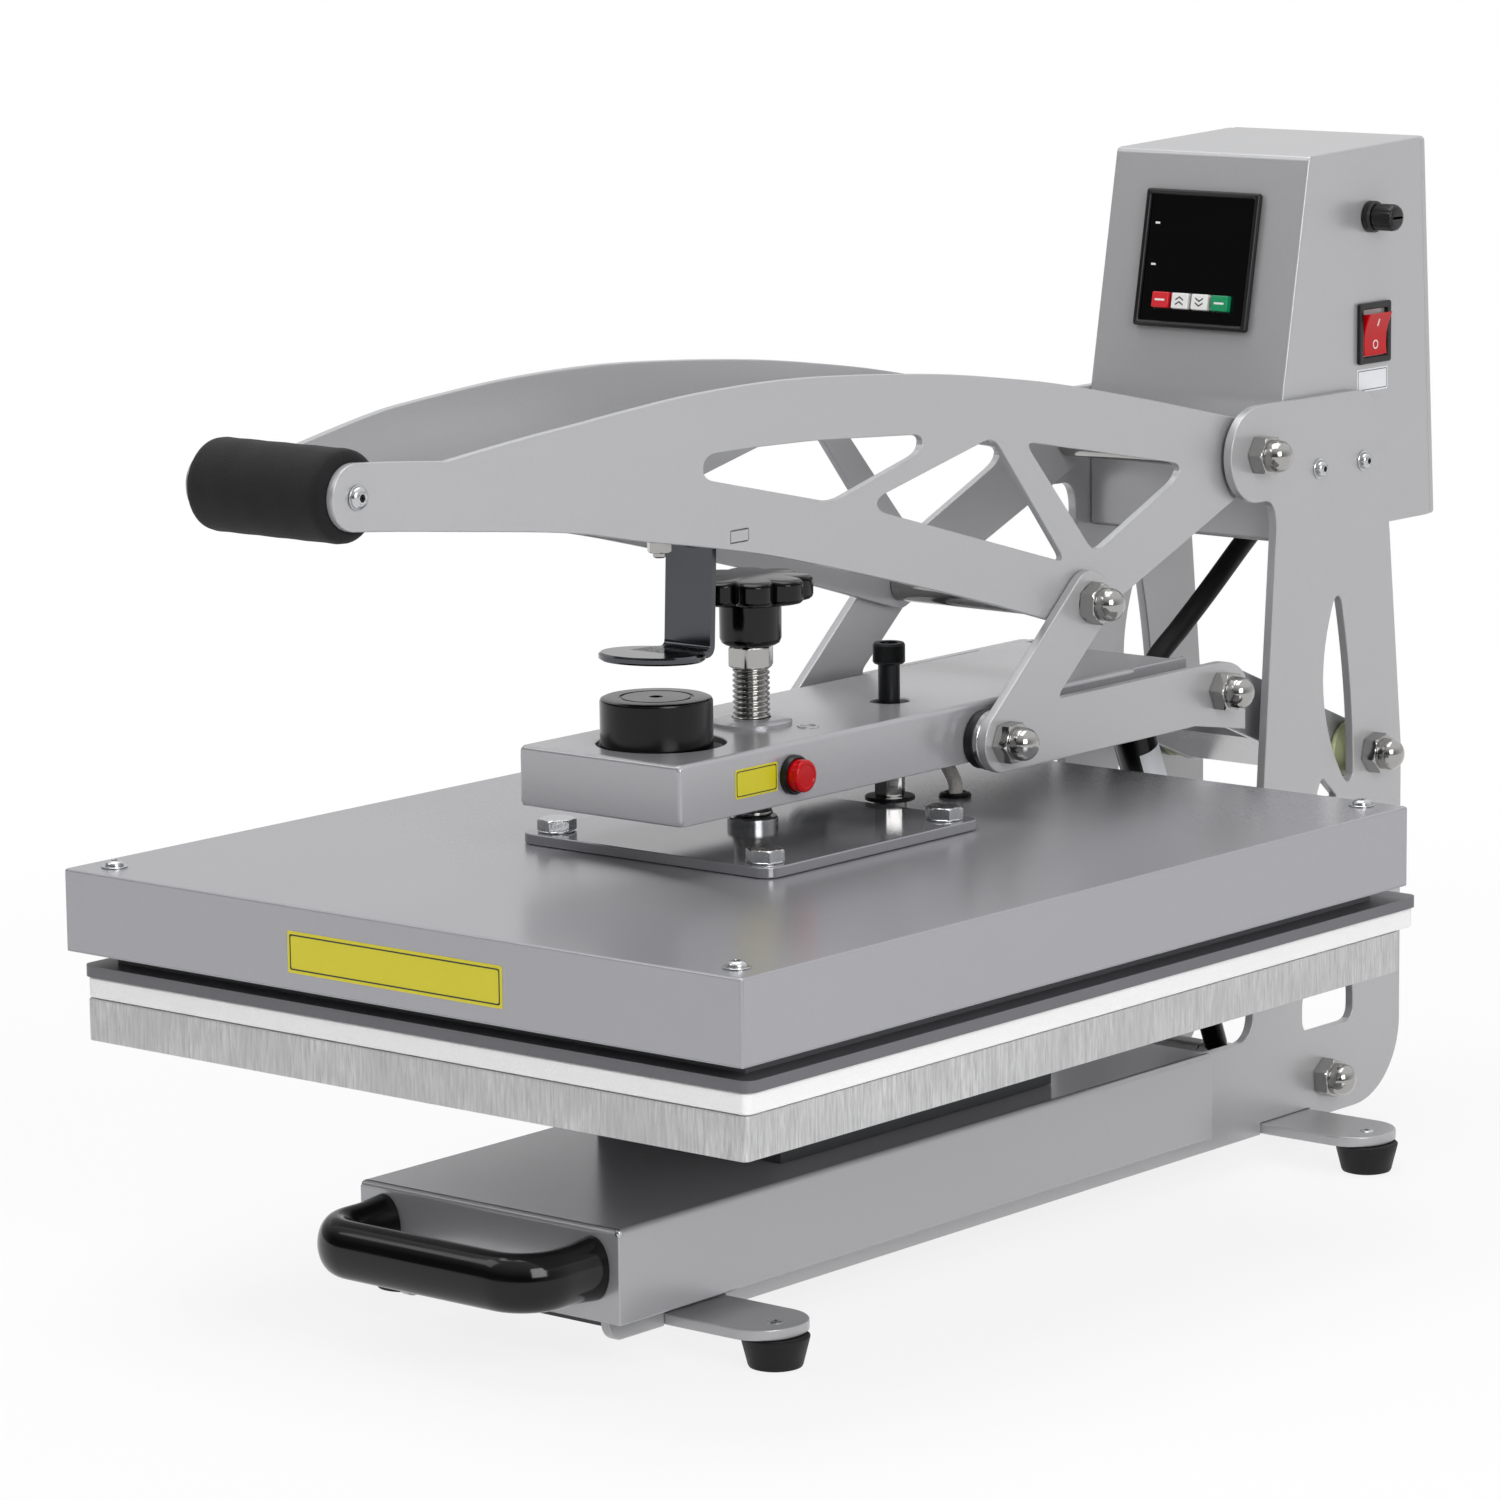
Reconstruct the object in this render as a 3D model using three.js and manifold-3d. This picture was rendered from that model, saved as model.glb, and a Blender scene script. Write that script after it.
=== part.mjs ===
import * as THREE from 'three';
import { mergeVertices } from 'three/addons/utils/BufferGeometryUtils.js';
import Module from 'manifold-3d';

const wasm = await Module();
wasm.setup();

// Auto-open heat press with a slide-out lower platen, in millimetres.
// X is the width, Y runs from the grip to the back, Z is up and the feet stand on Z = 0.
// Side-view places are written as [y, z]; Y = 0 is the middle of the heating plate.

// Gaps
const seatGap = 0.3;
const runGap = 0.8;
const overrun = 6;

// Pins of the linkage in side view
const armPinY = 308;
const armPinZ = 360.2;
const linkPinY = 171.6;
const linkPinZ = 302.7;
const beamPinY = 103.6;
const beamPinZ = 244.6;
const springPinY = 278.5;
const springPinZ = 245.7;
const hingePinY = 407.6;
const hingePinZ = 197;
const anchorPinY = 366;
const anchorPinZ = 34.6;
const pinRadius = 6;
const linkPinPlay = 2.8;
const collarRadius = 9;
const nutFlats = 18;
const nutHeight = 8;
const nutDomeRadius = 8;
const nutDomeHeight = 10;

// Base
const frameHalfWidth = 65;
const sidePlateThickness = 5;
const baseBottomZ = 14.5;
const baseHeight = 50;
const baseFrontY = -188;
const baseRearY = 434.5;
const baseCornerRadius = 40;
const baseFrontRadius = 8;
const baseLipRadius = 9;
const throatRadius = 14;
const throatY = 303.7;
const uprightFrontTopY = 323;
const uprightRearTopY = 423;
const uprightRearTopZ = 310;
const lugRadius = 24;
const lugFilletLength = 15;
const plateTopSetback = 16;
const slotHeight = 100;
const slotBulge = 30;
const slotSetback = 20;
const slotLean = 11;
const slotTip = 7;
const windowWidth = 45;
const windowHeight = 22;
const windowZ = 60;
const windowSetback = 19;
const windowRadius = 8;
const triangleSide = 19;
const triangleSetback = 30;
const floorPlateThickness = 3;
const floorPlateRearMargin = 10;
const frontTieHeight = 38;
const frontTieSetback = 4;

// Feet
const footHeight = 14.7;
const footTopRadius = 16;
const footBottomRadius = 11.4;
const frontFootX = 113.5;
const rearFootX = 116;
const footSetback = 2;
const footBarEndMargin = 11.5;
const footBarWidth = 42;
const footBarThickness = 5.2;
const footBarRadius = 20;
const frontBarY = -129;
const rearBarY = 332;

// Drawer
const drawerWidth = 156.6;
const drawerFrontY = -195.6;
const drawerRearY = 251;
const drawerBottomZ = 26.2;
const drawerHeight = 43.3;
const drawerWall = 2.5;
const railHeight = 34;
const railWall = 1.6;
const railDepth = 7;
const railFrontMargin = 8;
const railRearMargin = 8;
const handleWidth = 144;
const handleReach = 52;
const handleThickness = 18;
const handleHeight = 27;
const handleEdgeRadius = 6;
const handleRise = 2.6;
const riserHalfWidth = 56;
const riserWall = 4;
const riserFrontY = -57;
const riserRearY = 148;
const riserLipWidth = 16;

// Platens
const lowerPlatenSideSetback = 2.5;
const lowerPlatenFrontSetback = 0.6;
const lowerPlatenRearSetback = 12.4;
const lowerPlatenThickness = 19.8;
const lowerPlatenZ = 128.2;
const lowerPlatenRadius = 5;
const padSideSetback = 2;
const padEndSetback = 1;
const padThickness = 9.6;
const padRadius = 4;
const heatPlateWidth = 400;
const heatPlateDepth = 500;
const heatPlateEdge = 5.3;
const heatPlateRadius = 6;
const heatBlockHeight = 12.5;
const heatBlockInset = 12;
const heatBlockRearInset = 24;
const coverSideOverhang = 2.4;
const coverFrontOverhang = 6.65;
const coverRearSetback = 13.45;
const coverHeight = 38.6;
const coverWall = 2;
const coverLift = 7;
const coverRadius = 4;
const studRadius = 4;
const studInset = 16;
const pressurePlateWidth = 152;
const pressurePlateFrontY = -87;
const pressurePlateRearY = 70;
const pressurePlateThickness = 5;
const pressurePlateRadius = 8;
const plateBoltInset = 13;
const plateBoltFlats = 16;
const plateBoltHeight = 6.4;
const cableRadius = 3.4;

// Beam
const beamHalfWidth = 48.5;
const beamFrontY = -115.5;
const beamTopZ = 262.5;
const beamHeight = 28.3;
const beamWall = 4;
const beamTailRadius = 15;
const beamKinkY = 285;
const beamWebSetback = 17.5;
const tailWebY = 328;
const notchMargin = 2.6;
const magnetY = -75;
const magnetRadius = 26;
const magnetTopZ = 284.1;
const magnetBottomZ = 240;
const magnetHoleRadius = 30;
const magnetHoleOffset = 3;
const magnetStrapWidth = 30;
const magnetStrapThickness = 4;
const stopButtonY = -36.8;
const stopButtonRise = 13.4;
const stopButtonRadius = 7.6;
const stopButtonLength = 5.4;
const stopButtonTravel = 3;
const stopStemRadius = 5;
const stopStemLength = 14;
const stopRingRadius = 9.2;
const stopRingLength = 3.4;

// Pressure screw
const spindleY = -7.5;
const spindleRadius = 8.3;
const spindleEndRadius = 7;
const spindleCollarRadius = 9.5;
const spindleCollarHeight = 3;
const spindleSeatHeight = 4.6;
const spindleSeatRadius = 12;
const bossRadius = 19;
const bossHeight = 3;
const jamNutFlats = 19;
const jamNutHeight = 10.5;
const jamNutRise = 23.5;
const knobHubRadius = 14.6;
const knobHubHeight = 18.5;
const knobRadius = 29.5;
const knobHeight = 14.5;
const knobLobes = 8;
const knobLobeRadius = 9;
const guideScrewX = 12;
const guideScrewY = 80;
const guideNutFlats = 17;
const guideNutHeight = 8;
const guideShankRadius = 5.2;
const guideHeadRadius = 7.8;
const guideHeadHeight = 10;
const guideHeadRise = 18;
const guideHoleRadius = 9.4;

// Toggle plates
const togglePlateInnerX = 58;
const togglePlateThickness = 5;
const toggleLinkRadius = 15.5;
const toggleBeamRadius = 15;
const toggleTailLength = 21;
const toggleTailDrop = 22;
const spacerRadius = 14.5;
const springEyeHalfWidth = 9;

// Arms and grip
const armOuterX = 57.5;
const armTipOuterX = 43.5;
const armBendFrontY = -285;
const armBendRearY = -190;
const armThickness = 4;
const gripY = -315;
const gripZ = 405;
const armTipRadius = 15;
const armPinEndRadius = 16.5;
const armLinkEndRadius = 13;
const armDepth = 100;
const armWindowRadius = 8;
const cornerCutShare = 0.45;
const gripRadius = 20.5;
const gripEndRounding = 6;
const gripBarRadius = 10;
const gripScrewRadius = 3;
const gripScrewHeadRadius = 5.4;
const gripScrewHeadHeight = 3.2;
const catchDiscRadius = 24.5;
const catchDiscThickness = 3.6;
const catchDiscLift = 16;
const catchTilt = 2.4;
const catchBendRadius = 6;
const catchStrapWidth = 26;
const catchFlangeLength = 40;
const crossPlateFrontY = -107;
const crossPlateDepth = 50;
const crossPlateThickness = 5;
const crossPlateZ = 361;

// Gas spring
const springTubeRadius = 11;
const springTubeLength = 150;
const springRodRadius = 4.5;
const springRodBuried = 130;
const springTopEyeRadius = 11.2;
const springTopEyePlay = 2.8;
const springEyeRadius = 9.5;

// Control box
const boxHalfWidth = 59.7;
const boxBottomZ = 312.5;
const boxTopZ = 504;
const boxFrontY = 335;
const boxKinkZ = 384;
const boxFrontTopY = 357.9;
const boxRearTopY = 460;
const boxRearTopZ = 508;
const boxRearBottomY = 471;
const boxWall = 2;
const boxCornerRadius = 3;
const rearCoverInset = 2.2;
const rearCoverThickness = 1.6;
const bezelSize = 69.8;
const bezelThickness = 4;
const bezelRise = 66;
const bezelRadius = 3;
const controllerBodySize = 64;
const controllerBodyDepth = 58;
const keyWidth = 10;
const keyHeight = 8;
const keyDepth = 3;
const keyPlay = 0.5;
const keyPocketDepth = 2.6;
const keyProud = 1.2;
const keyRowRise = 13.5;
const keyPitch = 12.2;
const inletWidth = 30;
const inletHeight = 24;
const inletFlange = 1.8;
const inletDepth = 20;
const inletBodyMargin = 3;
const inletRise = 36;
const inletSocketDepth = 14;
const inletSocketMargin = 3;
const switchY = 413.7;
const switchZ = 411.3;
const switchWidth = 28;
const switchHeight = 31;
const switchFlange = 2;
const switchBorder = 3.4;
const switchBodyDepth = 14;
const rockerPlay = 0.6;
const rockerTilt = THREE.MathUtils.degToRad(9);
const rockerDepth = 9;
const fuseY = 410.7;
const fuseZ = 470.2;
const fuseCollarRadius = 8;
const fuseCollarLength = 4.5;
const fuseBodyRadius = 6;
const fuseBodyLength = 18;
const fuseCapRadius = 6.8;
const fuseCapLength = 12;
const fuseSlotWidth = 1.6;
const fuseSlotDepth = 1.4;

// Hose from the control box to the beam
const hoseRadius = 5;
const glandRadius = 8;
const glandHeight = 11;
const glandX = -22;
const glandY = 338;
const hosePoints = [
  [-21.6, 345, 238],
  [-20, 353, 254],
  [-16, 375, 276],
  [-12, 399, 293],
  [-10, 408.5, 303],
];
const hoseTopX = -10;
const hoseTopY = 410.5;
const hoseSteps = 16;
const hoseSides = 10;

// Derived places
const lowerPlatenWidth = heatPlateWidth - lowerPlatenSideSetback * 2;
const lowerPlatenDepth = heatPlateDepth - lowerPlatenFrontSetback - lowerPlatenRearSetback;
const lowerPlatenY = (lowerPlatenFrontSetback - lowerPlatenRearSetback) / 2;
const padWidth = heatPlateWidth - padSideSetback * 2;
const padDepth = heatPlateDepth - padEndSetback * 2;
const coverWidth = heatPlateWidth + coverSideOverhang * 2;
const coverDepth = heatPlateDepth + coverFrontOverhang - coverRearSetback;
const coverY = -(coverFrontOverhang + coverRearSetback) / 2;
const padBottomZ = lowerPlatenZ + lowerPlatenThickness + seatGap;
const heatPlateZ = padBottomZ + padThickness + seatGap;
const coverBottomZ = heatPlateZ + heatPlateEdge + coverLift;
const coverTopZ = coverBottomZ + coverHeight;
const pressurePlateZ = coverTopZ + seatGap;
const pressurePlateTopZ = pressurePlateZ + pressurePlateThickness;
const beamBottomZ = beamTopZ - beamHeight;
const baseTopZ = baseBottomZ + baseHeight;
const drawerTopZ = drawerBottomZ + drawerHeight;
const footBarZ = footHeight + seatGap;
const floorPlateZ = footBarZ + footBarThickness + seatGap;
const frameInnerX = frameHalfWidth - sidePlateThickness;
const armInnerX = armOuterX - armThickness;
const armTipInnerX = armTipOuterX - armThickness;
const togglePlateOuterX = togglePlateInnerX + togglePlateThickness;
const faceTilt = Math.atan2(boxFrontTopY - boxFrontY, boxTopZ - boxKinkZ);
const rearTilt = Math.atan2(boxRearBottomY - boxRearTopY, boxRearTopZ - boxBottomZ);
const pinHoleRadius = pinRadius + seatGap;
const tailAngle = Math.atan2(hingePinZ - beamTopZ, hingePinY - beamKinkY)
  + Math.asin(beamTailRadius / Math.hypot(hingePinZ - beamTopZ, hingePinY - beamKinkY));

// Materials
function finish(color, roughness, metalness) {
  return new THREE.MeshStandardMaterial({ color, roughness, metalness });
}
const paint = finish('#b3b4b6', 0.55, 0.1);
const darkPaint = finish('#6d6e71', 0.6, 0.1);
const platedSteel = finish('#c2c1bd', 0.28, 1);
const machinedSteel = finish('#9b9c9e', 0.35, 1);
const brushedAluminium = finish('#cfd0d2', 0.4, 1);
const coatedAluminium = finish('#77787a', 0.5, 0.6);
const whiteSilicone = finish('#f1f0ec', 0.7, 0);
const blackFoam = finish('#1b1b1e', 0.85, 0);
const glossBlack = finish('#111114', 0.2, 0);
const blackPlastic = finish('#18181a', 0.45, 0);
const blackRubber = finish('#1d1d1d', 0.75, 0);
const redPlastic = finish('#c3181c', 0.35, 0);
const greenPlastic = finish('#2f9d4e', 0.4, 0);
const whitePlastic = finish('#e9e9e6', 0.4, 0);
const nylon = finish('#c9cf8a', 0.45, 0);

// Solids
function solidOf(geometry) {
  const bare = geometry.index ? geometry.toNonIndexed() : geometry.clone();
  bare.deleteAttribute('normal');
  bare.deleteAttribute('uv');
  const merged = mergeVertices(bare, 1e-4);
  return new wasm.Manifold(new wasm.Mesh({
    numProp: 3,
    vertProperties: new Float32Array(merged.attributes.position.array),
    triVerts: new Uint32Array(merged.index.array),
  }));
}

function geometryOf(solid) {
  const data = solid.getMesh();
  const geometry = new THREE.BufferGeometry();
  geometry.setAttribute('position', new THREE.BufferAttribute(data.vertProperties, 3));
  geometry.setIndex(new THREE.BufferAttribute(data.triVerts, 1));
  geometry.computeVertexNormals();
  return geometry;
}

function piece(name, solid, material) {
  const mesh = new THREE.Mesh(geometryOf(solid), material);
  mesh.name = name;
  return mesh;
}

function joined(solids) {
  return solids.reduce((whole, next) => whole.add(next));
}

function cut(body, tools) {
  return tools.reduce((rest, tool) => rest.subtract(tool), body);
}

// Box between two corners
function block(x0, x1, y0, y1, z0, z1) {
  const geometry = new THREE.BoxGeometry(x1 - x0, y1 - y0, z1 - z0);
  geometry.translate((x0 + x1) / 2, (y0 + y1) / 2, (z0 + z1) / 2);
  return solidOf(geometry);
}

// Side-view outline made into a plate between two X places
const sideToWorld = new THREE.Matrix4().makeBasis(
  new THREE.Vector3(0, 1, 0), new THREE.Vector3(0, 0, 1), new THREE.Vector3(1, 0, 0));

function sidePlate(shape, x0, x1, curveSegments = 6) {
  const geometry = new THREE.ExtrudeGeometry(shape, { depth: x1 - x0, bevelEnabled: false, curveSegments });
  geometry.applyMatrix4(sideToWorld);
  geometry.translate(x0, 0, 0);
  return solidOf(geometry);
}

// Plan outline made into a plate between two Z places
function planPlate(shape, z0, z1, curveSegments = 4) {
  const geometry = new THREE.ExtrudeGeometry(shape, { depth: z1 - z0, bevelEnabled: false, curveSegments });
  geometry.translate(0, 0, z0);
  return solidOf(geometry);
}

function rodX(radius, x0, x1, y, z, sides = 16) {
  const geometry = new THREE.CylinderGeometry(radius, radius, x1 - x0, sides);
  geometry.rotateZ(-Math.PI / 2);
  geometry.translate((x0 + x1) / 2, y, z);
  return solidOf(geometry);
}

function rodZ(radius, z0, z1, x, y, sides = 20) {
  const geometry = new THREE.CylinderGeometry(radius, radius, z1 - z0, sides);
  geometry.rotateX(Math.PI / 2);
  geometry.translate(x, y, (z0 + z1) / 2);
  return solidOf(geometry);
}

function hexRadius(flats) {
  return flats / 2 / Math.cos(Math.PI / 6);
}

function roundedRectangle(width, depth, radius, y = 0) {
  const shape = new THREE.Shape();
  const x1 = width / 2;
  const y0 = y - depth / 2;
  const y1 = y + depth / 2;
  shape.moveTo(-x1 + radius, y0);
  shape.lineTo(x1 - radius, y0);
  shape.absarc(x1 - radius, y0 + radius, radius, -Math.PI / 2, 0);
  shape.lineTo(x1, y1 - radius);
  shape.absarc(x1 - radius, y1 - radius, radius, 0, Math.PI / 2);
  shape.lineTo(-x1 + radius, y1);
  shape.absarc(-x1 + radius, y1 - radius, radius, Math.PI / 2, Math.PI);
  shape.lineTo(-x1, y0 + radius);
  shape.absarc(-x1 + radius, y0 + radius, radius, Math.PI, Math.PI * 1.5);
  return shape;
}

// Closed polygon whose corners are rounded
function roundedPolygon(points, radius, target = new THREE.Shape()) {
  const corners = points.map((place) => new THREE.Vector2(...place));
  corners.forEach((corner, index) => {
    const before = corners[(index + corners.length - 1) % corners.length];
    const after = corners[(index + 1) % corners.length];
    const cut = (other) => Math.min(radius, other.distanceTo(corner) * cornerCutShare);
    const start = corner.clone().add(before.clone().sub(corner).setLength(cut(before)));
    const end = corner.clone().add(after.clone().sub(corner).setLength(cut(after)));
    if (index === 0) target.moveTo(start.x, start.y);
    else target.lineTo(start.x, start.y);
    target.quadraticCurveTo(corner.x, corner.y, end.x, end.y);
  });
  target.closePath();
  return target;
}

// Cap nut outside a plate, with its face at x and its dome outward
function capNut(x, y, z, side) {
  const hex = rodX(hexRadius(nutFlats), 0, nutHeight, 0, 0, 6);
  const steps = [[0, 0], [nutDomeRadius, 0], [nutDomeRadius, nutDomeHeight / 3]];
  for (let step = 1; step < 3; step += 1) {
    const angle = (step / 3) * (Math.PI / 2);
    const rise = nutDomeHeight / 3 + (nutDomeHeight * 2 / 3) * Math.sin(angle);
    steps.push([nutDomeRadius * Math.cos(angle), rise]);
  }
  steps.push([0, nutDomeHeight]);
  const dome = new THREE.LatheGeometry(steps.map((place) => new THREE.Vector2(...place)), 12);
  dome.rotateZ(-Math.PI / 2);
  dome.translate(nutHeight - seatGap, 0, 0);
  const nut = hex.add(solidOf(dome));
  const turned = side > 0 ? nut : nut.rotate([0, 0, 180]);
  return turned.translate([side * x, y, z]);
}

// Shaft across the press with a cap nut at each end and collars given as [radius, x0, x1]
function shaft(y, z, plateX, collars) {
  const face = plateX + seatGap;
  const parts = [
    rodX(pinRadius, -face - seatGap, face + seatGap, y, z),
    capNut(face, y, z, 1),
    capNut(face, y, z, -1),
  ];
  collars.forEach(([radius, x0, x1]) => parts.push(rodX(radius, x0, x1, y, z)));
  return joined(parts);
}

function bothSides(radius, x0, x1) {
  return [[radius, x0, x1], [radius, -x1, -x0]];
}

// Side plates of the base and uprights
function frameOutline() {
  const shape = new THREE.Shape();
  const half = Math.PI / 2;
  const barReach = footBarWidth / 2 + seatGap;
  shape.moveTo(baseFrontY, baseBottomZ + baseLipRadius);
  shape.absarc(baseFrontY + baseLipRadius, baseBottomZ + baseLipRadius, baseLipRadius, half * 2, half * 3);
  shape.lineTo(frontBarY - barReach, baseBottomZ);
  shape.lineTo(frontBarY - barReach, floorPlateZ);
  shape.lineTo(frontBarY + barReach, floorPlateZ);
  shape.lineTo(frontBarY + barReach, baseBottomZ);
  shape.lineTo(rearBarY - barReach, baseBottomZ);
  shape.lineTo(rearBarY - barReach, floorPlateZ);
  shape.lineTo(rearBarY + barReach, floorPlateZ);
  shape.lineTo(rearBarY + barReach, baseBottomZ);
  shape.lineTo(baseRearY - baseCornerRadius, baseBottomZ);
  shape.absarc(baseRearY - baseCornerRadius, baseBottomZ + baseCornerRadius, baseCornerRadius, -half, 0);
  shape.lineTo(baseRearY, hingePinZ);
  shape.lineTo(uprightRearTopY, uprightRearTopZ);
  shape.lineTo(uprightRearTopY - plateTopSetback / 2, armPinZ);
  shape.quadraticCurveTo(uprightRearTopY - plateTopSetback / 2, armPinZ + lugRadius,
    uprightRearTopY - plateTopSetback * 2, armPinZ + lugRadius);
  shape.lineTo(armPinY, armPinZ + lugRadius);
  shape.absarc(armPinY, armPinZ, lugRadius, half, half * 3);
  shape.lineTo(armPinY + lugFilletLength / 3, armPinZ - lugRadius);
  shape.quadraticCurveTo(uprightFrontTopY, armPinZ - lugRadius,
    uprightFrontTopY, armPinZ - lugRadius - lugFilletLength);
  shape.lineTo(throatY, baseTopZ + throatRadius);
  shape.quadraticCurveTo(throatY, baseTopZ, throatY - throatRadius, baseTopZ);
  shape.lineTo(baseFrontY + baseFrontRadius, baseTopZ);
  shape.absarc(baseFrontY + baseFrontRadius, baseTopZ - baseFrontRadius, baseFrontRadius, half, half * 2);
  shape.closePath();
  return shape;
}

function frameWindows() {
  const slotTop = [hingePinY - slotSetback - slotLean, hingePinZ - slotHeight * 0.15 + slotHeight];
  const slotBottom = [hingePinY - slotSetback, hingePinZ - slotHeight * 0.15];
  const slot = new THREE.Shape();
  const middleY = (slotTop[0] + slotBottom[0]) / 2;
  const middleZ = (slotTop[1] + slotBottom[1]) / 2;
  const [topY, topZ] = slotTop;
  const [bottomY, bottomZ] = slotBottom;
  const tip = slotTip / 2;
  slot.moveTo(topY - tip, topZ - tip);
  slot.quadraticCurveTo(middleY - slotBulge, middleZ, bottomY - tip * 1.8, bottomZ + slotTip);
  slot.quadraticCurveTo(bottomY, bottomZ - tip * 0.4, bottomY + tip, bottomZ + slotTip);
  slot.quadraticCurveTo(middleY + slotBulge * 0.3, middleZ, topY + tip, topZ - tip);
  slot.quadraticCurveTo(topY, topZ + tip * 0.6, topY - tip, topZ - tip);
  const windowY = anchorPinY - windowSetback;
  const windowShape = roundedPolygon([
    [windowY, windowZ], [windowY + windowWidth, windowZ],
    [windowY + windowWidth, windowZ + windowHeight], [windowY, windowZ + windowHeight],
  ], windowRadius);
  const triangle = roundedPolygon([
    [hingePinY - triangleSetback, hingePinZ - triangleSide],
    [hingePinY - triangleSetback - triangleSide * 0.75, hingePinZ - triangleSide * 0.35],
    [hingePinY - triangleSetback - triangleSide, hingePinZ - triangleSide * 0.85],
  ], triangleSide / 6);
  return [slot, windowShape, triangle];
}

function framePlate(name, side) {
  const x0 = side > 0 ? frameInnerX : -frameHalfWidth;
  const x1 = x0 + sidePlateThickness;
  const holes = [[armPinY, armPinZ], [hingePinY, hingePinZ], [anchorPinY, anchorPinZ]]
    .map((place) => rodX(pinHoleRadius, x0 - overrun, x1 + overrun, ...place));
  const windows = frameWindows().map((shape) => sidePlate(shape, x0 - overrun, x1 + overrun));
  return piece(name, cut(sidePlate(frameOutline(), x0, x1), [...holes, ...windows]), paint);
}

// Floor plate with its front edge turned up
function floorPlate() {
  const reach = frameInnerX - seatGap;
  const front = baseFrontY + frontTieSetback;
  const floor = block(-reach, reach, front, baseRearY - floorPlateRearMargin,
    floorPlateZ, floorPlateZ + floorPlateThickness);
  const tie = block(-reach + seatGap, reach - seatGap, front, front + floorPlateThickness,
    floorPlateZ + seatGap, floorPlateZ + frontTieHeight);
  const rearTrim = block(-reach, reach, baseRearY - baseCornerRadius + floorPlateRearMargin,
    baseRearY, floorPlateZ - overrun, floorPlateZ + floorPlateThickness + overrun);
  return piece('base_floor_plate', cut(joined([floor, tie]), [rearTrim]), darkPaint);
}

function footBar(name, footX, y) {
  const length = (footX + footBarEndMargin) * 2;
  const outline = roundedRectangle(length, footBarWidth, footBarRadius, y);
  return piece(name, planPlate(outline, footBarZ, footBarZ + footBarThickness), paint);
}

function foot(name, x, y) {
  const profile = [[0, 0], [footBottomRadius, 0], [footTopRadius, footHeight], [0, footHeight]];
  const geometry = new THREE.LatheGeometry(profile.map((place) => new THREE.Vector2(...place)), 24);
  geometry.rotateX(Math.PI / 2);
  const mesh = piece(name, solidOf(geometry), blackRubber);
  mesh.position.set(x, y, 0);
  return mesh;
}

// Telescopic runner: a channel on the side plate and one nested in it on the drawer
function railPair(side) {
  const middleZ = (drawerBottomZ + drawerTopZ - drawerWall) / 2;
  const y0 = baseFrontY + railFrontMargin;
  const y1 = drawerRearY - railRearMargin;
  const outerX = drawerWidth / 2 - drawerWall - seatGap;
  const innerX = frameHalfWidth + seatGap;
  const half = railHeight / 2;
  const nested = half - railWall - runGap;
  const channel = (xBack, xEdge, reach) => {
    const back = Math.min(xBack, xBack + Math.sign(xEdge - xBack) * railWall);
    const web = block(back, back + railWall, y0, y1, middleZ - reach, middleZ + reach);
    const low = Math.min(xBack, xEdge);
    const high = Math.max(xBack, xEdge);
    const lips = [-1, 1].map((end) => {
      const z = middleZ + end * (reach - railWall / 2);
      return block(low, high, y0, y1, z - railWall / 2, z + railWall / 2);
    });
    return joined([web, ...lips]);
  };
  const fixed = channel(side * innerX, side * (innerX + railDepth), half);
  const moving = channel(side * outerX, side * (outerX - railDepth), nested);
  const word = side > 0 ? 'right' : 'left';
  return [
    piece(`fixed_rail_${word}`, fixed, platedSteel),
    piece(`sliding_rail_${word}`, moving, platedSteel),
  ];
}

// Drawer cover, open below and behind
function drawerCover() {
  const half = drawerWidth / 2;
  const outer = block(-half, half, drawerFrontY, drawerRearY, drawerBottomZ, drawerTopZ);
  const inner = block(-half + drawerWall, half - drawerWall, drawerFrontY + drawerWall,
    drawerRearY + overrun, drawerBottomZ - overrun, drawerTopZ - drawerWall);
  return piece('drawer_cover', cut(outer, [inner]), paint);
}

function pullHandle() {
  const postX = handleWidth / 2;
  const frontY = drawerFrontY - handleReach;
  const innerX = postX - handleThickness;
  const innerY = frontY + handleThickness;
  const backY = drawerFrontY + overrun;
  const outline = new THREE.Shape();
  const inset = handleEdgeRadius;
  const corner = handleThickness - inset;
  outline.moveTo(-postX + inset, backY);
  outline.lineTo(-postX + inset, frontY + inset + corner);
  outline.quadraticCurveTo(-postX + inset, frontY + inset, -postX + inset + corner, frontY + inset);
  outline.lineTo(postX - inset - corner, frontY + inset);
  outline.quadraticCurveTo(postX - inset, frontY + inset, postX - inset, frontY + inset + corner);
  outline.lineTo(postX - inset, backY);
  outline.lineTo(innerX + inset, backY);
  outline.lineTo(innerX + inset, innerY - inset);
  outline.lineTo(-innerX - inset, innerY - inset);
  outline.lineTo(-innerX - inset, backY);
  outline.closePath();
  const geometry = new THREE.ExtrudeGeometry(outline, {
    depth: handleHeight - inset * 2, bevelEnabled: true, bevelThickness: inset, bevelSize: inset,
    bevelSegments: 3, curveSegments: 6,
  });
  const middleZ = (drawerBottomZ + drawerTopZ) / 2 + handleRise;
  geometry.translate(0, 0, middleZ - handleHeight / 2 + inset);
  const behind = block(-handleWidth, handleWidth, drawerFrontY - seatGap, drawerFrontY + overrun * 4,
    drawerBottomZ - handleHeight, drawerTopZ + handleHeight);
  return piece('pull_handle', cut(solidOf(geometry), [behind]), glossBlack);
}

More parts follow.
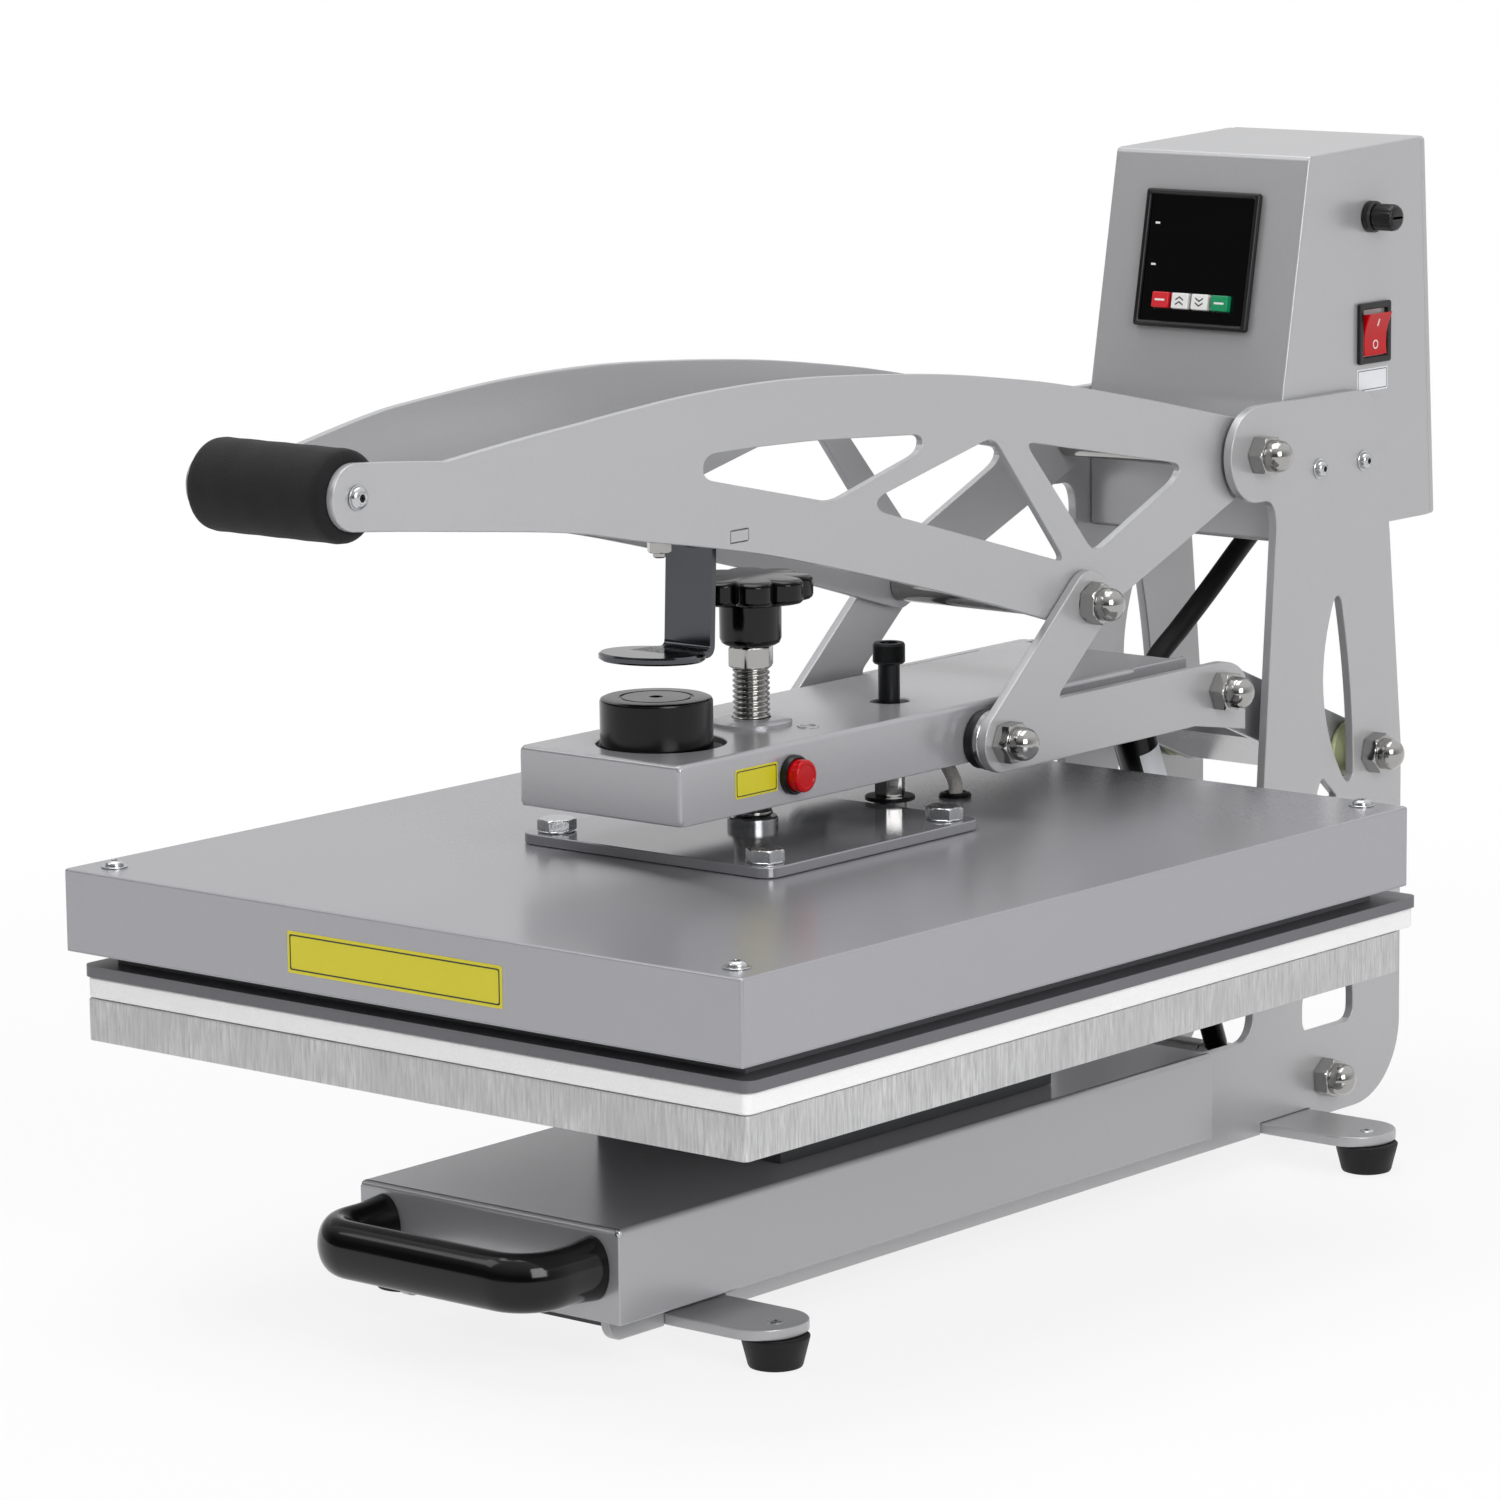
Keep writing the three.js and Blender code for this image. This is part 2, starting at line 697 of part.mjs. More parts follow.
// Channel that carries the lower platen above the drawer
function platenRiser() {
  const z0 = drawerTopZ + seatGap;
  const z1 = lowerPlatenZ - seatGap;
  const outer = block(-riserHalfWidth, riserHalfWidth, riserFrontY, riserRearY, z0, z1);
  const hollow = block(-riserHalfWidth + riserWall, riserHalfWidth - riserWall,
    riserFrontY - overrun, riserRearY + overrun, z0 + riserWall, z1 - riserWall);
  const mouth = block(-riserHalfWidth + riserLipWidth, riserHalfWidth - riserLipWidth,
    riserFrontY - overrun, riserRearY + overrun, z0 - overrun, z0 + riserWall + overrun);
  return piece('platen_riser', cut(outer, [hollow, mouth]), darkPaint);
}

function lowerPlaten() {
  const outline = roundedRectangle(lowerPlatenWidth, lowerPlatenDepth, lowerPlatenRadius, lowerPlatenY);
  return piece('lower_platen', planPlate(outline, lowerPlatenZ, lowerPlatenZ + lowerPlatenThickness),
    brushedAluminium);
}

function pressPad() {
  const outline = roundedRectangle(padWidth, padDepth, padRadius);
  return piece('press_pad', planPlate(outline, padBottomZ, padBottomZ + padThickness), whiteSilicone);
}

// Heating plate: a thin rim, a thicker body inside the cover and four studs under the cover
function heatPlate() {
  const blockTop = heatPlateZ + heatPlateEdge + heatBlockHeight;
  const rim = planPlate(roundedRectangle(heatPlateWidth, heatPlateDepth, heatPlateRadius),
    heatPlateZ, heatPlateZ + heatPlateEdge);
  const body = block(-heatPlateWidth / 2 + heatBlockInset, heatPlateWidth / 2 - heatBlockInset,
    -heatPlateDepth / 2 + heatBlockInset, heatPlateDepth / 2 - heatBlockRearInset,
    heatPlateZ + heatPlateEdge / 2, blockTop);
  const studs = [];
  [-1, 1].forEach((sideX) => [-1, 1].forEach((sideY) => {
    const x = sideX * (coverWidth / 2 - studInset);
    const y = coverY + sideY * (coverDepth / 2 - studInset - heatPlateRadius);
    studs.push(rodZ(studRadius, blockTop - overrun, coverTopZ - coverWall - seatGap, x, y, 12));
  }));
  return piece('heating_plate', joined([rim, body, ...studs]), coatedAluminium);
}

function platenCover() {
  const outer = planPlate(roundedRectangle(coverWidth, coverDepth, coverRadius, coverY),
    coverBottomZ, coverTopZ);
  const inner = planPlate(roundedRectangle(coverWidth - coverWall * 2, coverDepth - coverWall * 2,
    coverRadius - coverWall, coverY), coverBottomZ - overrun, coverTopZ - coverWall);
  const cableHole = rodZ(cableRadius + seatGap, coverTopZ - overrun, coverTopZ + overrun, ...cableFoot());
  return piece('platen_cover', cut(outer, [inner, cableHole]), paint);
}

// Plate that spreads the pressure over the cover, with its bolts
function pressurePlate() {
  const depth = pressurePlateRearY - pressurePlateFrontY;
  const middleY = (pressurePlateRearY + pressurePlateFrontY) / 2;
  const plate = planPlate(roundedRectangle(pressurePlateWidth, depth, pressurePlateRadius, middleY),
    pressurePlateZ, pressurePlateTopZ);
  const bolts = [];
  [-1, 1].forEach((sideX) => [pressurePlateFrontY + plateBoltInset, pressurePlateRearY - plateBoltInset]
    .forEach((y) => {
      const x = sideX * (pressurePlateWidth / 2 - plateBoltInset);
      bolts.push(rodZ(hexRadius(plateBoltFlats), pressurePlateZ + seatGap,
        pressurePlateTopZ + plateBoltHeight, x, y, 6));
    }));
  const seat = rodZ(spindleSeatRadius, pressurePlateZ + seatGap, pressurePlateTopZ + spindleSeatHeight,
    0, spindleY);
  const socket = rodZ(spindleEndRadius + seatGap, pressurePlateTopZ, pressurePlateTopZ + overrun * 2,
    0, spindleY);
  return piece('pressure_plate', cut(joined([plate, ...bolts, seat]), [socket]), machinedSteel);
}

// Guide screw that stands on the cover and keeps the platen from turning under the beam
function guideScrew() {
  const headZ = beamTopZ + guideHeadRise;
  const z0 = coverTopZ + seatGap;
  return piece('guide_screw', joined([
    rodZ(hexRadius(guideNutFlats), z0, z0 + guideNutHeight, guideScrewX, guideScrewY, 6),
    rodZ(guideShankRadius, z0 + seatGap, headZ + seatGap, guideScrewX, guideScrewY, 16),
    rodZ(guideHeadRadius, headZ, headZ + guideHeadHeight, guideScrewX, guideScrewY),
  ]), glossBlack);
}

// Heater cable from the cover up into the beam
function cableFoot() {
  return [cableRadius * 3.5, springPinY / 2 - overrun * 1.5];
}

function platenCable() {
  const [x, y] = cableFoot();
  const path = new THREE.CatmullRomCurve3([
    new THREE.Vector3(x, y, coverTopZ - coverWall),
    new THREE.Vector3(x, y, coverTopZ + cableRadius * 2),
    new THREE.Vector3(x - cableRadius, y - cableRadius, coverTopZ + cableRadius * 5),
    new THREE.Vector3(x - cableRadius * 3, y - cableRadius * 2, coverTopZ + cableRadius * 9),
  ]);
  return piece('platen_cable', tubeSolid(path, cableRadius, 8, 8), whitePlastic);
}

function tubeSolid(path, radius, steps, sides) {
  const ring = new THREE.Shape();
  for (let side = 0; side < sides; side += 1) {
    const angle = (side / sides) * Math.PI * 2;
    const place = [radius * Math.cos(angle), radius * Math.sin(angle)];
    if (side === 0) ring.moveTo(...place);
    else ring.lineTo(...place);
  }
  ring.closePath();
  return solidOf(new THREE.ExtrudeGeometry(ring, { steps, extrudePath: path, bevelEnabled: false }));
}

// Beam: a channel open below in front and a channel open above behind the spring pin
function tailLine(offset) {
  const startY = hingePinY - Math.sin(tailAngle) * offset;
  const startZ = hingePinZ + Math.cos(tailAngle) * offset;
  return (y) => startZ + (y - startY) * Math.tan(tailAngle);
}

function beamOutline() {
  const lower = tailLine(-beamTailRadius);
  const saddleRearY = springPinY + pinRadius;
  const half = Math.PI / 2;
  const shape = new THREE.Shape();
  shape.moveTo(beamFrontY, beamBottomZ);
  shape.lineTo(springPinY - toggleTailLength, beamBottomZ);
  shape.lineTo(springPinY - pinRadius * 2, springPinZ - beamTailRadius);
  shape.lineTo(saddleRearY, lower(saddleRearY));
  shape.lineTo(hingePinY - beamTailRadius, lower(hingePinY - beamTailRadius));
  shape.absarc(hingePinY, hingePinZ, beamTailRadius, tailAngle - half, tailAngle + half);
  shape.lineTo(beamKinkY, beamTopZ);
  shape.lineTo(beamFrontY, beamTopZ);
  shape.closePath();
  return shape;
}

function beam() {
  const inner = beamHalfWidth - beamWall;
  const webRearY = springPinY - beamWebSetback;
  const farY = hingePinY + beamTailRadius + overrun;
  const bottom = hingePinZ - beamTailRadius - overrun;
  const whole = sidePlate(beamOutline(), -beamHalfWidth, beamHalfWidth);
  const cavity = block(-inner, inner, beamFrontY + beamWall, farY, bottom, beamTopZ - beamWall);
  const slot = block(-inner, inner, webRearY, farY, bottom, beamTopZ + overrun);
  const notch = block(-beamHalfWidth - overrun, beamHalfWidth + overrun,
    springPinY - pinRadius - notchMargin, springPinY + pinRadius + notchMargin,
    springPinZ - pinRadius - notchMargin, beamTopZ + overrun);
  const across = beamHalfWidth + overrun;
  const webBottom = beamTopZ - beamWall - overrun;
  const buttonZ = beamBottomZ + stopButtonRise;
  const channel = cut(whole, [cavity, slot, notch]);
  const boss = rodZ(bossRadius, beamTopZ - seatGap, beamTopZ + bossHeight, 0, spindleY);
  return piece('beam', cut(joined([channel, tailWeb(-inner - seatGap, inner + seatGap), boss]), [
    rodX(pinHoleRadius, -across, across, beamPinY, beamPinZ),
    rodX(pinHoleRadius, -across, across, hingePinY, hingePinZ),
    rodX(stopStemRadius + seatGap, inner - overrun, across, stopButtonY, buttonZ),
    rodZ(magnetHoleRadius, webBottom, beamTopZ + overrun, 0, magnetY + magnetHoleOffset, 36),
    rodZ(guideHoleRadius, webBottom, beamTopZ + overrun, guideScrewX, guideScrewY),
    rodZ(spindleRadius + seatGap, webBottom, beamTopZ + bossHeight + overrun, 0, spindleY),
  ]), paint);
}

function tailWeb(x0, x1) {
  const lower = tailLine(-beamTailRadius + seatGap);
  const upper = tailLine(-beamTailRadius + beamWall);
  const rearY = hingePinY - beamTailRadius / 2;
  const shape = new THREE.Shape();
  shape.moveTo(tailWebY, lower(tailWebY));
  shape.lineTo(rearY, lower(rearY));
  shape.lineTo(rearY, upper(rearY));
  shape.lineTo(tailWebY, upper(tailWebY));
  shape.closePath();
  return sidePlate(shape, x0, x1);
}

// Holding magnet through the beam, on a strap between the beam's flanges
function electromagnet() {
  const reach = beamHalfWidth - beamWall - seatGap;
  const pot = rodZ(magnetRadius, magnetBottomZ, magnetTopZ, 0, magnetY, 36);
  const strap = block(-reach, reach, magnetY - magnetStrapWidth / 2, magnetY + magnetStrapWidth / 2,
    magnetBottomZ - magnetStrapThickness, magnetBottomZ + seatGap);
  return piece('electromagnet', pot.add(strap), glossBlack);
}

function stopButtonPieces() {
  const z = beamBottomZ + stopButtonRise;
  const x0 = beamHalfWidth + seatGap;
  const ring = cut(rodX(stopRingRadius, x0, x0 + stopRingLength, stopButtonY, z), [
    rodX(stopButtonRadius + seatGap, x0 - overrun, x0 + stopRingLength + overrun, stopButtonY, z),
  ]);
  const restX = x0 + stopButtonTravel + seatGap;
  const cap = rodX(stopButtonRadius, restX, restX + stopButtonLength, stopButtonY, z);
  const stem = rodX(stopStemRadius, restX - stopStemLength, restX + seatGap, stopButtonY, z);
  return [piece('stop_button_ring', ring, blackPlastic), piece('stop_button', cap.add(stem), redPlastic)];
}

function hoseGland() {
  const along = [Math.sin(-tailAngle), Math.cos(tailAngle)];
  const footZ = tailLine(-beamTailRadius + beamWall + seatGap)(glandY);
  const geometry = new THREE.CylinderGeometry(glandRadius, glandRadius, glandHeight, 6);
  geometry.rotateX(Math.PI / 2 + tailAngle);
  geometry.translate(glandX, glandY + along[0] * glandHeight / 2, footZ + along[1] * glandHeight / 2);
  return piece('hose_gland', solidOf(geometry), blackPlastic);
}

function wiringHose() {
  const along = [Math.sin(-tailAngle), Math.cos(tailAngle)];
  const footZ = tailLine(-beamTailRadius + beamWall + seatGap)(glandY);
  const rise = glandHeight + seatGap;
  const start = (reach) => new THREE.Vector3(glandX, glandY + along[0] * reach, footZ + along[1] * reach);
  const path = new THREE.CatmullRomCurve3([
    start(rise),
    start(rise + hoseRadius / 2),
    ...hosePoints.map((place) => new THREE.Vector3(...place)),
    new THREE.Vector3(hoseTopX, hoseTopY, boxBottomZ - hoseRadius / 2),
    new THREE.Vector3(hoseTopX, hoseTopY, boxBottomZ - seatGap),
  ]);
  return piece('wiring_hose', tubeSolid(path, hoseRadius, hoseSteps, hoseSides), blackRubber);
}

// Pressure screw with its lock nut, and its star knob
function pressureSpindle() {
  const foot = pressurePlateTopZ + seatGap;
  const collarZ = pressurePlateTopZ + spindleSeatHeight + seatGap;
  const nutZ = beamTopZ + bossHeight + jamNutRise;
  const topZ = nutZ + jamNutHeight + knobHubHeight * 0.8;
  return piece('pressure_spindle', joined([
    rodZ(spindleEndRadius, foot, collarZ + seatGap, 0, spindleY),
    rodZ(spindleCollarRadius, collarZ, collarZ + spindleCollarHeight, 0, spindleY),
    rodZ(spindleRadius, collarZ + seatGap, topZ, 0, spindleY),
    rodZ(hexRadius(jamNutFlats), nutZ, nutZ + jamNutHeight, 0, spindleY, 6),
  ]), machinedSteel);
}

function starKnob() {
  const hubZ = beamTopZ + bossHeight + jamNutRise + jamNutHeight + seatGap;
  const starZ = hubZ + knobHubHeight;
  const shape = new THREE.Shape();
  const count = knobLobes * 8;
  const lobeAngle = (Math.PI * 2) / knobLobes;
  const lobeCentre = knobRadius - knobLobeRadius;
  for (let step = 0; step < count; step += 1) {
    const angle = (step / count) * Math.PI * 2;
    const turn = angle - Math.round(angle / lobeAngle) * lobeAngle;
    const across = lobeCentre * Math.sin(turn);
    const radius = lobeCentre * Math.cos(turn) + Math.sqrt(knobLobeRadius ** 2 - across ** 2);
    const place = [radius * Math.cos(angle), radius * Math.sin(angle)];
    if (step === 0) shape.moveTo(...place);
    else shape.lineTo(...place);
  }
  shape.closePath();
  const star = planPlate(shape, starZ - seatGap, starZ + knobHeight);
  const hub = rodZ(knobHubRadius, hubZ, starZ, 0, 0);
  const socket = rodZ(spindleRadius + seatGap, hubZ - overrun, hubZ + knobHubHeight * 0.8, 0, 0);
  const mesh = piece('star_knob', cut(joined([star, hub]), [socket]), glossBlack);
  mesh.position.set(0, spindleY, 0);
  return mesh;
}

// Toggle plates: one leg up to the arms, one leg back to the gas spring
function toggleOutline() {
  const shape = new THREE.Shape();
  const legAngle = Math.atan2(linkPinZ - beamPinZ, linkPinY - beamPinY);
  const side = (pinY, pinZ, radius, angle) => [pinY + radius * Math.cos(angle), pinZ + radius * Math.sin(angle)];
  const topZ = beamPinZ + toggleBeamRadius;
  const legRight = side(linkPinY, linkPinZ, toggleLinkRadius, legAngle - Math.PI / 2);
  const crotchY = legRight[0] - (legRight[1] - topZ) / Math.tan(legAngle);
  shape.moveTo(beamPinY, beamPinZ - toggleBeamRadius);
  shape.lineTo(springPinY - toggleTailLength, springPinZ - toggleBeamRadius);
  shape.lineTo(springPinY + toggleTailLength, springPinZ - toggleTailDrop);
  shape.lineTo(springPinY + toggleTailLength, springPinZ + toggleBeamRadius / 3);
  shape.quadraticCurveTo(springPinY + toggleTailLength * 0.7, springPinZ + toggleBeamRadius * 0.9,
    springPinY, springPinZ + toggleBeamRadius * 0.95);
  shape.lineTo(crotchY + toggleBeamRadius / 3, topZ);
  shape.quadraticCurveTo(crotchY, topZ, crotchY + toggleBeamRadius / 4, topZ + toggleBeamRadius / 4);
  shape.lineTo(...legRight);
  shape.absarc(linkPinY, linkPinZ, toggleLinkRadius, legAngle - Math.PI / 2, legAngle + Math.PI / 2);
  shape.lineTo(...side(beamPinY, beamPinZ, toggleBeamRadius, legAngle + Math.PI / 2));
  shape.absarc(beamPinY, beamPinZ, toggleBeamRadius, legAngle + Math.PI / 2, Math.PI * 1.5);
  return shape;
}

function togglePlate(name, side) {
  const x0 = side > 0 ? togglePlateInnerX : -togglePlateOuterX;
  const x1 = x0 + togglePlateThickness;
  const holes = [
    rodX(pinRadius + linkPinPlay, x0 - overrun, x1 + overrun, linkPinY, linkPinZ),
    rodX(pinHoleRadius, x0 - overrun, x1 + overrun, beamPinY, beamPinZ),
    rodX(pinHoleRadius, x0 - overrun, x1 + overrun, springPinY, springPinZ),
  ];
  return piece(name, cut(sidePlate(toggleOutline(), x0, x1), holes), paint);
}

// Arms: heights above the line from the grip to the arm pin, as shares of the arm's depth
const armTopShares = [[0.086, 0.137], [0.135, 0.205], [0.188, 0.272], [0.254, 0.337], [0.327, 0.398],
  [0.418, 0.444], [0.51, 0.455], [0.607, 0.445], [0.691, 0.413], [0.759, 0.374], [0.865, 0.289]];
const armBottomShares = [[0.689, -0.667], [0.6, -0.555], [0.519, -0.461], [0.46, -0.395], [0.4, -0.335],
  [0.332, -0.285], [0.269, -0.245], [0.195, -0.19], [0.087, -0.164]];
const armWindowShares = [
  [[0.333, 0.016], [0.334, 0.122], [0.387, 0.146], [0.456, 0.165], [0.521, 0.168], [0.584, 0.17],
    [0.583, 0.087], [0.481, -0.121]],
  [[0.67, 0.145], [0.531, -0.115], [0.535, -0.175], [0.593, -0.25], [0.767, -0.476]],
  [[0.709, 0.114], [0.911, -0.031], [0.908, -0.104], [0.803, -0.443]],
];

function armFrame() {
  const length = Math.hypot(armPinY - gripY, armPinZ - gripZ);
  const angle = Math.atan2(armPinZ - gripZ, armPinY - gripY);
  const place = ([along, up]) => [
    gripY + Math.cos(angle) * along * length - Math.sin(angle) * up * armDepth,
    gripZ + Math.sin(angle) * along * length + Math.cos(angle) * up * armDepth,
  ];
  return { angle, place };
}

function armOutline() {
  const { angle, place } = armFrame();
  const half = Math.PI / 2;
  const linkAngle = Math.atan2(armPinZ - linkPinZ, armPinY - linkPinY) - half;
  const spread = (armPinEndRadius - armLinkEndRadius) / Math.hypot(armPinY - linkPinY, armPinZ - linkPinZ);
  const shape = new THREE.Shape();
  shape.moveTo(gripY + armTipRadius * Math.cos(angle + half), gripZ + armTipRadius * Math.sin(angle + half));
  shape.absarc(gripY, gripZ, armTipRadius, angle + half, angle + half * 3);
  [...armBottomShares].reverse().forEach((share) => shape.lineTo(...place(share)));
  shape.absarc(linkPinY, linkPinZ, armLinkEndRadius, angle - half * 1.13, linkAngle - spread);
  shape.absarc(armPinY, armPinZ, armPinEndRadius, linkAngle - spread, angle + half);
  [...armTopShares].reverse().forEach((share) => shape.lineTo(...place(share)));
  shape.closePath();
  return shape;
}

// Plan of an arm: its tip runs nearer the middle than the rest of it
function armStrip() {
  const frontY = gripY - armTipRadius - overrun;
  const rearY = armPinY + armPinEndRadius + overrun;
  return new THREE.Shape([
    [armTipInnerX, frontY], [armTipOuterX, frontY], [armTipOuterX, armBendFrontY],
    [armOuterX, armBendRearY], [armOuterX, rearY], [armInnerX, rearY],
    [armInnerX, armBendRearY], [armTipInnerX, armBendFrontY],
  ].map((place) => new THREE.Vector2(...place)));
}

function armPlate(name, side) {
  const { place } = armFrame();
  const x0 = armTipInnerX - overrun;
  const x1 = armOuterX + overrun;
  const windows = armWindowShares.map((shares) => {
    const outline = roundedPolygon(shares.map(place), armWindowRadius);
    return sidePlate(outline, x0 - overrun, x1 + overrun, 3);
  });
  const holes = [
    rodX(pinHoleRadius, x0 - overrun, x1 + overrun, armPinY, armPinZ),
    rodX(pinHoleRadius, x0 - overrun, x1 + overrun, linkPinY, linkPinZ),
    rodX(gripScrewRadius + seatGap, x0 - overrun, x1 + overrun, gripY, gripZ, 12),
  ];
  const strip = planPlate(armStrip(), linkPinZ - armDepth, gripZ + armDepth);
  const arm = cut(sidePlate(armOutline(), x0, x1, 8).intersect(strip), [...windows, ...holes]);
  return piece(name, side > 0 ? arm : arm.mirror([1, 0, 0]), paint);
}

function gripSleeve() {
  const reach = armTipInnerX - seatGap;
  const profile = [
    [gripBarRadius + seatGap, -reach], [gripRadius - gripEndRounding, -reach],
    [gripRadius - gripEndRounding * 0.3, -reach + gripEndRounding * 0.3],
    [gripRadius, -reach + gripEndRounding], [gripRadius, reach - gripEndRounding],
    [gripRadius - gripEndRounding * 0.3, reach - gripEndRounding * 0.3],
    [gripRadius - gripEndRounding, reach], [gripBarRadius + seatGap, reach],
    [gripBarRadius + seatGap, -reach],
  ];
  const geometry = new THREE.LatheGeometry(profile.map((place) => new THREE.Vector2(...place)), 32);
  geometry.rotateZ(-Math.PI / 2);
  geometry.translate(0, gripY, gripZ);
  return piece('grip_sleeve', solidOf(geometry), blackFoam);
}

function gripBar() {
  const reach = armTipInnerX - seatGap;
  const face = armTipOuterX + seatGap;
  const bar = [rodX(gripBarRadius, -reach, reach, gripY, gripZ)];
  [-1, 1].forEach((side) => {
    const ends = [side * (reach - seatGap), side * (face + seatGap)].sort((a, b) => a - b);
    const head = [side * face, side * (face + gripScrewHeadHeight)].sort((a, b) => a - b);
    bar.push(rodX(gripScrewRadius, ...ends, gripY, gripZ, 12));
    bar.push(rodX(gripScrewHeadRadius, ...head, gripY, gripZ, 16));
  });
  return piece('grip_bar', joined(bar), machinedSteel);
}

// Catch for the magnet: a disc on a bent strap that hangs from a plate between the arms
function catchBracket() {
  const discZ = magnetTopZ + catchDiscLift;
  const reach = armInnerX - seatGap;
  const strapY = magnetY + catchDiscRadius;
  const outerY = strapY + catchDiscThickness;
  const topZ = crossPlateZ + seatGap;
  const outline = new THREE.Shape();
  outline.moveTo(magnetY, discZ);
  outline.lineTo(outerY - catchBendRadius, discZ);
  outline.quadraticCurveTo(outerY, discZ, outerY, discZ + catchBendRadius);
  outline.lineTo(outerY, topZ - catchBendRadius);
  outline.quadraticCurveTo(outerY, topZ, outerY - catchBendRadius, topZ);
  outline.lineTo(outerY - catchFlangeLength, topZ);
  outline.lineTo(outerY - catchFlangeLength, topZ - catchDiscThickness);
  outline.lineTo(strapY, topZ - catchDiscThickness);
  outline.lineTo(strapY, discZ + catchDiscThickness);
  outline.lineTo(magnetY, discZ + catchDiscThickness);
  const strap = sidePlate(outline, -catchStrapWidth / 2, catchStrapWidth / 2);
  const disc = rodZ(catchDiscRadius, discZ, discZ + catchDiscThickness, 0, magnetY, 36);
  const hanger = joined([disc, strap]).translate([0, -outerY, -topZ]).rotate([-catchTilt, 0, 0])
    .translate([0, outerY, topZ]);
  const plate = block(-reach, reach, crossPlateFrontY, crossPlateFrontY + crossPlateDepth,
    crossPlateZ, crossPlateZ + crossPlateThickness);
  return piece('catch_bracket', joined([plate, hanger]), platedSteel);
}

// Gas spring along the line from the spring pin to the anchor pin, built upright and then tilted
function springFrame() {
  const length = Math.hypot(anchorPinY - springPinY, anchorPinZ - springPinZ);
  const tilt = Math.atan2(anchorPinY - springPinY, springPinZ - anchorPinZ);
  return { length, tilt };
}

function tilted(solid, tilt) {
  return solid.rotate([THREE.MathUtils.radToDeg(tilt), 0, 0]).translate([0, anchorPinY, anchorPinZ]);
}

function springTube() {
  const { length, tilt } = springFrame();
  const top = length - springTopEyeRadius / 2;
  const low = top - springTubeLength;
  const tube = rodZ(springTubeRadius, low, top, 0, 0);
  const eye = rodX(springTopEyeRadius, -springEyeHalfWidth, springEyeHalfWidth, 0, length);
  const eyeHole = rodX(pinRadius + springTopEyePlay, -springTubeRadius - overrun,
    springTubeRadius + overrun, 0, length);
  const bore = rodZ(springRodRadius + seatGap, low - overrun, low + springRodBuried + overrun, 0, 0, 16);
  return piece('spring_tube', tilted(cut(joined([tube, eye]), [eyeHole, bore]), tilt), glossBlack);
}

function springRod() {
  const { length, tilt } = springFrame();
  const low = length - springTopEyeRadius / 2 - springTubeLength;
  const rod = rodZ(springRodRadius, springEyeRadius / 2, low + springRodBuried, 0, 0, 16);
  const eye = rodX(springEyeRadius, -springEyeHalfWidth, springEyeHalfWidth, 0, 0);
  const eyeHole = rodX(pinHoleRadius, -springEyeHalfWidth - overrun, springEyeHalfWidth + overrun, 0, 0);
  return piece('spring_rod', tilted(cut(joined([rod, eye]), [eyeHole]), tilt), platedSteel);
}

// Shafts
function shafts() {
  const inFrame = frameInnerX - seatGap;
  const armSide = armOuterX + seatGap;
  const armMiddle = armInnerX - seatGap;
  const toggleSide = togglePlateInnerX - seatGap;
  const beamSide = beamHalfWidth + seatGap;
  const beamInside = beamHalfWidth - beamWall - seatGap;
  const eye = springEyeHalfWidth + seatGap;
  return [
    piece('arm_shaft', shaft(armPinY, armPinZ, frameHalfWidth, [
      ...bothSides(spacerRadius, armSide, inFrame), [collarRadius, -armMiddle, armMiddle]]), platedSteel),
    piece('hinge_shaft', shaft(hingePinY, hingePinZ, frameHalfWidth, []), platedSteel),
    piece('anchor_shaft', shaft(anchorPinY, anchorPinZ, frameHalfWidth,
      bothSides(collarRadius, eye, inFrame)), platedSteel),
    piece('link_shaft', shaft(linkPinY, linkPinZ, togglePlateOuterX,
      [[collarRadius, -armMiddle, armMiddle]]), platedSteel),
    piece('beam_shaft', shaft(beamPinY, beamPinZ, togglePlateOuterX, [
      ...bothSides(spacerRadius, beamSide, toggleSide),
      [collarRadius, -beamInside, beamInside]]), platedSteel),
    piece('spring_shaft', shaft(springPinY, springPinZ, togglePlateOuterX, [
      ...bothSides(collarRadius, springTubeRadius + runGap, beamInside),
      ...bothSides(collarRadius, beamSide, toggleSide)]), platedSteel),
  ];
}

function hingeRoller(name, side) {
  const x0 = beamHalfWidth + seatGap;
  const x1 = frameInnerX - seatGap;
  const ends = side > 0 ? [x0, x1] : [-x1, -x0];
  const roller = rodX(beamTailRadius - seatGap, ...ends, hingePinY, hingePinZ);
  const bore = rodX(pinHoleRadius, ends[0] - overrun, ends[1] + overrun, hingePinY, hingePinZ);
  return piece(name, cut(roller, [bore]), nylon);
}

// Control box
function boxOutline(inset) {
  return roundedPolygon([
    [boxFrontY + inset, boxBottomZ + inset],
    [boxRearBottomY, boxBottomZ + inset],
    [boxRearTopY, boxRearTopZ - inset],
    [boxFrontTopY + inset, boxTopZ - inset],
    [boxFrontY + inset, boxKinkZ],
  ], boxCornerRadius);
}

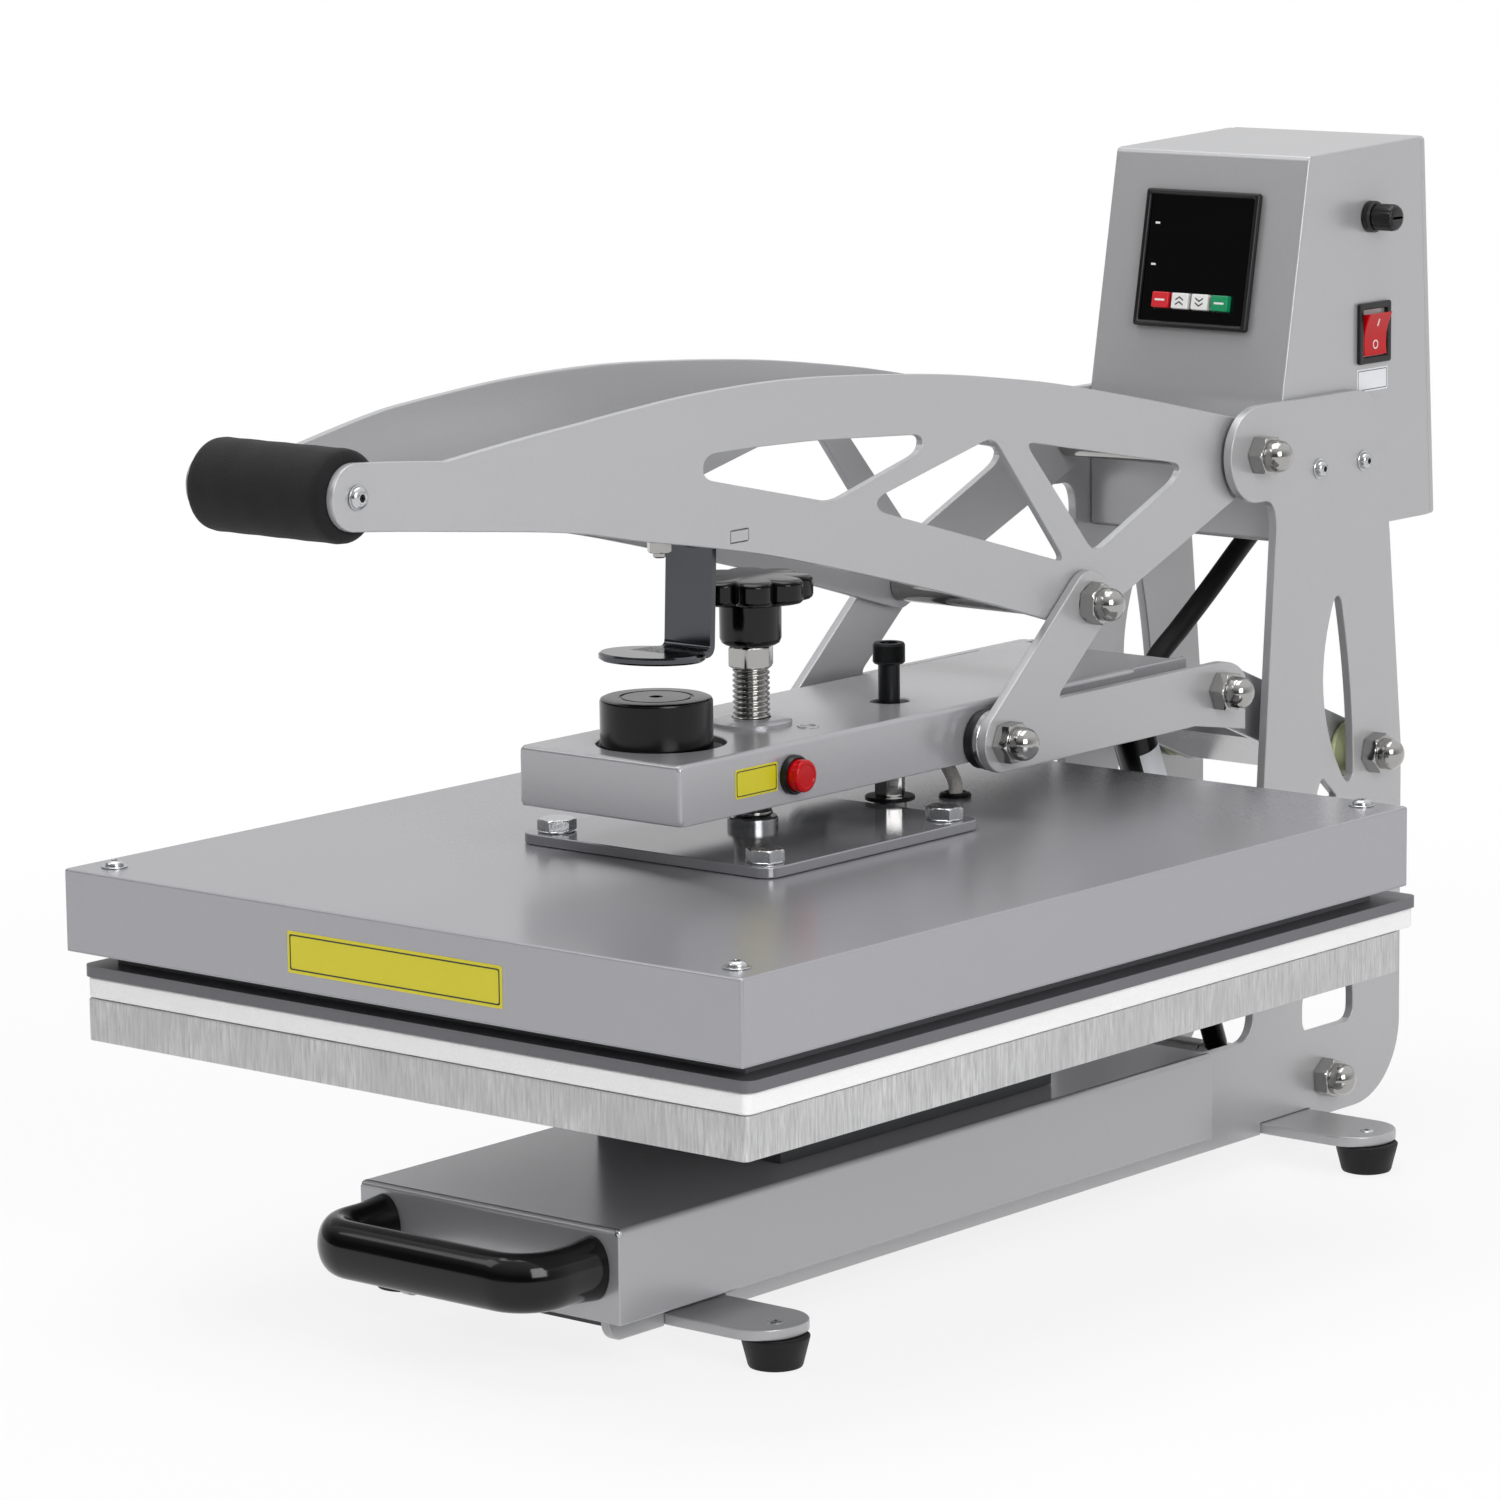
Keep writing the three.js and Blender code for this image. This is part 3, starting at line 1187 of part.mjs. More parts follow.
function controlBox() {
  const outer = sidePlate(boxOutline(0), -boxHalfWidth, boxHalfWidth, 4);
  const inner = sidePlate(boxOutline(boxWall), -boxHalfWidth + boxWall, boxHalfWidth - boxWall, 4);
  const rearMouth = placeOnRear(new THREE.BoxGeometry(
    (boxHalfWidth - boxWall) * 2, rearFaceLength() - boxWall * 2, overrun * 2), 0);
  const panel = placeOnFace(new THREE.BoxGeometry(controllerBodySize + seatGap * 2,
    controllerBodySize + seatGap * 2, overrun * 3), 0);
  const switchHole = block(boxHalfWidth - overrun, boxHalfWidth + overrun,
    switchY - switchWidth / 2 + switchBorder / 2, switchY + switchWidth / 2 - switchBorder / 2,
    switchZ - switchHeight / 2 + switchBorder / 2, switchZ + switchHeight / 2 - switchBorder / 2);
  const fuseHole = rodX(fuseBodyRadius + seatGap, boxHalfWidth - overrun, boxHalfWidth + overrun, fuseY, fuseZ);
  return piece('control_box', cut(outer, [inner, rearMouth, panel, switchHole, fuseHole]), paint);
}

// Places a geometry whose Z looks out of the sloping front face, at the controller's middle
function placeOnFace(geometry, out, across = 0, up = 0) {
  const middleY = boxFrontY + Math.tan(faceTilt) * bezelRise;
  geometry.translate(across, up, out);
  geometry.rotateX(Math.PI / 2 - faceTilt);
  geometry.translate(0, middleY, boxKinkZ + bezelRise);
  return solidOf(geometry);
}

// Places a geometry whose Z looks out of the rear face, at that face's middle
function rearFaceLength() {
  return Math.hypot(boxRearTopZ - boxBottomZ, boxRearBottomY - boxRearTopY);
}

function placeOnRear(geometry, out, up = 0) {
  geometry.translate(0, up, out);
  geometry.rotateY(Math.PI);
  geometry.rotateX(Math.PI / 2 + rearTilt - Math.PI);
  geometry.rotateX(Math.PI);
  geometry.translate(0, (boxRearBottomY + boxRearTopY) / 2, (boxRearTopZ + boxBottomZ) / 2);
  return solidOf(geometry);
}

function rearCover() {
  const width = (boxHalfWidth - boxWall - seatGap) * 2;
  const height = rearFaceLength() - (boxWall + seatGap) * 2 - boxCornerRadius;
  const up = -rearFaceLength() / 2 + inletRise;
  const plate = placeOnRear(new THREE.BoxGeometry(width, height, rearCoverThickness),
    -rearCoverInset - rearCoverThickness / 2);
  const hole = placeOnRear(new THREE.BoxGeometry(inletWidth - inletBodyMargin, inletHeight - inletBodyMargin,
    overrun * 2), 0, up);
  return piece('control_box_rear_cover', cut(plate, [hole]), darkPaint);
}

function powerInlet() {
  const up = -rearFaceLength() / 2 + inletRise;
  const face = -rearCoverInset + seatGap;
  const bodyMargin = inletBodyMargin + seatGap * 2;
  const flange = placeOnRear(new THREE.BoxGeometry(inletWidth, inletHeight, inletFlange),
    face + inletFlange / 2, up);
  const body = placeOnRear(new THREE.BoxGeometry(inletWidth - bodyMargin, inletHeight - bodyMargin,
    inletDepth), face + seatGap - inletDepth / 2, up);
  const socket = placeOnRear(new THREE.BoxGeometry(inletWidth - inletSocketMargin * 2 - bodyMargin / 2,
    inletHeight - inletSocketMargin * 2 - bodyMargin / 2, inletSocketDepth * 2), 0, up);
  return piece('power_inlet', cut(joined([flange, body]), [socket]), blackPlastic);
}

function keyPlaces() {
  const up = keyRowRise - bezelSize / 2;
  return [-1.5, -0.5, 0.5, 1.5].map((step) => [step * keyPitch, up]);
}

function controller() {
  const bezelShape = roundedRectangle(bezelSize, bezelSize, bezelRadius);
  const bezelGeometry = new THREE.ExtrudeGeometry(bezelShape, {
    depth: bezelThickness, bevelEnabled: false, curveSegments: 4 });
  const bezel = placeOnFace(bezelGeometry, seatGap);
  const body = placeOnFace(new THREE.BoxGeometry(controllerBodySize, controllerBodySize, controllerBodyDepth),
    seatGap * 2 - controllerBodyDepth / 2);
  const pockets = keyPlaces().map(([across, up]) => placeOnFace(new THREE.BoxGeometry(
    keyWidth + keyPlay * 2, keyHeight + keyPlay * 2, keyPocketDepth * 2),
  seatGap + bezelThickness, across, up));
  return piece('controller', cut(joined([bezel, body]), pockets), blackPlastic);
}

function controllerKeys() {
  const names = ['key_power', 'key_down', 'key_up', 'key_set'];
  const colours = [redPlastic, whitePlastic, whitePlastic, greenPlastic];
  const out = seatGap + bezelThickness + keyProud - keyDepth / 2;
  return keyPlaces().map(([across, up], index) => piece(names[index],
    placeOnFace(new THREE.BoxGeometry(keyWidth, keyHeight, keyDepth), out, across, up), colours[index]));
}

function switchPieces() {
  const x0 = boxHalfWidth + seatGap;
  const halfWidth = switchWidth / 2;
  const halfHeight = switchHeight / 2;
  const bodyBorder = switchBorder / 2 + seatGap;
  const flange = block(x0, x0 + switchFlange, switchY - halfWidth, switchY + halfWidth,
    switchZ - halfHeight, switchZ + halfHeight);
  const body = block(x0 - switchBodyDepth, x0 + seatGap, switchY - halfWidth + bodyBorder,
    switchY + halfWidth - bodyBorder, switchZ - halfHeight + bodyBorder, switchZ + halfHeight - bodyBorder);
  const mouth = block(x0 - switchBodyDepth + boxWall, x0 + switchFlange + overrun,
    switchY - halfWidth + switchBorder, switchY + halfWidth - switchBorder,
    switchZ - halfHeight + switchBorder, switchZ + halfHeight - switchBorder);
  const frame = piece('switch_frame', cut(joined([flange, body]), [mouth]), blackPlastic);
  return [frame, rocker(x0)];
}

// Rocker: two facets that meet at the middle, tilted so that its lower facet is pressed flat
function rocker(x0) {
  const reachY = switchWidth / 2 - switchBorder - rockerPlay;
  const reachZ = switchHeight / 2 - switchBorder - rockerPlay * 2;
  const rise = Math.tan(rockerTilt) * reachZ;
  const outline = [[-reachZ, switchFlange + rise], [0, switchFlange], [reachZ, switchFlange + rise],
    [reachZ * 0.8, -rockerDepth / 2], [0, -rockerDepth], [-reachZ * 0.8, -rockerDepth / 2]];
  const shape = new THREE.Shape(outline.map((place) => new THREE.Vector2(...place)));
  const geometry = new THREE.ExtrudeGeometry(shape, { depth: reachY * 2, bevelEnabled: false });
  geometry.translate(0, 0, -reachY);
  geometry.applyMatrix4(new THREE.Matrix4().makeBasis(
    new THREE.Vector3(0, 0, 1), new THREE.Vector3(1, 0, 0), new THREE.Vector3(0, 1, 0)));
  const mesh = piece('rocker', solidOf(geometry), redPlastic);
  mesh.position.set(x0, switchY, switchZ);
  mesh.rotation.set(0, rockerTilt, 0);
  return mesh;
}

function fusePieces() {
  const x0 = boxHalfWidth + seatGap;
  const capX = x0 + fuseCollarLength + seatGap;
  const holder = joined([
    rodX(fuseCollarRadius, x0, x0 + fuseCollarLength, fuseY, fuseZ),
    rodX(fuseBodyRadius, x0 - fuseBodyLength, x0 + seatGap, fuseY, fuseZ),
  ]);
  const tipX = capX + fuseCapLength;
  const slot = block(tipX - fuseSlotDepth, tipX + overrun, fuseY - fuseCapRadius * 2, fuseY + fuseCapRadius * 2,
    fuseZ - fuseSlotWidth / 2, fuseZ + fuseSlotWidth / 2);
  const cap = cut(rodX(fuseCapRadius, capX, tipX, fuseY, fuseZ), [slot]);
  return [piece('fuse_holder', holder, blackPlastic), piece('fuse_cap', cap, blackPlastic)];
}

// Assembly, moved so that the origin lies under the middle of the press
function heatPress() {
  const press = new THREE.Group();
  press.add(
    framePlate('side_plate_right', 1), framePlate('side_plate_left', -1), floorPlate(),
    footBar('foot_bar_front', frontFootX, frontBarY), footBar('foot_bar_rear', rearFootX, rearBarY),
  );
  [['front', frontFootX, frontBarY], ['rear', rearFootX, rearBarY]].forEach(([end, x, y]) => {
    press.add(foot(`foot_${end}_right`, x, y - footSetback), foot(`foot_${end}_left`, -x, y - footSetback));
  });
  press.add(...railPair(1), ...railPair(-1), drawerCover(), pullHandle(), platenRiser());
  press.add(lowerPlaten(), pressPad(), heatPlate(), platenCover(), pressurePlate(), guideScrew(), platenCable());
  press.add(beam(), electromagnet(), ...stopButtonPieces(), hoseGland(), wiringHose());
  press.add(pressureSpindle(), starKnob());
  press.add(togglePlate('toggle_plate_right', 1), togglePlate('toggle_plate_left', -1));
  press.add(armPlate('arm_right', 1), armPlate('arm_left', -1), gripSleeve(), gripBar(), catchBracket());
  press.add(...shafts(), hingeRoller('hinge_roller_right', 1), hingeRoller('hinge_roller_left', -1));
  press.add(springTube(), springRod());
  press.add(controlBox(), rearCover(), powerInlet(), controller(), ...controllerKeys());
  press.add(...switchPieces(), ...fusePieces());
  const frontEnd = gripY - gripRadius;
  press.position.set(0, -(frontEnd + boxRearBottomY) / 2, 0);
  return press;
}

export default heatPress();
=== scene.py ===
"""Auto-open heat press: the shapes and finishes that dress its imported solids."""

import logging
from dataclasses import dataclass, field
from enum import Enum
from functools import partial
from math import asin, atan2, cos, dist, hypot, pi, radians, sin, sqrt, tan, tau
from typing import Callable, Iterable, Optional, Sequence

import bmesh
import bpy
from mathutils import Matrix, Vector
from mathutils.geometry import tessellate_polygon


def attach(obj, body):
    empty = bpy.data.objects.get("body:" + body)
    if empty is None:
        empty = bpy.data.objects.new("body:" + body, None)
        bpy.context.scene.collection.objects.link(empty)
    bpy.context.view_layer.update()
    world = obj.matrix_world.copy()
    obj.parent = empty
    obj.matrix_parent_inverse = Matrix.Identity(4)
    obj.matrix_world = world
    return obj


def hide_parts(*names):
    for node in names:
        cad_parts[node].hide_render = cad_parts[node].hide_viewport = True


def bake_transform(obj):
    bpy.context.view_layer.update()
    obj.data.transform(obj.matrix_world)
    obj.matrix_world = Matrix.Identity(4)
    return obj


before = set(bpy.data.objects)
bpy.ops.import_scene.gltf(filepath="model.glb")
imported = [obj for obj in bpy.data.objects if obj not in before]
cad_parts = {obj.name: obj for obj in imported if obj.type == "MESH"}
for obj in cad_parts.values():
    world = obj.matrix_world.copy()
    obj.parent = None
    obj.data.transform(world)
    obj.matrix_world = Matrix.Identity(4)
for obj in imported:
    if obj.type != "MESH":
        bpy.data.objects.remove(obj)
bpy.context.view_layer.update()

log = logging.getLogger("heat_press")

MM = 0.001
# The press is drawn with Y = 0 at the middle of the heating plate, and the frame has Y = 0 at the
# middle of the whole press.
REAR_SHIFT_MM = -67.75
IMAGE_SIDE_PX = 1500
SIDES = (1, -1)
HALF_TURN = pi
QUARTER = pi / 2

Point = tuple[float, float]
Rgba = tuple[float, float, float, float]


class Axis(Enum):
    """A direction of the press: X to the right, Y to the back, Z up."""

    X = (1.0, 0.0, 0.0)
    Y = (0.0, 1.0, 0.0)
    Z = (0.0, 0.0, 1.0)
    MINUS_Z = (0.0, 0.0, -1.0)


class Plane(Enum):
    """The plane that an outline is drawn in: its two directions and its normal."""

    SIDE = ((0, 1, 0), (0, 0, 1), (1, 0, 0))
    PLAN = ((1, 0, 0), (0, 1, 0), (0, 0, 1))
    FRONT = ((1, 0, 0), (0, 0, 1), (0, -1, 0))

    def place(self, u: float, v: float, w: float) -> Vector:
        """Returns the point at u, v in the plane and w along its normal."""
        along, up, out = (Vector(direction) for direction in self.value)
        return along * u + up * v + out * w


class Grain(Enum):
    """How the fine pattern of a surface is laid."""

    CLOUD = "cloud"
    CELLS = "cells"
    BRUSHED = "brushed"


# Finishes


def linear(code: str) -> Rgba:
    """Turns an sRGB hex colour into the linear colour that the shader takes.

    Args:
        code: Six hex digits after a hash.

    Returns:
        Red, green, blue and an alpha of 1.
    """
    parts = [int(code[i : i + 2], 16) / 255 for i in (1, 3, 5)]
    light = [c / 12.92 if c <= 0.04045 else ((c + 0.055) / 1.055) ** 2.4 for c in parts]
    return (light[0], light[1], light[2], 1.0)


def add_node(tree: bpy.types.NodeTree, kind: str, links: Optional[dict] = None,
             values: Optional[dict] = None, **settings: object) -> bpy.types.Node:
    """Adds a node with its settings, socket values and links.

    Args:
        tree: The node tree it goes into.
        kind: The node's type, without the ShaderNode that starts it.
        links: Input socket to the output socket that feeds it.
        values: Input socket to the value it holds.
        settings: Properties of the node itself.

    Returns:
        The new node.
    """
    node = tree.nodes.new(f"ShaderNode{kind}")
    for name, value in settings.items():
        setattr(node, name, value)
    for socket, value in (values or {}).items():
        node.inputs[socket].default_value = value
    for socket, source in (links or {}).items():
        tree.links.new(source, node.inputs[socket])
    return node


def bare_tree(owner: bpy.types.Material | bpy.types.World) -> bpy.types.NodeTree:
    """Returns the emptied node tree of a material or a world."""
    owner.use_nodes = True
    owner.node_tree.nodes.clear()
    return owner.node_tree


@dataclass(frozen=True)
class Finish:
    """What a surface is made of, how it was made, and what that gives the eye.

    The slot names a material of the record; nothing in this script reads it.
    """

    name: str
    colour: str
    roughness: float
    slot: str = ""
    metallic: float = 0.0
    ior: float = 1.5
    specular: float = 0.5
    sheen: float = 0.0
    subsurface: float = 0.0
    grain: Grain = Grain.CLOUD
    grain_mm: float = 1.0
    stretch: tuple[float, float, float] = (1.0, 1.0, 1.0)
    depth_mm: float = 0.01
    tint: float = 0.04
    swing: float = 0.05
    smear_mm: float = 70.0
    smear: float = 0.05

    def material(self) -> bpy.types.Material:
        """Returns this finish as a material, made once."""
        name = f"{self.name}_finish"
        known = bpy.data.materials.get(name)
        if known is not None:
            return known
        made = bpy.data.materials.new(name)
        tree = bare_tree(made)
        place = add_node(tree, "TexCoord").outputs["Object"]
        fine = self.pattern(tree, place)
        broad = add_node(tree, "TexNoise", {"Vector": place}, {
            "Scale": 1 / (self.smear_mm * MM), "Detail": 3.0, "Roughness": 0.55}).outputs["Fac"]
        marked = add_node(tree, "MapRange", {"Value": fine},
                          {"From Min": 0.3, "From Max": 0.7}).outputs[0]
        colour = add_node(tree, "Mix", {0: marked}, {
            6: self.shade(1 - self.tint), 7: self.shade(1 + self.tint)},
            data_type="RGBA").outputs[2]
        colour = add_node(tree, "Mix", {0: broad, 6: colour},
                          {7: self.shade(1 - self.tint / 2)}, data_type="RGBA").outputs[2]
        rough = add_node(tree, "MapRange", {"Value": fine}, {
            "To Min": self.roughness - self.swing,
            "To Max": self.roughness + self.swing}).outputs[0]
        smeared = add_node(tree, "MapRange", {"Value": broad}, {
            "From Min": 0.3, "From Max": 0.7,
            "To Min": -self.smear, "To Max": self.smear}).outputs[0]
        rough = add_node(tree, "Math", {0: rough, 1: smeared}, operation="ADD",
                         use_clamp=True).outputs[0]
        bump = add_node(tree, "Bump", {"Height": fine},
                        {"Strength": 1.0, "Distance": self.depth_mm * MM}).outputs["Normal"]
        shader = add_node(
            tree, "BsdfPrincipled", {"Base Color": colour, "Roughness": rough, "Normal": bump},
            {"Metallic": self.metallic, "IOR": self.ior, "Specular IOR Level": self.specular,
             "Sheen Weight": self.sheen, "Subsurface Weight": self.subsurface})
        if self.subsurface:
            shader.inputs["Subsurface Radius"].default_value = (2.0, 2.0, 2.0)
            shader.inputs["Subsurface Scale"].default_value = MM
        add_node(tree, "OutputMaterial", {"Surface": shader.outputs[0]})
        return made

    def pattern(self, tree: bpy.types.NodeTree, place: bpy.types.NodeSocket) -> bpy.types.NodeSocket:
        """Adds the fine pattern of the surface.

        Args:
            tree: The material's nodes.
            place: The object's own coordinates, in metres.

        Returns:
            The pattern as a value from 0 to 1.
        """
        laid = add_node(tree, "Mapping", {"Vector": place}, {"Scale": self.stretch}).outputs[0]
        scale = 1 / (self.grain_mm * MM)
        if self.grain is Grain.CELLS:
            cells = add_node(tree, "TexVoronoi", {"Vector": laid}, {"Scale": scale})
            return cells.outputs["Distance"]
        detail = 5.0 if self.grain is Grain.BRUSHED else 2.0
        noise = add_node(tree, "TexNoise", {"Vector": laid},
                         {"Scale": scale, "Detail": detail, "Roughness": 0.6})
        return noise.outputs["Fac"]

    def shade(self, share: float) -> Rgba:
        """Returns the colour made lighter or darker by a share."""
        red, green, blue, _ = linear(self.colour)
        return (min(red * share, 1.0), min(green * share, 1.0), min(blue * share, 1.0), 1.0)


# Polyester powder coat with silver flake: fused powder leaves a faint orange peel about 2 mm
# across, drawn that coarse so that it shows, and a soft gloss that mirrors bright things.
SILVER_POWDER = Finish(
    "silver_powder_coat", "#b4b4b6", 0.31, slot="grey_powder_coat",
    metallic=0.4, grain_mm=1.4, depth_mm=0.004,
    tint=0.03, swing=0.02, smear_mm=160, smear=0.02,
)
# The same powder on the top of the platen, where heat and wiping have left it glossier.
SILVER_POWDER_GLOSS = Finish(
    "silver_powder_coat_wiped", "#a4a4a8", 0.24, slot="grey_powder_coat",
    metallic=0.45, grain_mm=1.4, depth_mm=0.0025,
    tint=0.025, swing=0.015, smear_mm=220, smear=0.02,
)
# The same powder on the beam, sprayed thicker and glossier.
SILVER_POWDER_DEEP = Finish(
    "silver_powder_coat_thick", "#b0b0b3", 0.23, slot="grey_powder_coat",
    metallic=0.42, grain_mm=1.4, depth_mm=0.003,
    tint=0.025, swing=0.015, smear_mm=200, smear=0.02,
)
# The powder of the pressure plate, polished by years of fingers and nuts; its grey is set darker as
# painted shade and a painted reflection of the dark beam above it.
SILVER_POWDER_POLISHED_PAINTED_SHADE = Finish(
    "silver_powder_coat_polished_painted_shade", "#96969a", 0.12, slot="machined_steel",
    metallic=0.55, grain_mm=2.0, depth_mm=0.001,
    tint=0.02, swing=0.01, smear_mm=80, smear=0.015,
)
# Darker powder on hidden pressed steel.
DARK_POWDER = Finish(
    "dark_powder_coat", "#3b3c3e", 0.4, slot="dark_powder_coat",
    metallic=0.2, grain_mm=1.9, depth_mm=0.006, tint=0.05,
)
# Bright nickel plate on turned nuts: mirror-like with faint polishing lines.
NICKEL = Finish(
    "nickel_plated_steel", "#a9a8a6", 0.14, slot="plated_steel",
    metallic=1.0, grain=Grain.BRUSHED, grain_mm=3.0,
    stretch=(6.0, 1.0, 1.0), depth_mm=0.004, tint=0.05, swing=0.05, smear_mm=14, smear=0.06,
)
# Clear zinc plate on screws and hex heads: a little duller and bluer than nickel.
ZINC = Finish(
    "zinc_plated_steel", "#c4c5c7", 0.24, slot="machined_steel",
    metallic=1.0, grain_mm=0.8, depth_mm=0.006,
    tint=0.08, swing=0.07, smear_mm=10, smear=0.07,
)
# Rolled strip with zinc plate: long fine draw lines down the strip.
ZINC_STRIP = Finish(
    "zinc_plated_strip", "#b4b4b5", 0.26, metallic=1.0, grain=Grain.BRUSHED, grain_mm=0.5,
    stretch=(1.0, 1.0, 0.03), depth_mm=0.006, tint=0.1, swing=0.08, smear_mm=25, smear=0.08,
)
# Bent steel strap under bright nickel, with a faint haze from handling; its near-black grey is a
# painted dark reflection of what the mirror faces.
NICKEL_STRAP_PAINTED_DARK_REFLECTION = Finish(
    "nickel_plated_strap_painted_dark_reflection", "#545559", 0.17, slot="plated_steel",
    metallic=1.0, grain_mm=6.0, depth_mm=0.002,
    tint=0.03, swing=0.02, smear_mm=60, smear=0.03,
)
# Aluminium plate with a sawn and brushed edge: upright scratches about 0.5 mm apart.
BRUSHED_ALUMINIUM = Finish(
    "brushed_aluminium_plate", "#c9c9ca", 0.42, slot="brushed_aluminium",
    metallic=0.6, grain=Grain.BRUSHED, grain_mm=1.1,
    stretch=(1.0, 1.0, 0.09), depth_mm=0.07, tint=0.42, swing=0.2, smear_mm=40, smear=0.05,
)
# Aluminium heating plate with a dark baked coating.
COATED_ALUMINIUM = Finish(
    "coated_aluminium", "#6a6a6e", 0.45, metallic=0.2, grain_mm=0.8, depth_mm=0.01, tint=0.06,
)
# Silicone sponge sheet with a sawn edge: open pores about 0.7 mm across.
SILICONE = Finish(
    "white_silicone_sponge", "#f2f2f2", 0.72, slot="white_silicone",
    grain=Grain.CELLS, grain_mm=0.9, depth_mm=0.12,
    tint=0.025, swing=0.06, sheen=0.1, subsurface=0.15,
)
# Nitrile foam sleeve: closed cells about 0.5 mm across, dry and dark.
FOAM = Finish(
    "black_nitrile_foam", "#161618", 0.88, slot="black_foam",
    specular=0.3, grain=Grain.CELLS, grain_mm=0.75,
    depth_mm=0.14, tint=0.3, swing=0.06, sheen=0.08, smear_mm=30,
)
# Glossy phenolic moulding of the pull and the star knob: a deep wet black.
PHENOLIC = Finish(
    "black_phenolic_moulding", "#050506", 0.12, slot="gloss_black_plastic",
    specular=0.35, grain_mm=5.0, depth_mm=0.006,
    tint=0.1, swing=0.02, smear_mm=25, smear=0.03,
)
# Gloss stove enamel on the magnet pot and the gas spring's tube.
ENAMEL = Finish(
    "black_stove_enamel", "#040405", 0.2, slot="gloss_black",
    specular=0.3, grain_mm=2.2, depth_mm=0.006,
    tint=0.1, swing=0.03, smear_mm=30, smear=0.04,
)
# ABS and nylon mouldings with a spark-eroded texture of about 0.2 mm, drawn at 0.4 mm.
BLACK_ABS = Finish(
    "black_abs_moulding", "#0a0a0b", 0.36, slot="black_plastic",
    ior=1.45, grain_mm=0.4, depth_mm=0.02, tint=0.1,
    smear_mm=20,
)
# Black oxide on a socket cap screw. The same dark finish is also painted shade in the cross recess of
# each pan head.
BLACK_OXIDE_AND_RECESS_SHADE = Finish(
    "black_oxide_steel_and_recess_shade", "#161719", 0.33, slot="gloss_black",
    metallic=0.6, grain_mm=0.6, depth_mm=0.01, tint=0.15,
    smear_mm=8,
)
# Moulded rubber of the feet and the hose: dull, with a dusty bloom.
RUBBER = Finish(
    "black_rubber", "#111112", 0.55, slot="black_rubber",
    specular=0.3, grain_mm=0.9, depth_mm=0.02, tint=0.18,
    smear_mm=14, smear=0.1,
)
# Smoked acrylic over the display.
ACRYLIC = Finish(
    "smoked_acrylic", "#030304", 0.07, ior=1.49, grain_mm=8.0, depth_mm=0.002, tint=0.05,
    swing=0.01, smear_mm=40, smear=0.02,
)
# Clear-tinted polycarbonate of the rocker and the stop button.
RED_LENS = Finish(
    "red_polycarbonate", "#bd000c", 0.12, slot="red_plastic",
    specular=0.25, grain_mm=2.0, depth_mm=0.005, tint=0.08,
    swing=0.02,
)
# Printed membrane over each key: a smooth film with a fine matt grain.
RED_KEY, WHITE_KEY, GREEN_KEY = (
    Finish(f"{hue}_key_membrane", colour, 0.35, slot=f"{hue}_plastic", grain_mm=0.5,
           depth_mm=0.006, tint=tint)
    for hue, colour, tint in (("red", "#d3202b", 0.03), ("white", "#e8e8e6", 0.02),
                              ("green", "#0c8f5c", 0.03)))
# Printed vinyl plates: flat colour under a clear film.
YELLOW_VINYL = Finish(
    "yellow_vinyl", "#d3c81e", 0.32, grain_mm=3.0, depth_mm=0.003, tint=0.02, smear=0.0,
)
WHITE_VINYL = Finish("white_vinyl", "#e6e8ec", 0.35, grain_mm=3.0, depth_mm=0.003, tint=0.02)
# Screen ink: a thin matt layer.
BLACK_INK = Finish("black_ink", "#1b1b1a", 0.4, grain_mm=1.0, depth_mm=0.002, tint=0.05)
WHITE_INK = Finish("white_ink", "#e4e4e4", 0.4, grain_mm=1.0, depth_mm=0.002, tint=0.03)
# Turned nylon roller: waxy, lets some light in.
NYLON = Finish(
    "natural_nylon", "#c3c99a", 0.4, slot="nylon", ior=1.53, grain_mm=1.5, depth_mm=0.01,
    tint=0.05, subsurface=0.2,
)
# Glass-fibre sleeve over the heater leads: a woven tube, weave about 1 mm.
GLASS_SLEEVE = Finish(
    "glass_fibre_sleeve", "#d8d6cf", 0.6, slot="white_plastic", grain=Grain.CELLS, grain_mm=1.3,
    depth_mm=0.15, tint=0.2, sheen=0.2,
)


# Outlines


def polar(centre: Point, radius: float, angle: float) -> Point:
    """Returns the point at a radius and an angle from a centre."""
    return (centre[0] + radius * cos(angle), centre[1] + radius * sin(angle))


class Outline:
    """A closed line in a plane, in millimetres, drawn from lines and curves."""

    def __init__(self, start: Point) -> None:
        """Starts the line at a point."""
        self.points: list[Point] = [start]

    def line(self, *places: Point) -> "Outline":
        """Draws straight to each place in turn and returns the outline."""
        self.points.extend(places)
        return self

    def arc(self, centre: Point, radius: float, start: float, end: float) -> "Outline":
        """Draws an arc.

        Args:
            centre: The arc's centre.
            radius: Its radius.
            start: The angle it starts at, in radians.
            end: The angle it ends at.

        Returns:
            The outline.
        """
        steps = max(3, int(abs(end - start) / radians(6)))
        for step in range(steps + 1):
            angle = start + (end - start) * step / steps
            self.points.append(polar(centre, radius, angle))
        return self

    def bend(self, control: Point, end: Point, steps: int = 10) -> "Outline":
        """Draws a curve that leaves and arrives along the lines to its control point.

        Args:
            control: The point that pulls the curve.
            end: Where it ends.
            steps: How many pieces it has.

        Returns:
            The outline.
        """
        start = self.points[-1]
        for step in range(1, steps + 1):
            t = step / steps
            self.points.append(tuple(
                (1 - t) ** 2 * a + 2 * t * (1 - t) * b + t * t * c
                for a, b, c in zip(start, control, end)))
        return self

    def closed(self) -> list[Point]:
        """Returns the points without repeats."""
        kept: list[Point] = []
        for place in self.points:
            if not kept or dist(place, kept[-1]) > 0.02:
                kept.append(place)
        while len(kept) > 3 and dist(kept[0], kept[-1]) <= 0.02:
            kept.pop()
        return kept


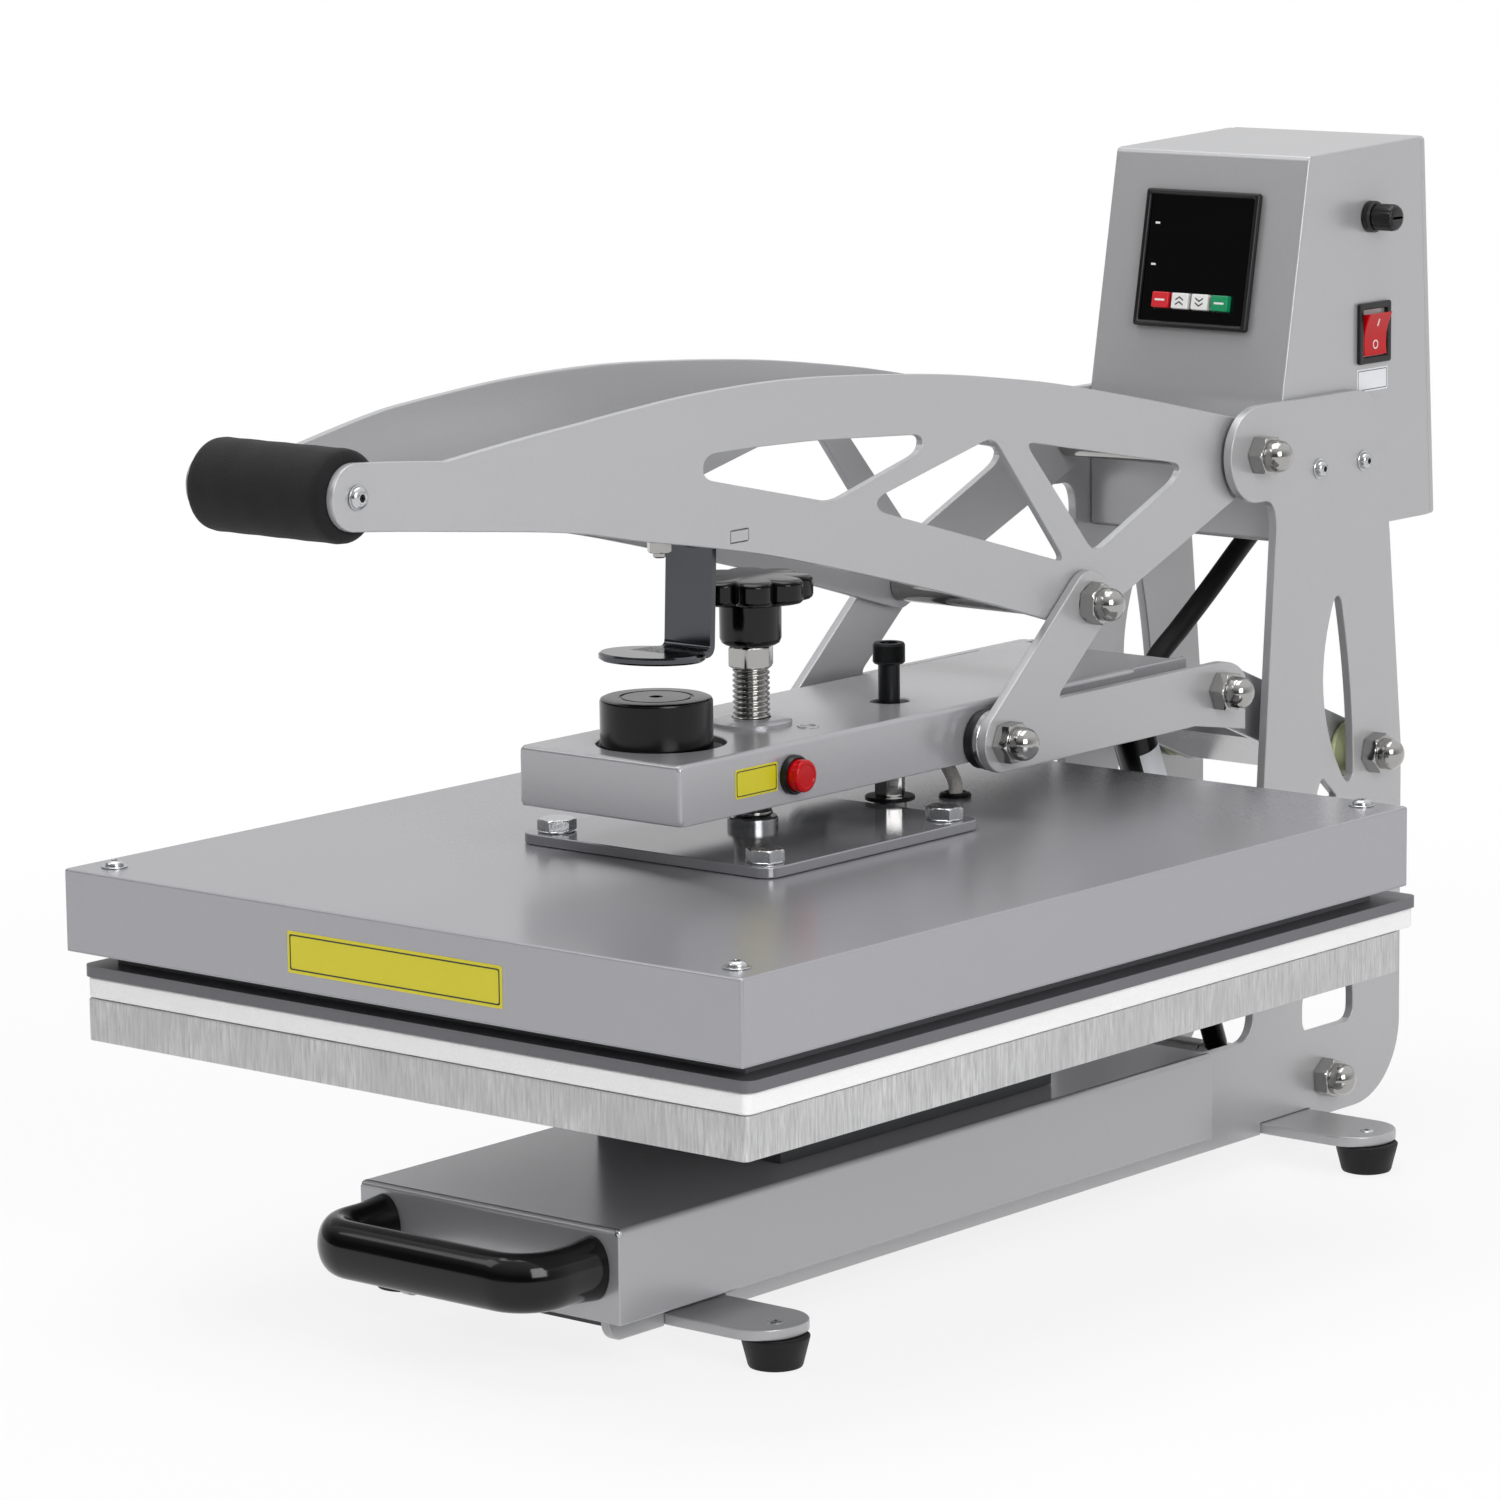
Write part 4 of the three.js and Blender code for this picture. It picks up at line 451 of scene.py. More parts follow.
def rounded(corners: Sequence[Point], radius: float) -> list[Point]:
    """Rounds the corners of a polygon.

    Args:
        corners: The polygon's corners.
        radius: How far from each corner its curve starts.

    Returns:
        The rounded outline.
    """
    count = len(corners)
    outline: Optional[Outline] = None
    for index, corner in enumerate(corners):
        here = Vector(corner)
        before, after = Vector(corners[index - 1]), Vector(corners[(index + 1) % count])
        cut_a, cut_b = (min(radius, (end - here).length * 0.48) for end in (before, after))
        start = here + (before - here).normalized() * cut_a
        end = here + (after - here).normalized() * cut_b
        if outline is None:
            outline = Outline(tuple(start))
        else:
            outline.line(tuple(start))
        outline.bend(tuple(here), tuple(end), 6)
    return outline.closed()


def middle_box(centre: Point, wide: float, tall: float, radius: float = 0.0) -> list[Point]:
    """Returns the outline of a rectangle by its centre, half width, half height and corners."""
    (x, y) = centre
    return rectangle(x - wide, x + wide, y - tall, y + tall, radius)


def rectangle(x0: float, x1: float, y0: float, y1: float, radius: float = 0.0) -> list[Point]:
    """Draws a rectangle.

    Args:
        x0: Its lower end in the plane's first direction.
        x1: Its upper end there.
        y0: Its lower end in the second direction.
        y1: Its upper end there.
        radius: The radius of its corners, or 0 for sharp ones.

    Returns:
        Its outline.
    """
    if radius <= 0:
        return [(x0, y0), (x1, y0), (x1, y1), (x0, y1)]
    left, right, low, high = x0 + radius, x1 - radius, y0 + radius, y1 - radius
    outline = Outline((left, y0))
    for index, centre in enumerate(((right, low), (right, high), (left, high), (left, low))):
        outline.arc(centre, radius, (index - 1) * QUARTER, index * QUARTER)
    return outline.closed()


def circle(centre: Point, radius: float, sides: int = 48) -> list[Point]:
    """Returns a circle's outline."""
    return [polar(centre, radius, tau / sides * i) for i in range(sides)]


def area(loop: Sequence[Point]) -> float:
    """Returns the signed area of a loop, positive if it runs anticlockwise."""
    return sum(
        loop[i - 1][0] * loop[i][1] - loop[i][0] * loop[i - 1][1] for i in range(len(loop))
    ) / 2


def inset(loop: Sequence[Point], distance: float) -> list[Point]:
    """Moves a loop towards its left-hand side.

    Args:
        loop: The closed line.
        distance: How far it moves, in millimetres.

    Returns:
        The moved loop, with as many points.
    """
    if distance == 0:
        return list(loop)
    moved = []
    count = len(loop)
    for index in range(count):
        here = Vector(loop[index])
        first = (here - Vector(loop[index - 1])).normalized()
        second = (Vector(loop[(index + 1) % count]) - here).normalized()
        normal_a, normal_b = Vector((-first.y, first.x)), Vector((-second.y, second.x))
        share = max(1 + normal_a.dot(normal_b), 0.5)
        moved.append(tuple(here + (normal_a + normal_b) * (distance / share)))
    return moved


# Forms


def axes(axis: Axis | Vector) -> tuple[Vector, Vector, Vector]:
    """Returns a direction and two directions across it.

    Args:
        axis: The direction, as an axis of the press or a vector.

    Returns:
        Three directions at right angles, the given one first.
    """
    direction = Vector(axis.value) if isinstance(axis, Axis) else axis.normalized()
    across = direction.orthogonal().normalized()
    return direction, across, direction.cross(across)


def ring(middle: Vector, across: Vector, other: Vector, sides: int,
         reach: Callable[[float], float] | float, turn: float = 0.0) -> list[Vector]:
    """Returns a ring of points.

    Args:
        middle: Its middle.
        across: The direction that it starts in.
        other: The direction a quarter turn on.
        sides: How many points it has.
        reach: Its radius, or a function that gives the radius at an angle.
        turn: How far the whole ring is turned, in radians.

    Returns:
        The points.
    """
    points = []
    for side in range(sides):
        angle = tau * side / sides
        radius = reach(angle) if callable(reach) else reach
        way = across * cos(angle + turn) + other * sin(angle + turn)
        points.append(middle + way * radius)
    return points


def span(side: int, near: float, far: float) -> list[float]:
    """Returns two distances from the middle as places on one side, the lower place first."""
    return sorted((side * near, side * far))


def linked(name: str, data: bpy.types.ID) -> bpy.types.Object:
    """Adds an object to the scene.

    Args:
        name: Its name.
        data: Its mesh, lamp or camera.

    Returns:
        The object.
    """
    made = bpy.data.objects.new(name, data)
    bpy.context.scene.collection.objects.link(made)
    return made


class Form:
    """A mesh in millimetres that grows piece by piece and becomes one object."""

    def __init__(self) -> None:
        """Starts an empty form."""
        self.mesh = bmesh.new()

    def add(self, points: Iterable[Vector], faces: Iterable[Sequence[int]]) -> "Form":
        """Adds points and the faces that join them.

        Args:
            points: The points, in millimetres.
            faces: Each face as the numbers of its points.

        Returns:
            The form.
        """
        corners = [self.mesh.verts.new(point) for point in points]
        for face in faces:
            try:
                self.mesh.faces.new([corners[i] for i in face])
            except ValueError:
                continue
        return self

    def plate(self, outline: Sequence[Point], low: float, high: float, plane: Plane,
              holes: Sequence[Sequence[Point]] = (), edge: float = 0.6, steps: int = 3) -> "Form":
        """Adds a flat plate with rounded edges.

        Args:
            outline: The plate's outline.
            low: Where it starts along the plane's normal.
            high: Where it ends.
            plane: The plane that the outline is drawn in.
            holes: Outlines of the openings through it.
            edge: The radius of its edges.
            steps: How many bands round each edge.

        Returns:
            The form.
        """
        loops = [list(outline) if area(outline) > 0 else list(reversed(outline))]
        loops += [list(hole) if area(hole) < 0 else list(reversed(hole)) for hole in holes]
        edge = min(edge, (high - low) * 0.49)
        levels = []
        for step in range(steps + 1):
            angle = QUARTER * step / steps
            levels.append((edge * (1 - sin(angle)), edge * (1 - cos(angle))))
        rings = [(off, low + rise) for off, rise in levels]
        rings += [(off, high - rise) for off, rise in reversed(levels)]
        total = sum(len(loop) for loop in loops)
        points = [plane.place(u, v, w) for off, w in rings for loop in loops
                  for u, v in inset(loop, off)]
        faces: list[tuple[int, ...]] = []
        for level in range(len(rings) - 1):
            start = level * total
            for loop in loops:
                for i in range(len(loop)):
                    j = (i + 1) % len(loop)
                    faces.append((start + i, start + j, start + total + j, start + total + i))
                start += len(loop)
        cap = tessellate_polygon(
            [[Vector((u, v, 0)) for u, v in inset(loop, edge)] for loop in loops])
        last = (len(rings) - 1) * total
        faces += [tuple(reversed(triangle)) for triangle in cap]
        faces += [tuple(i + last for i in triangle) for triangle in cap]
        return self.add(points, faces)

    def block(self, low: Sequence[float], high: Sequence[float], edge: float = 0.5) -> "Form":
        """Adds a box with round edges.

        Args:
            low: Its lowest corner.
            high: Its highest corner.
            edge: The radius of its edges.

        Returns:
            The form.
        """
        size = [b - a for a, b in zip(low, high)]
        edge = min(edge, min(size) * 0.45)
        outline = rectangle(low[0], high[0], low[1], high[1], edge)
        return self.plate(outline, low[2], high[2], Plane.PLAN, edge=edge)

    def skin(self, rings: Sequence[Sequence[Vector]], closed: bool = False,
             capped: bool = False) -> "Form":
        """Adds the skin that joins rings of points.

        Args:
            rings: Rings with as many points each, or with one point for a tip.
            closed: Whether the last ring joins the first.
            capped: Whether the end rings are filled.

        Returns:
            The form.
        """
        points: list[Vector] = []
        places = []
        for loop in rings:
            places.append(range(len(points), len(points) + len(loop)))
            points += loop
        faces: list[tuple[int, ...]] = []
        for lower, upper in list(zip(places, places[1:])) + [(places[-1], places[0])] * closed:
            for side in range(max(len(lower), len(upper))):
                face = (lower[side % len(lower)], lower[(side + 1) % len(lower)],
                        upper[(side + 1) % len(upper)], upper[side % len(upper)])
                faces.append(tuple(dict.fromkeys(face)))
        if capped:
            faces += [tuple(reversed(places[0])), tuple(places[-1])]
        return self.add(points, [face for face in faces if len(face) > 2])

    def turned(self, profile: Sequence[Point], centre: Sequence[float],
               axis: Axis | Vector = Axis.Z, sides: int = 48, closed: bool = False,
               reach: Optional[Callable[[float, float], float]] = None) -> "Form":
        """Adds a turned shape.

        Args:
            profile: Radius and place along the axis, point by point.
            centre: The point that the places count from.
            axis: The direction that the places count along.
            sides: How many faces go round.
            closed: Whether the profile's end joins its start, as on a ring.
            reach: A function from the profile's radius and an angle to the true radius.

        Returns:
            The form.
        """
        direction, across, other = axes(axis)
        rings = []
        for radius, along in profile:
            base = Vector(centre) + direction * along
            size = partial(reach, radius) if reach else radius
            rings.append(ring(base, across, other, sides, size) if radius else [base])
        return self.skin(rings, closed)

    def rod(self, radius: float, start: float, end: float, centre: Sequence[float],
            axis: Axis | Vector = Axis.Z, edge: float = 0.6, sides: int = 48) -> "Form":
        """Adds a round bar with chamfered ends.

        Args:
            radius: Its radius.
            start: Where it starts along its axis.
            end: Where it ends.
            centre: The point that the places count from.
            axis: Its direction.
            edge: The size of its chamfers.
            sides: How many faces go round.

        Returns:
            The form.
        """
        edge = min(edge, radius * 0.4, (end - start) * 0.4)
        profile = [(0, start), (radius - edge, start), (radius, start + edge),
                   (radius, end - edge), (radius - edge, end), (0, end)]
        return self.turned(profile, centre, axis, sides)

    def hexagon(self, flats: float, start: float, end: float, centre: Sequence[float],
                axis: Axis | Vector = Axis.Z, turn: float = 0.0, both: bool = False) -> "Form":
        """Adds a hexagon head or nut whose corners are turned off.

        Args:
            flats: The size across its flats.
            start: Where it starts along its axis.
            end: Where it ends, which is the turned-off end.
            centre: The point that the places count from.
            axis: Its direction.
            turn: How far it is turned, in radians.
            both: Whether the other end is turned off too.

        Returns:
            The form.
        """
        direction, across, other = axes(axis)
        half, sixth = flats / 2, pi / 3
        corner = half / cos(sixth / 2)
        drop = (corner - half) * 0.75
        cut = [(half * 0.96, 0.0), ((corner + flats) / 3, drop * 0.35), (corner, drop)]
        levels = [(start + rise, limit) for limit, rise in cut] if both else [(start, corner)]
        levels += [(end - rise, limit) for limit, rise in reversed(cut)]

        def reach(limit: float, angle: float) -> float:
            """Returns a hexagon's radius at an angle, cut to a circle."""
            return min(half / cos(angle % sixth - sixth / 2), limit)

        return self.skin([ring(Vector(centre) + direction * along, across, other, 48,
                               partial(reach, limit), turn) for along, limit in levels],
                         capped=True)

    def thread(self, radius: float, depth: float, pitch: float, start: float, end: float,
               centre: Sequence[float]) -> "Form":
        """Adds an upright screw thread.

        Args:
            radius: Its outer radius.
            depth: How deep the thread is cut.
            pitch: The rise of one turn.
            start: Where it starts above the centre.
            end: Where it ends.
            centre: The point that the places count from.

        Returns:
            The form.
        """
        bands = 6
        rows = int((end - start) / pitch * bands)
        levels = [start + (end - start) * row / rows for row in range(rows + 1)]

        def reach(rise: float, angle: float) -> float:
            """Returns the thread's radius at a height and an angle."""
            phase = (rise / pitch - angle / tau) % 1
            return radius - depth * (0.5 + 0.5 * cos(tau * phase)) ** 1.4

        return self.skin([ring(Vector(centre) + Vector((0, 0, rise)), Vector((1, 0, 0)),
                               Vector((0, 1, 0)), 36, partial(reach, rise)) for rise in levels],
                         capped=True)

    def tube(self, path: Sequence[Vector], radius: Callable[[float], float] | float,
             sides: int = 20, flat: float = 1.0) -> "Form":
        """Adds a solid tube along a path.

        Args:
            path: The points of its middle line.
            radius: Its radius, or a function of the share of its length.
            sides: How many faces go round.
            flat: Its height as a share of its width.

        Returns:
            The form.
        """
        last = len(path) - 1
        across = (path[1] - path[0]).orthogonal() if flat == 1.0 else Vector((0, 0, 1))
        rings = []
        for index, here in enumerate(path):
            ahead = (path[min(index + 1, last)] - path[max(index - 1, 0)]).normalized()
            across = (across - ahead * across.dot(ahead)).normalized()
            reach = radius(index / last) if callable(radius) else radius
            rings.append(ring(here, across * flat, ahead.cross(across), sides, reach))
        return self.skin(rings, capped=True)

    def sliced(self, normal: Axis, places: Iterable[float]) -> "Form":
        """Cuts the mesh across, so that it can bend there.

        Args:
            normal: The direction across the cuts.
            places: Where each cut is along it.

        Returns:
            The form.
        """
        direction = Vector(normal.value)
        for place in places:
            geometry = self.mesh.verts[:] + self.mesh.edges[:] + self.mesh.faces[:]
            bmesh.ops.bisect_plane(self.mesh, geom=geometry, plane_co=direction * place,
                                   plane_no=direction, dist=1e-4)
        return self

    def shaped(self, change: Callable[[Vector], Vector]) -> "Form":
        """Moves every point by a function.

        Args:
            change: A function from a point's place to its new place.

        Returns:
            The form.
        """
        for corner in self.mesh.verts:
            corner.co = change(corner.co)
        return self

    def moved(self, matrix: Matrix) -> "Form":
        """Moves the whole form by a matrix and returns it."""
        bmesh.ops.transform(self.mesh, matrix=matrix, verts=self.mesh.verts)
        return self

    def made(self, name: str, finish: Finish, body: str, stands_for: Sequence[str] = (),
             slot: str = "", sharp: float = 35.0) -> bpy.types.Object:
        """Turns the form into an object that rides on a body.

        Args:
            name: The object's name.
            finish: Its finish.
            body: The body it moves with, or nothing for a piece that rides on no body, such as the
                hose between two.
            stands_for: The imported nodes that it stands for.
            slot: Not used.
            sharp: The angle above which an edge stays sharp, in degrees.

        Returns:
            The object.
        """
        bmesh.ops.recalc_face_normals(self.mesh, faces=self.mesh.faces)
        self.moved(Matrix.Translation((0, REAR_SHIFT_MM * MM, 0)) @ Matrix.Scale(MM, 4))
        mesh = bpy.data.meshes.new(name)
        self.mesh.to_mesh(mesh)
        self.mesh.free()
        mesh.shade_smooth()
        mesh.set_sharp_from_angle(angle=radians(sharp))
        mesh.materials.append(finish.material())
        made = linked(name, mesh)
        if body:
            made.modifiers.new("even_shading", "WEIGHTED_NORMAL").keep_sharp = True
            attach(made, body)
        if stands_for:
            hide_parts(*stands_for)
        log.info("%s: %d faces, on %s", name, len(mesh.polygons), body or "two bodies")
        return made


def dress(node: str, finish: Finish, edge_mm: float = 0.0) -> bpy.types.Object:
    """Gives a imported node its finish, and round edges where its shape shows as it is.

    Args:
        node: The node's name.
        finish: Its finish.
        edge_mm: The radius of its edges, or 0 to leave them.

    Returns:
        The node's object.
    """
    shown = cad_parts[node]
    shown.data.materials.clear()
    shown.data.materials.append(finish.material())
    if edge_mm:
        soft = shown.modifiers.new("round_edges", "BEVEL")
        soft.width = edge_mm * MM
        soft.segments = 2
        soft.limit_method = "ANGLE"
        soft.angle_limit = radians(40)
    log.info("%s: packed shape kept", node)
    return shown


def smooth_path(points: Sequence[Sequence[float]], steps: int = 8) -> list[Vector]:
    """Draws a smooth line through points.

    Args:
        points: The points it passes.
        steps: How many pieces it has between each two.

    Returns:
        The points of the line.
    """
    places = [Vector(p) for p in points]
    line: list[Vector] = []
    for index in range(len(places) - 1):
        p0 = places[max(index - 1, 0)]
        p1, p2 = places[index], places[index + 1]
        p3 = places[min(index + 2, len(places) - 1)]
        for step in range(steps):
            t = step / steps
            line.append(
                0.5 * (2 * p1 + (p2 - p0) * t + (2 * p0 - 5 * p1 + 4 * p2 - p3) * t * t
                       + (3 * p1 - p0 - 3 * p2 + p3) * t ** 3)
            )
    line.append(places[-1])
    return line


def side_name(side: int) -> str:
    """Returns the word for the right side, +1, or the left side, -1."""
    return "right" if side > 0 else "left"


# Small fasteners and plates


@dataclass(frozen=True)
class CapNut:
    """A domed nut on the end of a shaft."""

    flats: float = 18.0
    height: float = 8.0
    dome_radius: float = 8.0
    dome_height: float = 10.0

    def put(self, form: Form, face: float, pin: Point, side: int, turn: float) -> None:
        """Adds the nut to a form.

        Args:
            form: The form it joins.
            face: The X place of the face it sits on, from the middle.
            pin: Its place along the press and its height.
            side: 1 on the right, -1 on the left.
            turn: How far it is turned, in radians.
        """
        axis, centre = Vector((side, 0, 0)), (side * face, *pin)
        form.hexagon(self.flats, 0, self.height, centre, axis, turn)
        radius, brim = self.dome_radius, self.height + self.dome_height / 3
        profile = [(0, self.height - 1), (radius - 0.4, self.height - 1),
                   (radius, self.height + 0.5), (radius, brim)]
        for step in range(1, 10):
            angle = QUARTER * step / 10
            profile.append((radius * cos(angle),
                            brim + self.dome_height * 2 / 3 * sin(angle)))
        profile.append((0, self.height + self.dome_height))
        form.turned(profile, centre, axis, 40)


def nutted_shaft(pin: Point, face: float, turn: float, core: float = 0.0,
                 spacers: Sequence[tuple[float, float, float]] = (), edge: float = 0.5) -> Form:
    """Returns a cross shaft with a domed nut on each end.

    Args:
        pin: Its place along the press and its height.
        face: Where its nuts sit, from the middle.
        turn: How far the nuts are turned, in radians.
        core: How far its thicker middle reaches to each side, or 0 for none.
        spacers: Radius, near end and far end of each spacer of one side.
        edge: The radius of the spacers' edges.

    Returns:
        The shaft's form.
    """
    centre = (0, *pin)
    form = Form().rod(6.0, -face - 0.3, face + 0.3, centre, Axis.X)
    if core:
        form.rod(9.0, -core, core, centre, Axis.X)
    for side in SIDES:
        CapNut().put(form, face, pin, side, turn * side)
        for radius, near, far in spacers:
            form.rod(radius, *span(side, near, far), centre, Axis.X, edge)
    return form


def pan_screw(form: Form, centre: Sequence[float], axis: Axis | Vector, radius: float,
              height: float) -> None:
    """Adds a pan head with a recess in its middle.

    Args:
        form: The form it joins.
        centre: Where its head sits.
        axis: The way it faces.
        radius: The head's radius.
        height: The head's height.
    """
    shares = ((0, 0), (1, 0), (1, 0.25), (0.93, 0.6), (0.75, 0.86), (0.5, 1), (0.36, 1),
              (0.2, 0.35), (0, 0.3))
    form.turned([(radius * out, height * up) for out, up in shares], centre, axis, 28)


class Screws:
    """Pan-head screws, and the painted shade of each head's cross recess as a second, darker form."""

    def __init__(self) -> None:
        """Starts with no screw."""
        self.heads, self.recess_shade = Form(), Form()

    def put(self, place: Sequence[float], normal: Vector, along: Vector, radius: float,
            height: float, washer: tuple[float, float, int] = (0.0, 0.0, 0)) -> None:
        """Adds a screw.

        Args:
            place: Where it sits.
            normal: The way its head faces.
            along: A direction of its recess.
            radius: The head's radius.
            height: The head's height.
            washer: The radius, thickness and number of sides of its washer, if it has one.
        """
        seat, other = Vector(place), normal.cross(along)
        washer_radius, thick, sides = washer
        if sides:
            self.heads.rod(washer_radius, 0, thick, seat, normal, 0.2, sides)
            seat += normal * thick
        pan_screw(self.heads, seat, normal, radius, height)
        # The cross recess is a dark block set into the head: painted shade, not a cut.
        half, width = radius * 0.55, radius * 0.11
        for first, second in ((along, other), (other, along)):
            self.recess_shade.skin([
                [seat + first * u + second * v + normal * w for u, v in (
                    (-half, -width), (half, -width), (half, width), (-half, width))]
                for w in (height * 0.5, height * 0.99)], capped=True)

    def made(self, name: str, body: str, place: Matrix = Matrix.Identity(4)) -> None:
        """Turns the screws into two objects.

        Args:
            name: What they hold, which starts both names.
            body: The body they ride on.
            place: The frame that they were drawn in.
        """
        self.heads.moved(place).made(f"{name}_screws", ZINC, body)
        # The recess blocks take the black finish as painted shade.
        self.recess_shade.moved(place).made(f"{name}_screw_recesses", BLACK_OXIDE_AND_RECESS_SHADE, body)


@dataclass(frozen=True)
class BlankPlate:
    """A printed plate that is left bare: a thin sheet with a fine line inside its edge."""

    name: str
    body: str
    finish: Finish
    plane: Plane
    face: float
    middle: Point
    half: Point
    corner: float
    margin: float
    line: float
    line_corners: Point = (1.0, 1.0)
    thick: float = 0.2
    line_rise: float = 0.04
    edges: Point = (0.1, 0.02)

    def around(self, gap: float, corner: float) -> list[Point]:
        """Returns the plate's outline moved in by a gap."""
        return middle_box(self.middle, self.half[0] - gap, self.half[1] - gap, corner)

    def build(self) -> None:
        """Builds the sheet and the line on it."""
        top = self.face + self.thick
        Form().plate(self.around(0, self.corner), self.face, top, self.plane,
                     edge=self.edges[0], steps=1).made(self.name, self.finish, self.body)
        outer = self.around(self.margin, self.line_corners[0])
        inner = self.around(self.margin + self.line, self.line_corners[1])
        Form().plate(outer, top - 0.02, top + self.line_rise, self.plane, [inner],
                     self.edges[1], 1).made(f"{self.name}_border", BLACK_INK, self.body)


# Base


@dataclass
class BaseFrame:
    """Side plates, foot bars, feet, runners and the three fixed shafts."""

    half_width: float = 65.0
    thickness: float = 5.0
    bottom: float = 14.5
    height: float = 50.0
    front: float = -188.0
    rear: float = 434.5
    corner: float = 40.0
    front_radius: float = 8.0
    lip_radius: float = 9.0
    throat: float = 303.7
    throat_radius: float = 14.0
    upright_front: float = 323.0
    upright_rear: float = 423.0
    upright_top: float = 310.0
    lug: float = 24.0
    arm_pin: Point = (308.0, 360.2)
    hinge_pin: Point = (407.6, 197.0)
    anchor_pin: Point = (366.0, 34.6)
    bars: dict[str, Point] = field(
        default_factory=lambda: {"front": (-129.0, 113.5), "rear": (332.0, 116.0)})
    bar_half: float = 21.0
    bar_z: float = 15.0
    bar_thickness: float = 5.2
    bar_overhang: float = 11.5
    foot_setback: float = 2.0
    roller_inner: float = 48.8
    box_screw_places: Sequence[float] = (359.5, 398.4)
    box_screw_height: float = 347.9

    def outline(self) -> list[Point]:
        """Returns the side plate's outline."""
        low, top, front = self.bottom, self.bottom + self.height, self.front
        floor, reach = self.bar_z + self.bar_thickness + 0.3, self.bar_half + 0.3
        lip, nose, corner = self.lip_radius, self.front_radius, self.corner
        throat, bow, lug, back = self.throat, self.throat_radius, self.lug, self.upright_rear
        arm_y, arm_z = self.arm_pin
        shape = Outline((front, low + lip))
        shape.arc((front + lip, low + lip), lip, QUARTER * 2, QUARTER * 3)
        for y, _ in self.bars.values():
            shape.line((y - reach, low), (y - reach, floor), (y + reach, floor), (y + reach, low))
        shape.arc((self.rear - corner, low + corner), corner, -QUARTER, 0)
        shape.line((self.rear, self.hinge_pin[1]), (back, self.upright_top), (back - 8, arm_z))
        shape.bend((back - 8, arm_z + lug), (back - 32, arm_z + lug)).line((arm_y, arm_z + lug))
        shape.arc(self.arm_pin, lug, QUARTER, QUARTER * 3).line((arm_y + 5, arm_z - lug))
        shape.bend((self.upright_front, arm_z - lug), (self.upright_front, arm_z - lug - 15))
        shape.line((throat, top + bow)).bend((throat, top), (throat - bow, top))
        shape.line((front + nose, top))
        shape.arc((front + nose, top - nose), nose, QUARTER, QUARTER * 2)
        return shape.closed()

    def windows(self) -> list[list[Point]]:
        """Returns the leaf slot, the window and the small triangle of a side plate."""
        y, z = self.hinge_pin
        top, bottom, tip = (y - 31, z + 85), (y - 20, z - 15), 3.5
        middle = ((top[0] + bottom[0]) / 2, (top[1] + bottom[1]) / 2)
        slot = Outline((top[0] - tip, top[1] - tip))
        slot.bend((middle[0] - 30, middle[1]), (bottom[0] - tip * 1.8, bottom[1] + tip * 2), 18)
        slot.bend((bottom[0], bottom[1] - tip * 0.4), (bottom[0] + tip, bottom[1] + tip * 2), 8)
        slot.bend((middle[0] + 9, middle[1]), (top[0] + tip, top[1] - tip), 18)
        slot.bend((top[0], top[1] + tip * 0.6), (top[0] - tip, top[1] - tip), 8)
        left = self.anchor_pin[0] - 19
        window = rounded([(left, 60), (left + 45, 60), (left + 45, 82), (left, 82)], 8)
        triangle = rounded([(y - 30, z - 19), (y - 44.25, z - 6.65), (y - 49, z - 16.15)], 3.2)
        return [slot.closed(), window, triangle]

    def build(self) -> None:
        """Builds the base's pieces."""
        inner = self.half_width - self.thickness
        for side in SIDES:
            Form().plate(self.outline(), *span(side, inner, self.half_width), Plane.SIDE,
                         self.windows(), 0.7).made(
                f"{side_name(side)}_side_plate", SILVER_POWDER, "base",
                [f"side_plate_{side_name(side)}"])
        self.build_feet()
        self.build_shafts(inner)
        self.build_screws()
        dress("base_floor_plate", DARK_POWDER, 0.4)
        for side in SIDES:
            dress(f"fixed_rail_{side_name(side)}", ZINC_STRIP, 0.3)

    def build_feet(self) -> None:
        """Builds the foot bars, their screws and the rubber feet."""
        foot = [(0, 0), (10.6, 0), (12.1, 0.5), (12.6, 1.5), (15.6, 13.4), (15.7, 14.3),
                (15.2, 14.8), (0, 14.8)]
        top = self.bar_z + self.bar_thickness
        for end, (bar_y, foot_x) in self.bars.items():
            y = bar_y - self.foot_setback
            Form().plate(middle_box((0, bar_y), foot_x + self.bar_overhang, self.bar_half, 20),
                         self.bar_z, top, Plane.PLAN, edge=0.8).made(
                f"{end}_foot_bar", SILVER_POWDER, "base", [f"foot_bar_{end}"])
            screws = Screws()
            for side in SIDES:
                x = side * foot_x
                Form().turned(foot, (x, y, 0), Axis.Z, 56).made(
                    f"{end}_{side_name(side)}_foot", RUBBER, "base",
                    [f"foot_{end}_{side_name(side)}"])
                screws.put((x, y, top - 0.4), Vector((0, 0, 1)), Vector((0.8, 0.6, 0)), 3.6, 1.2)
            screws.made(f"{end}_foot", "base")

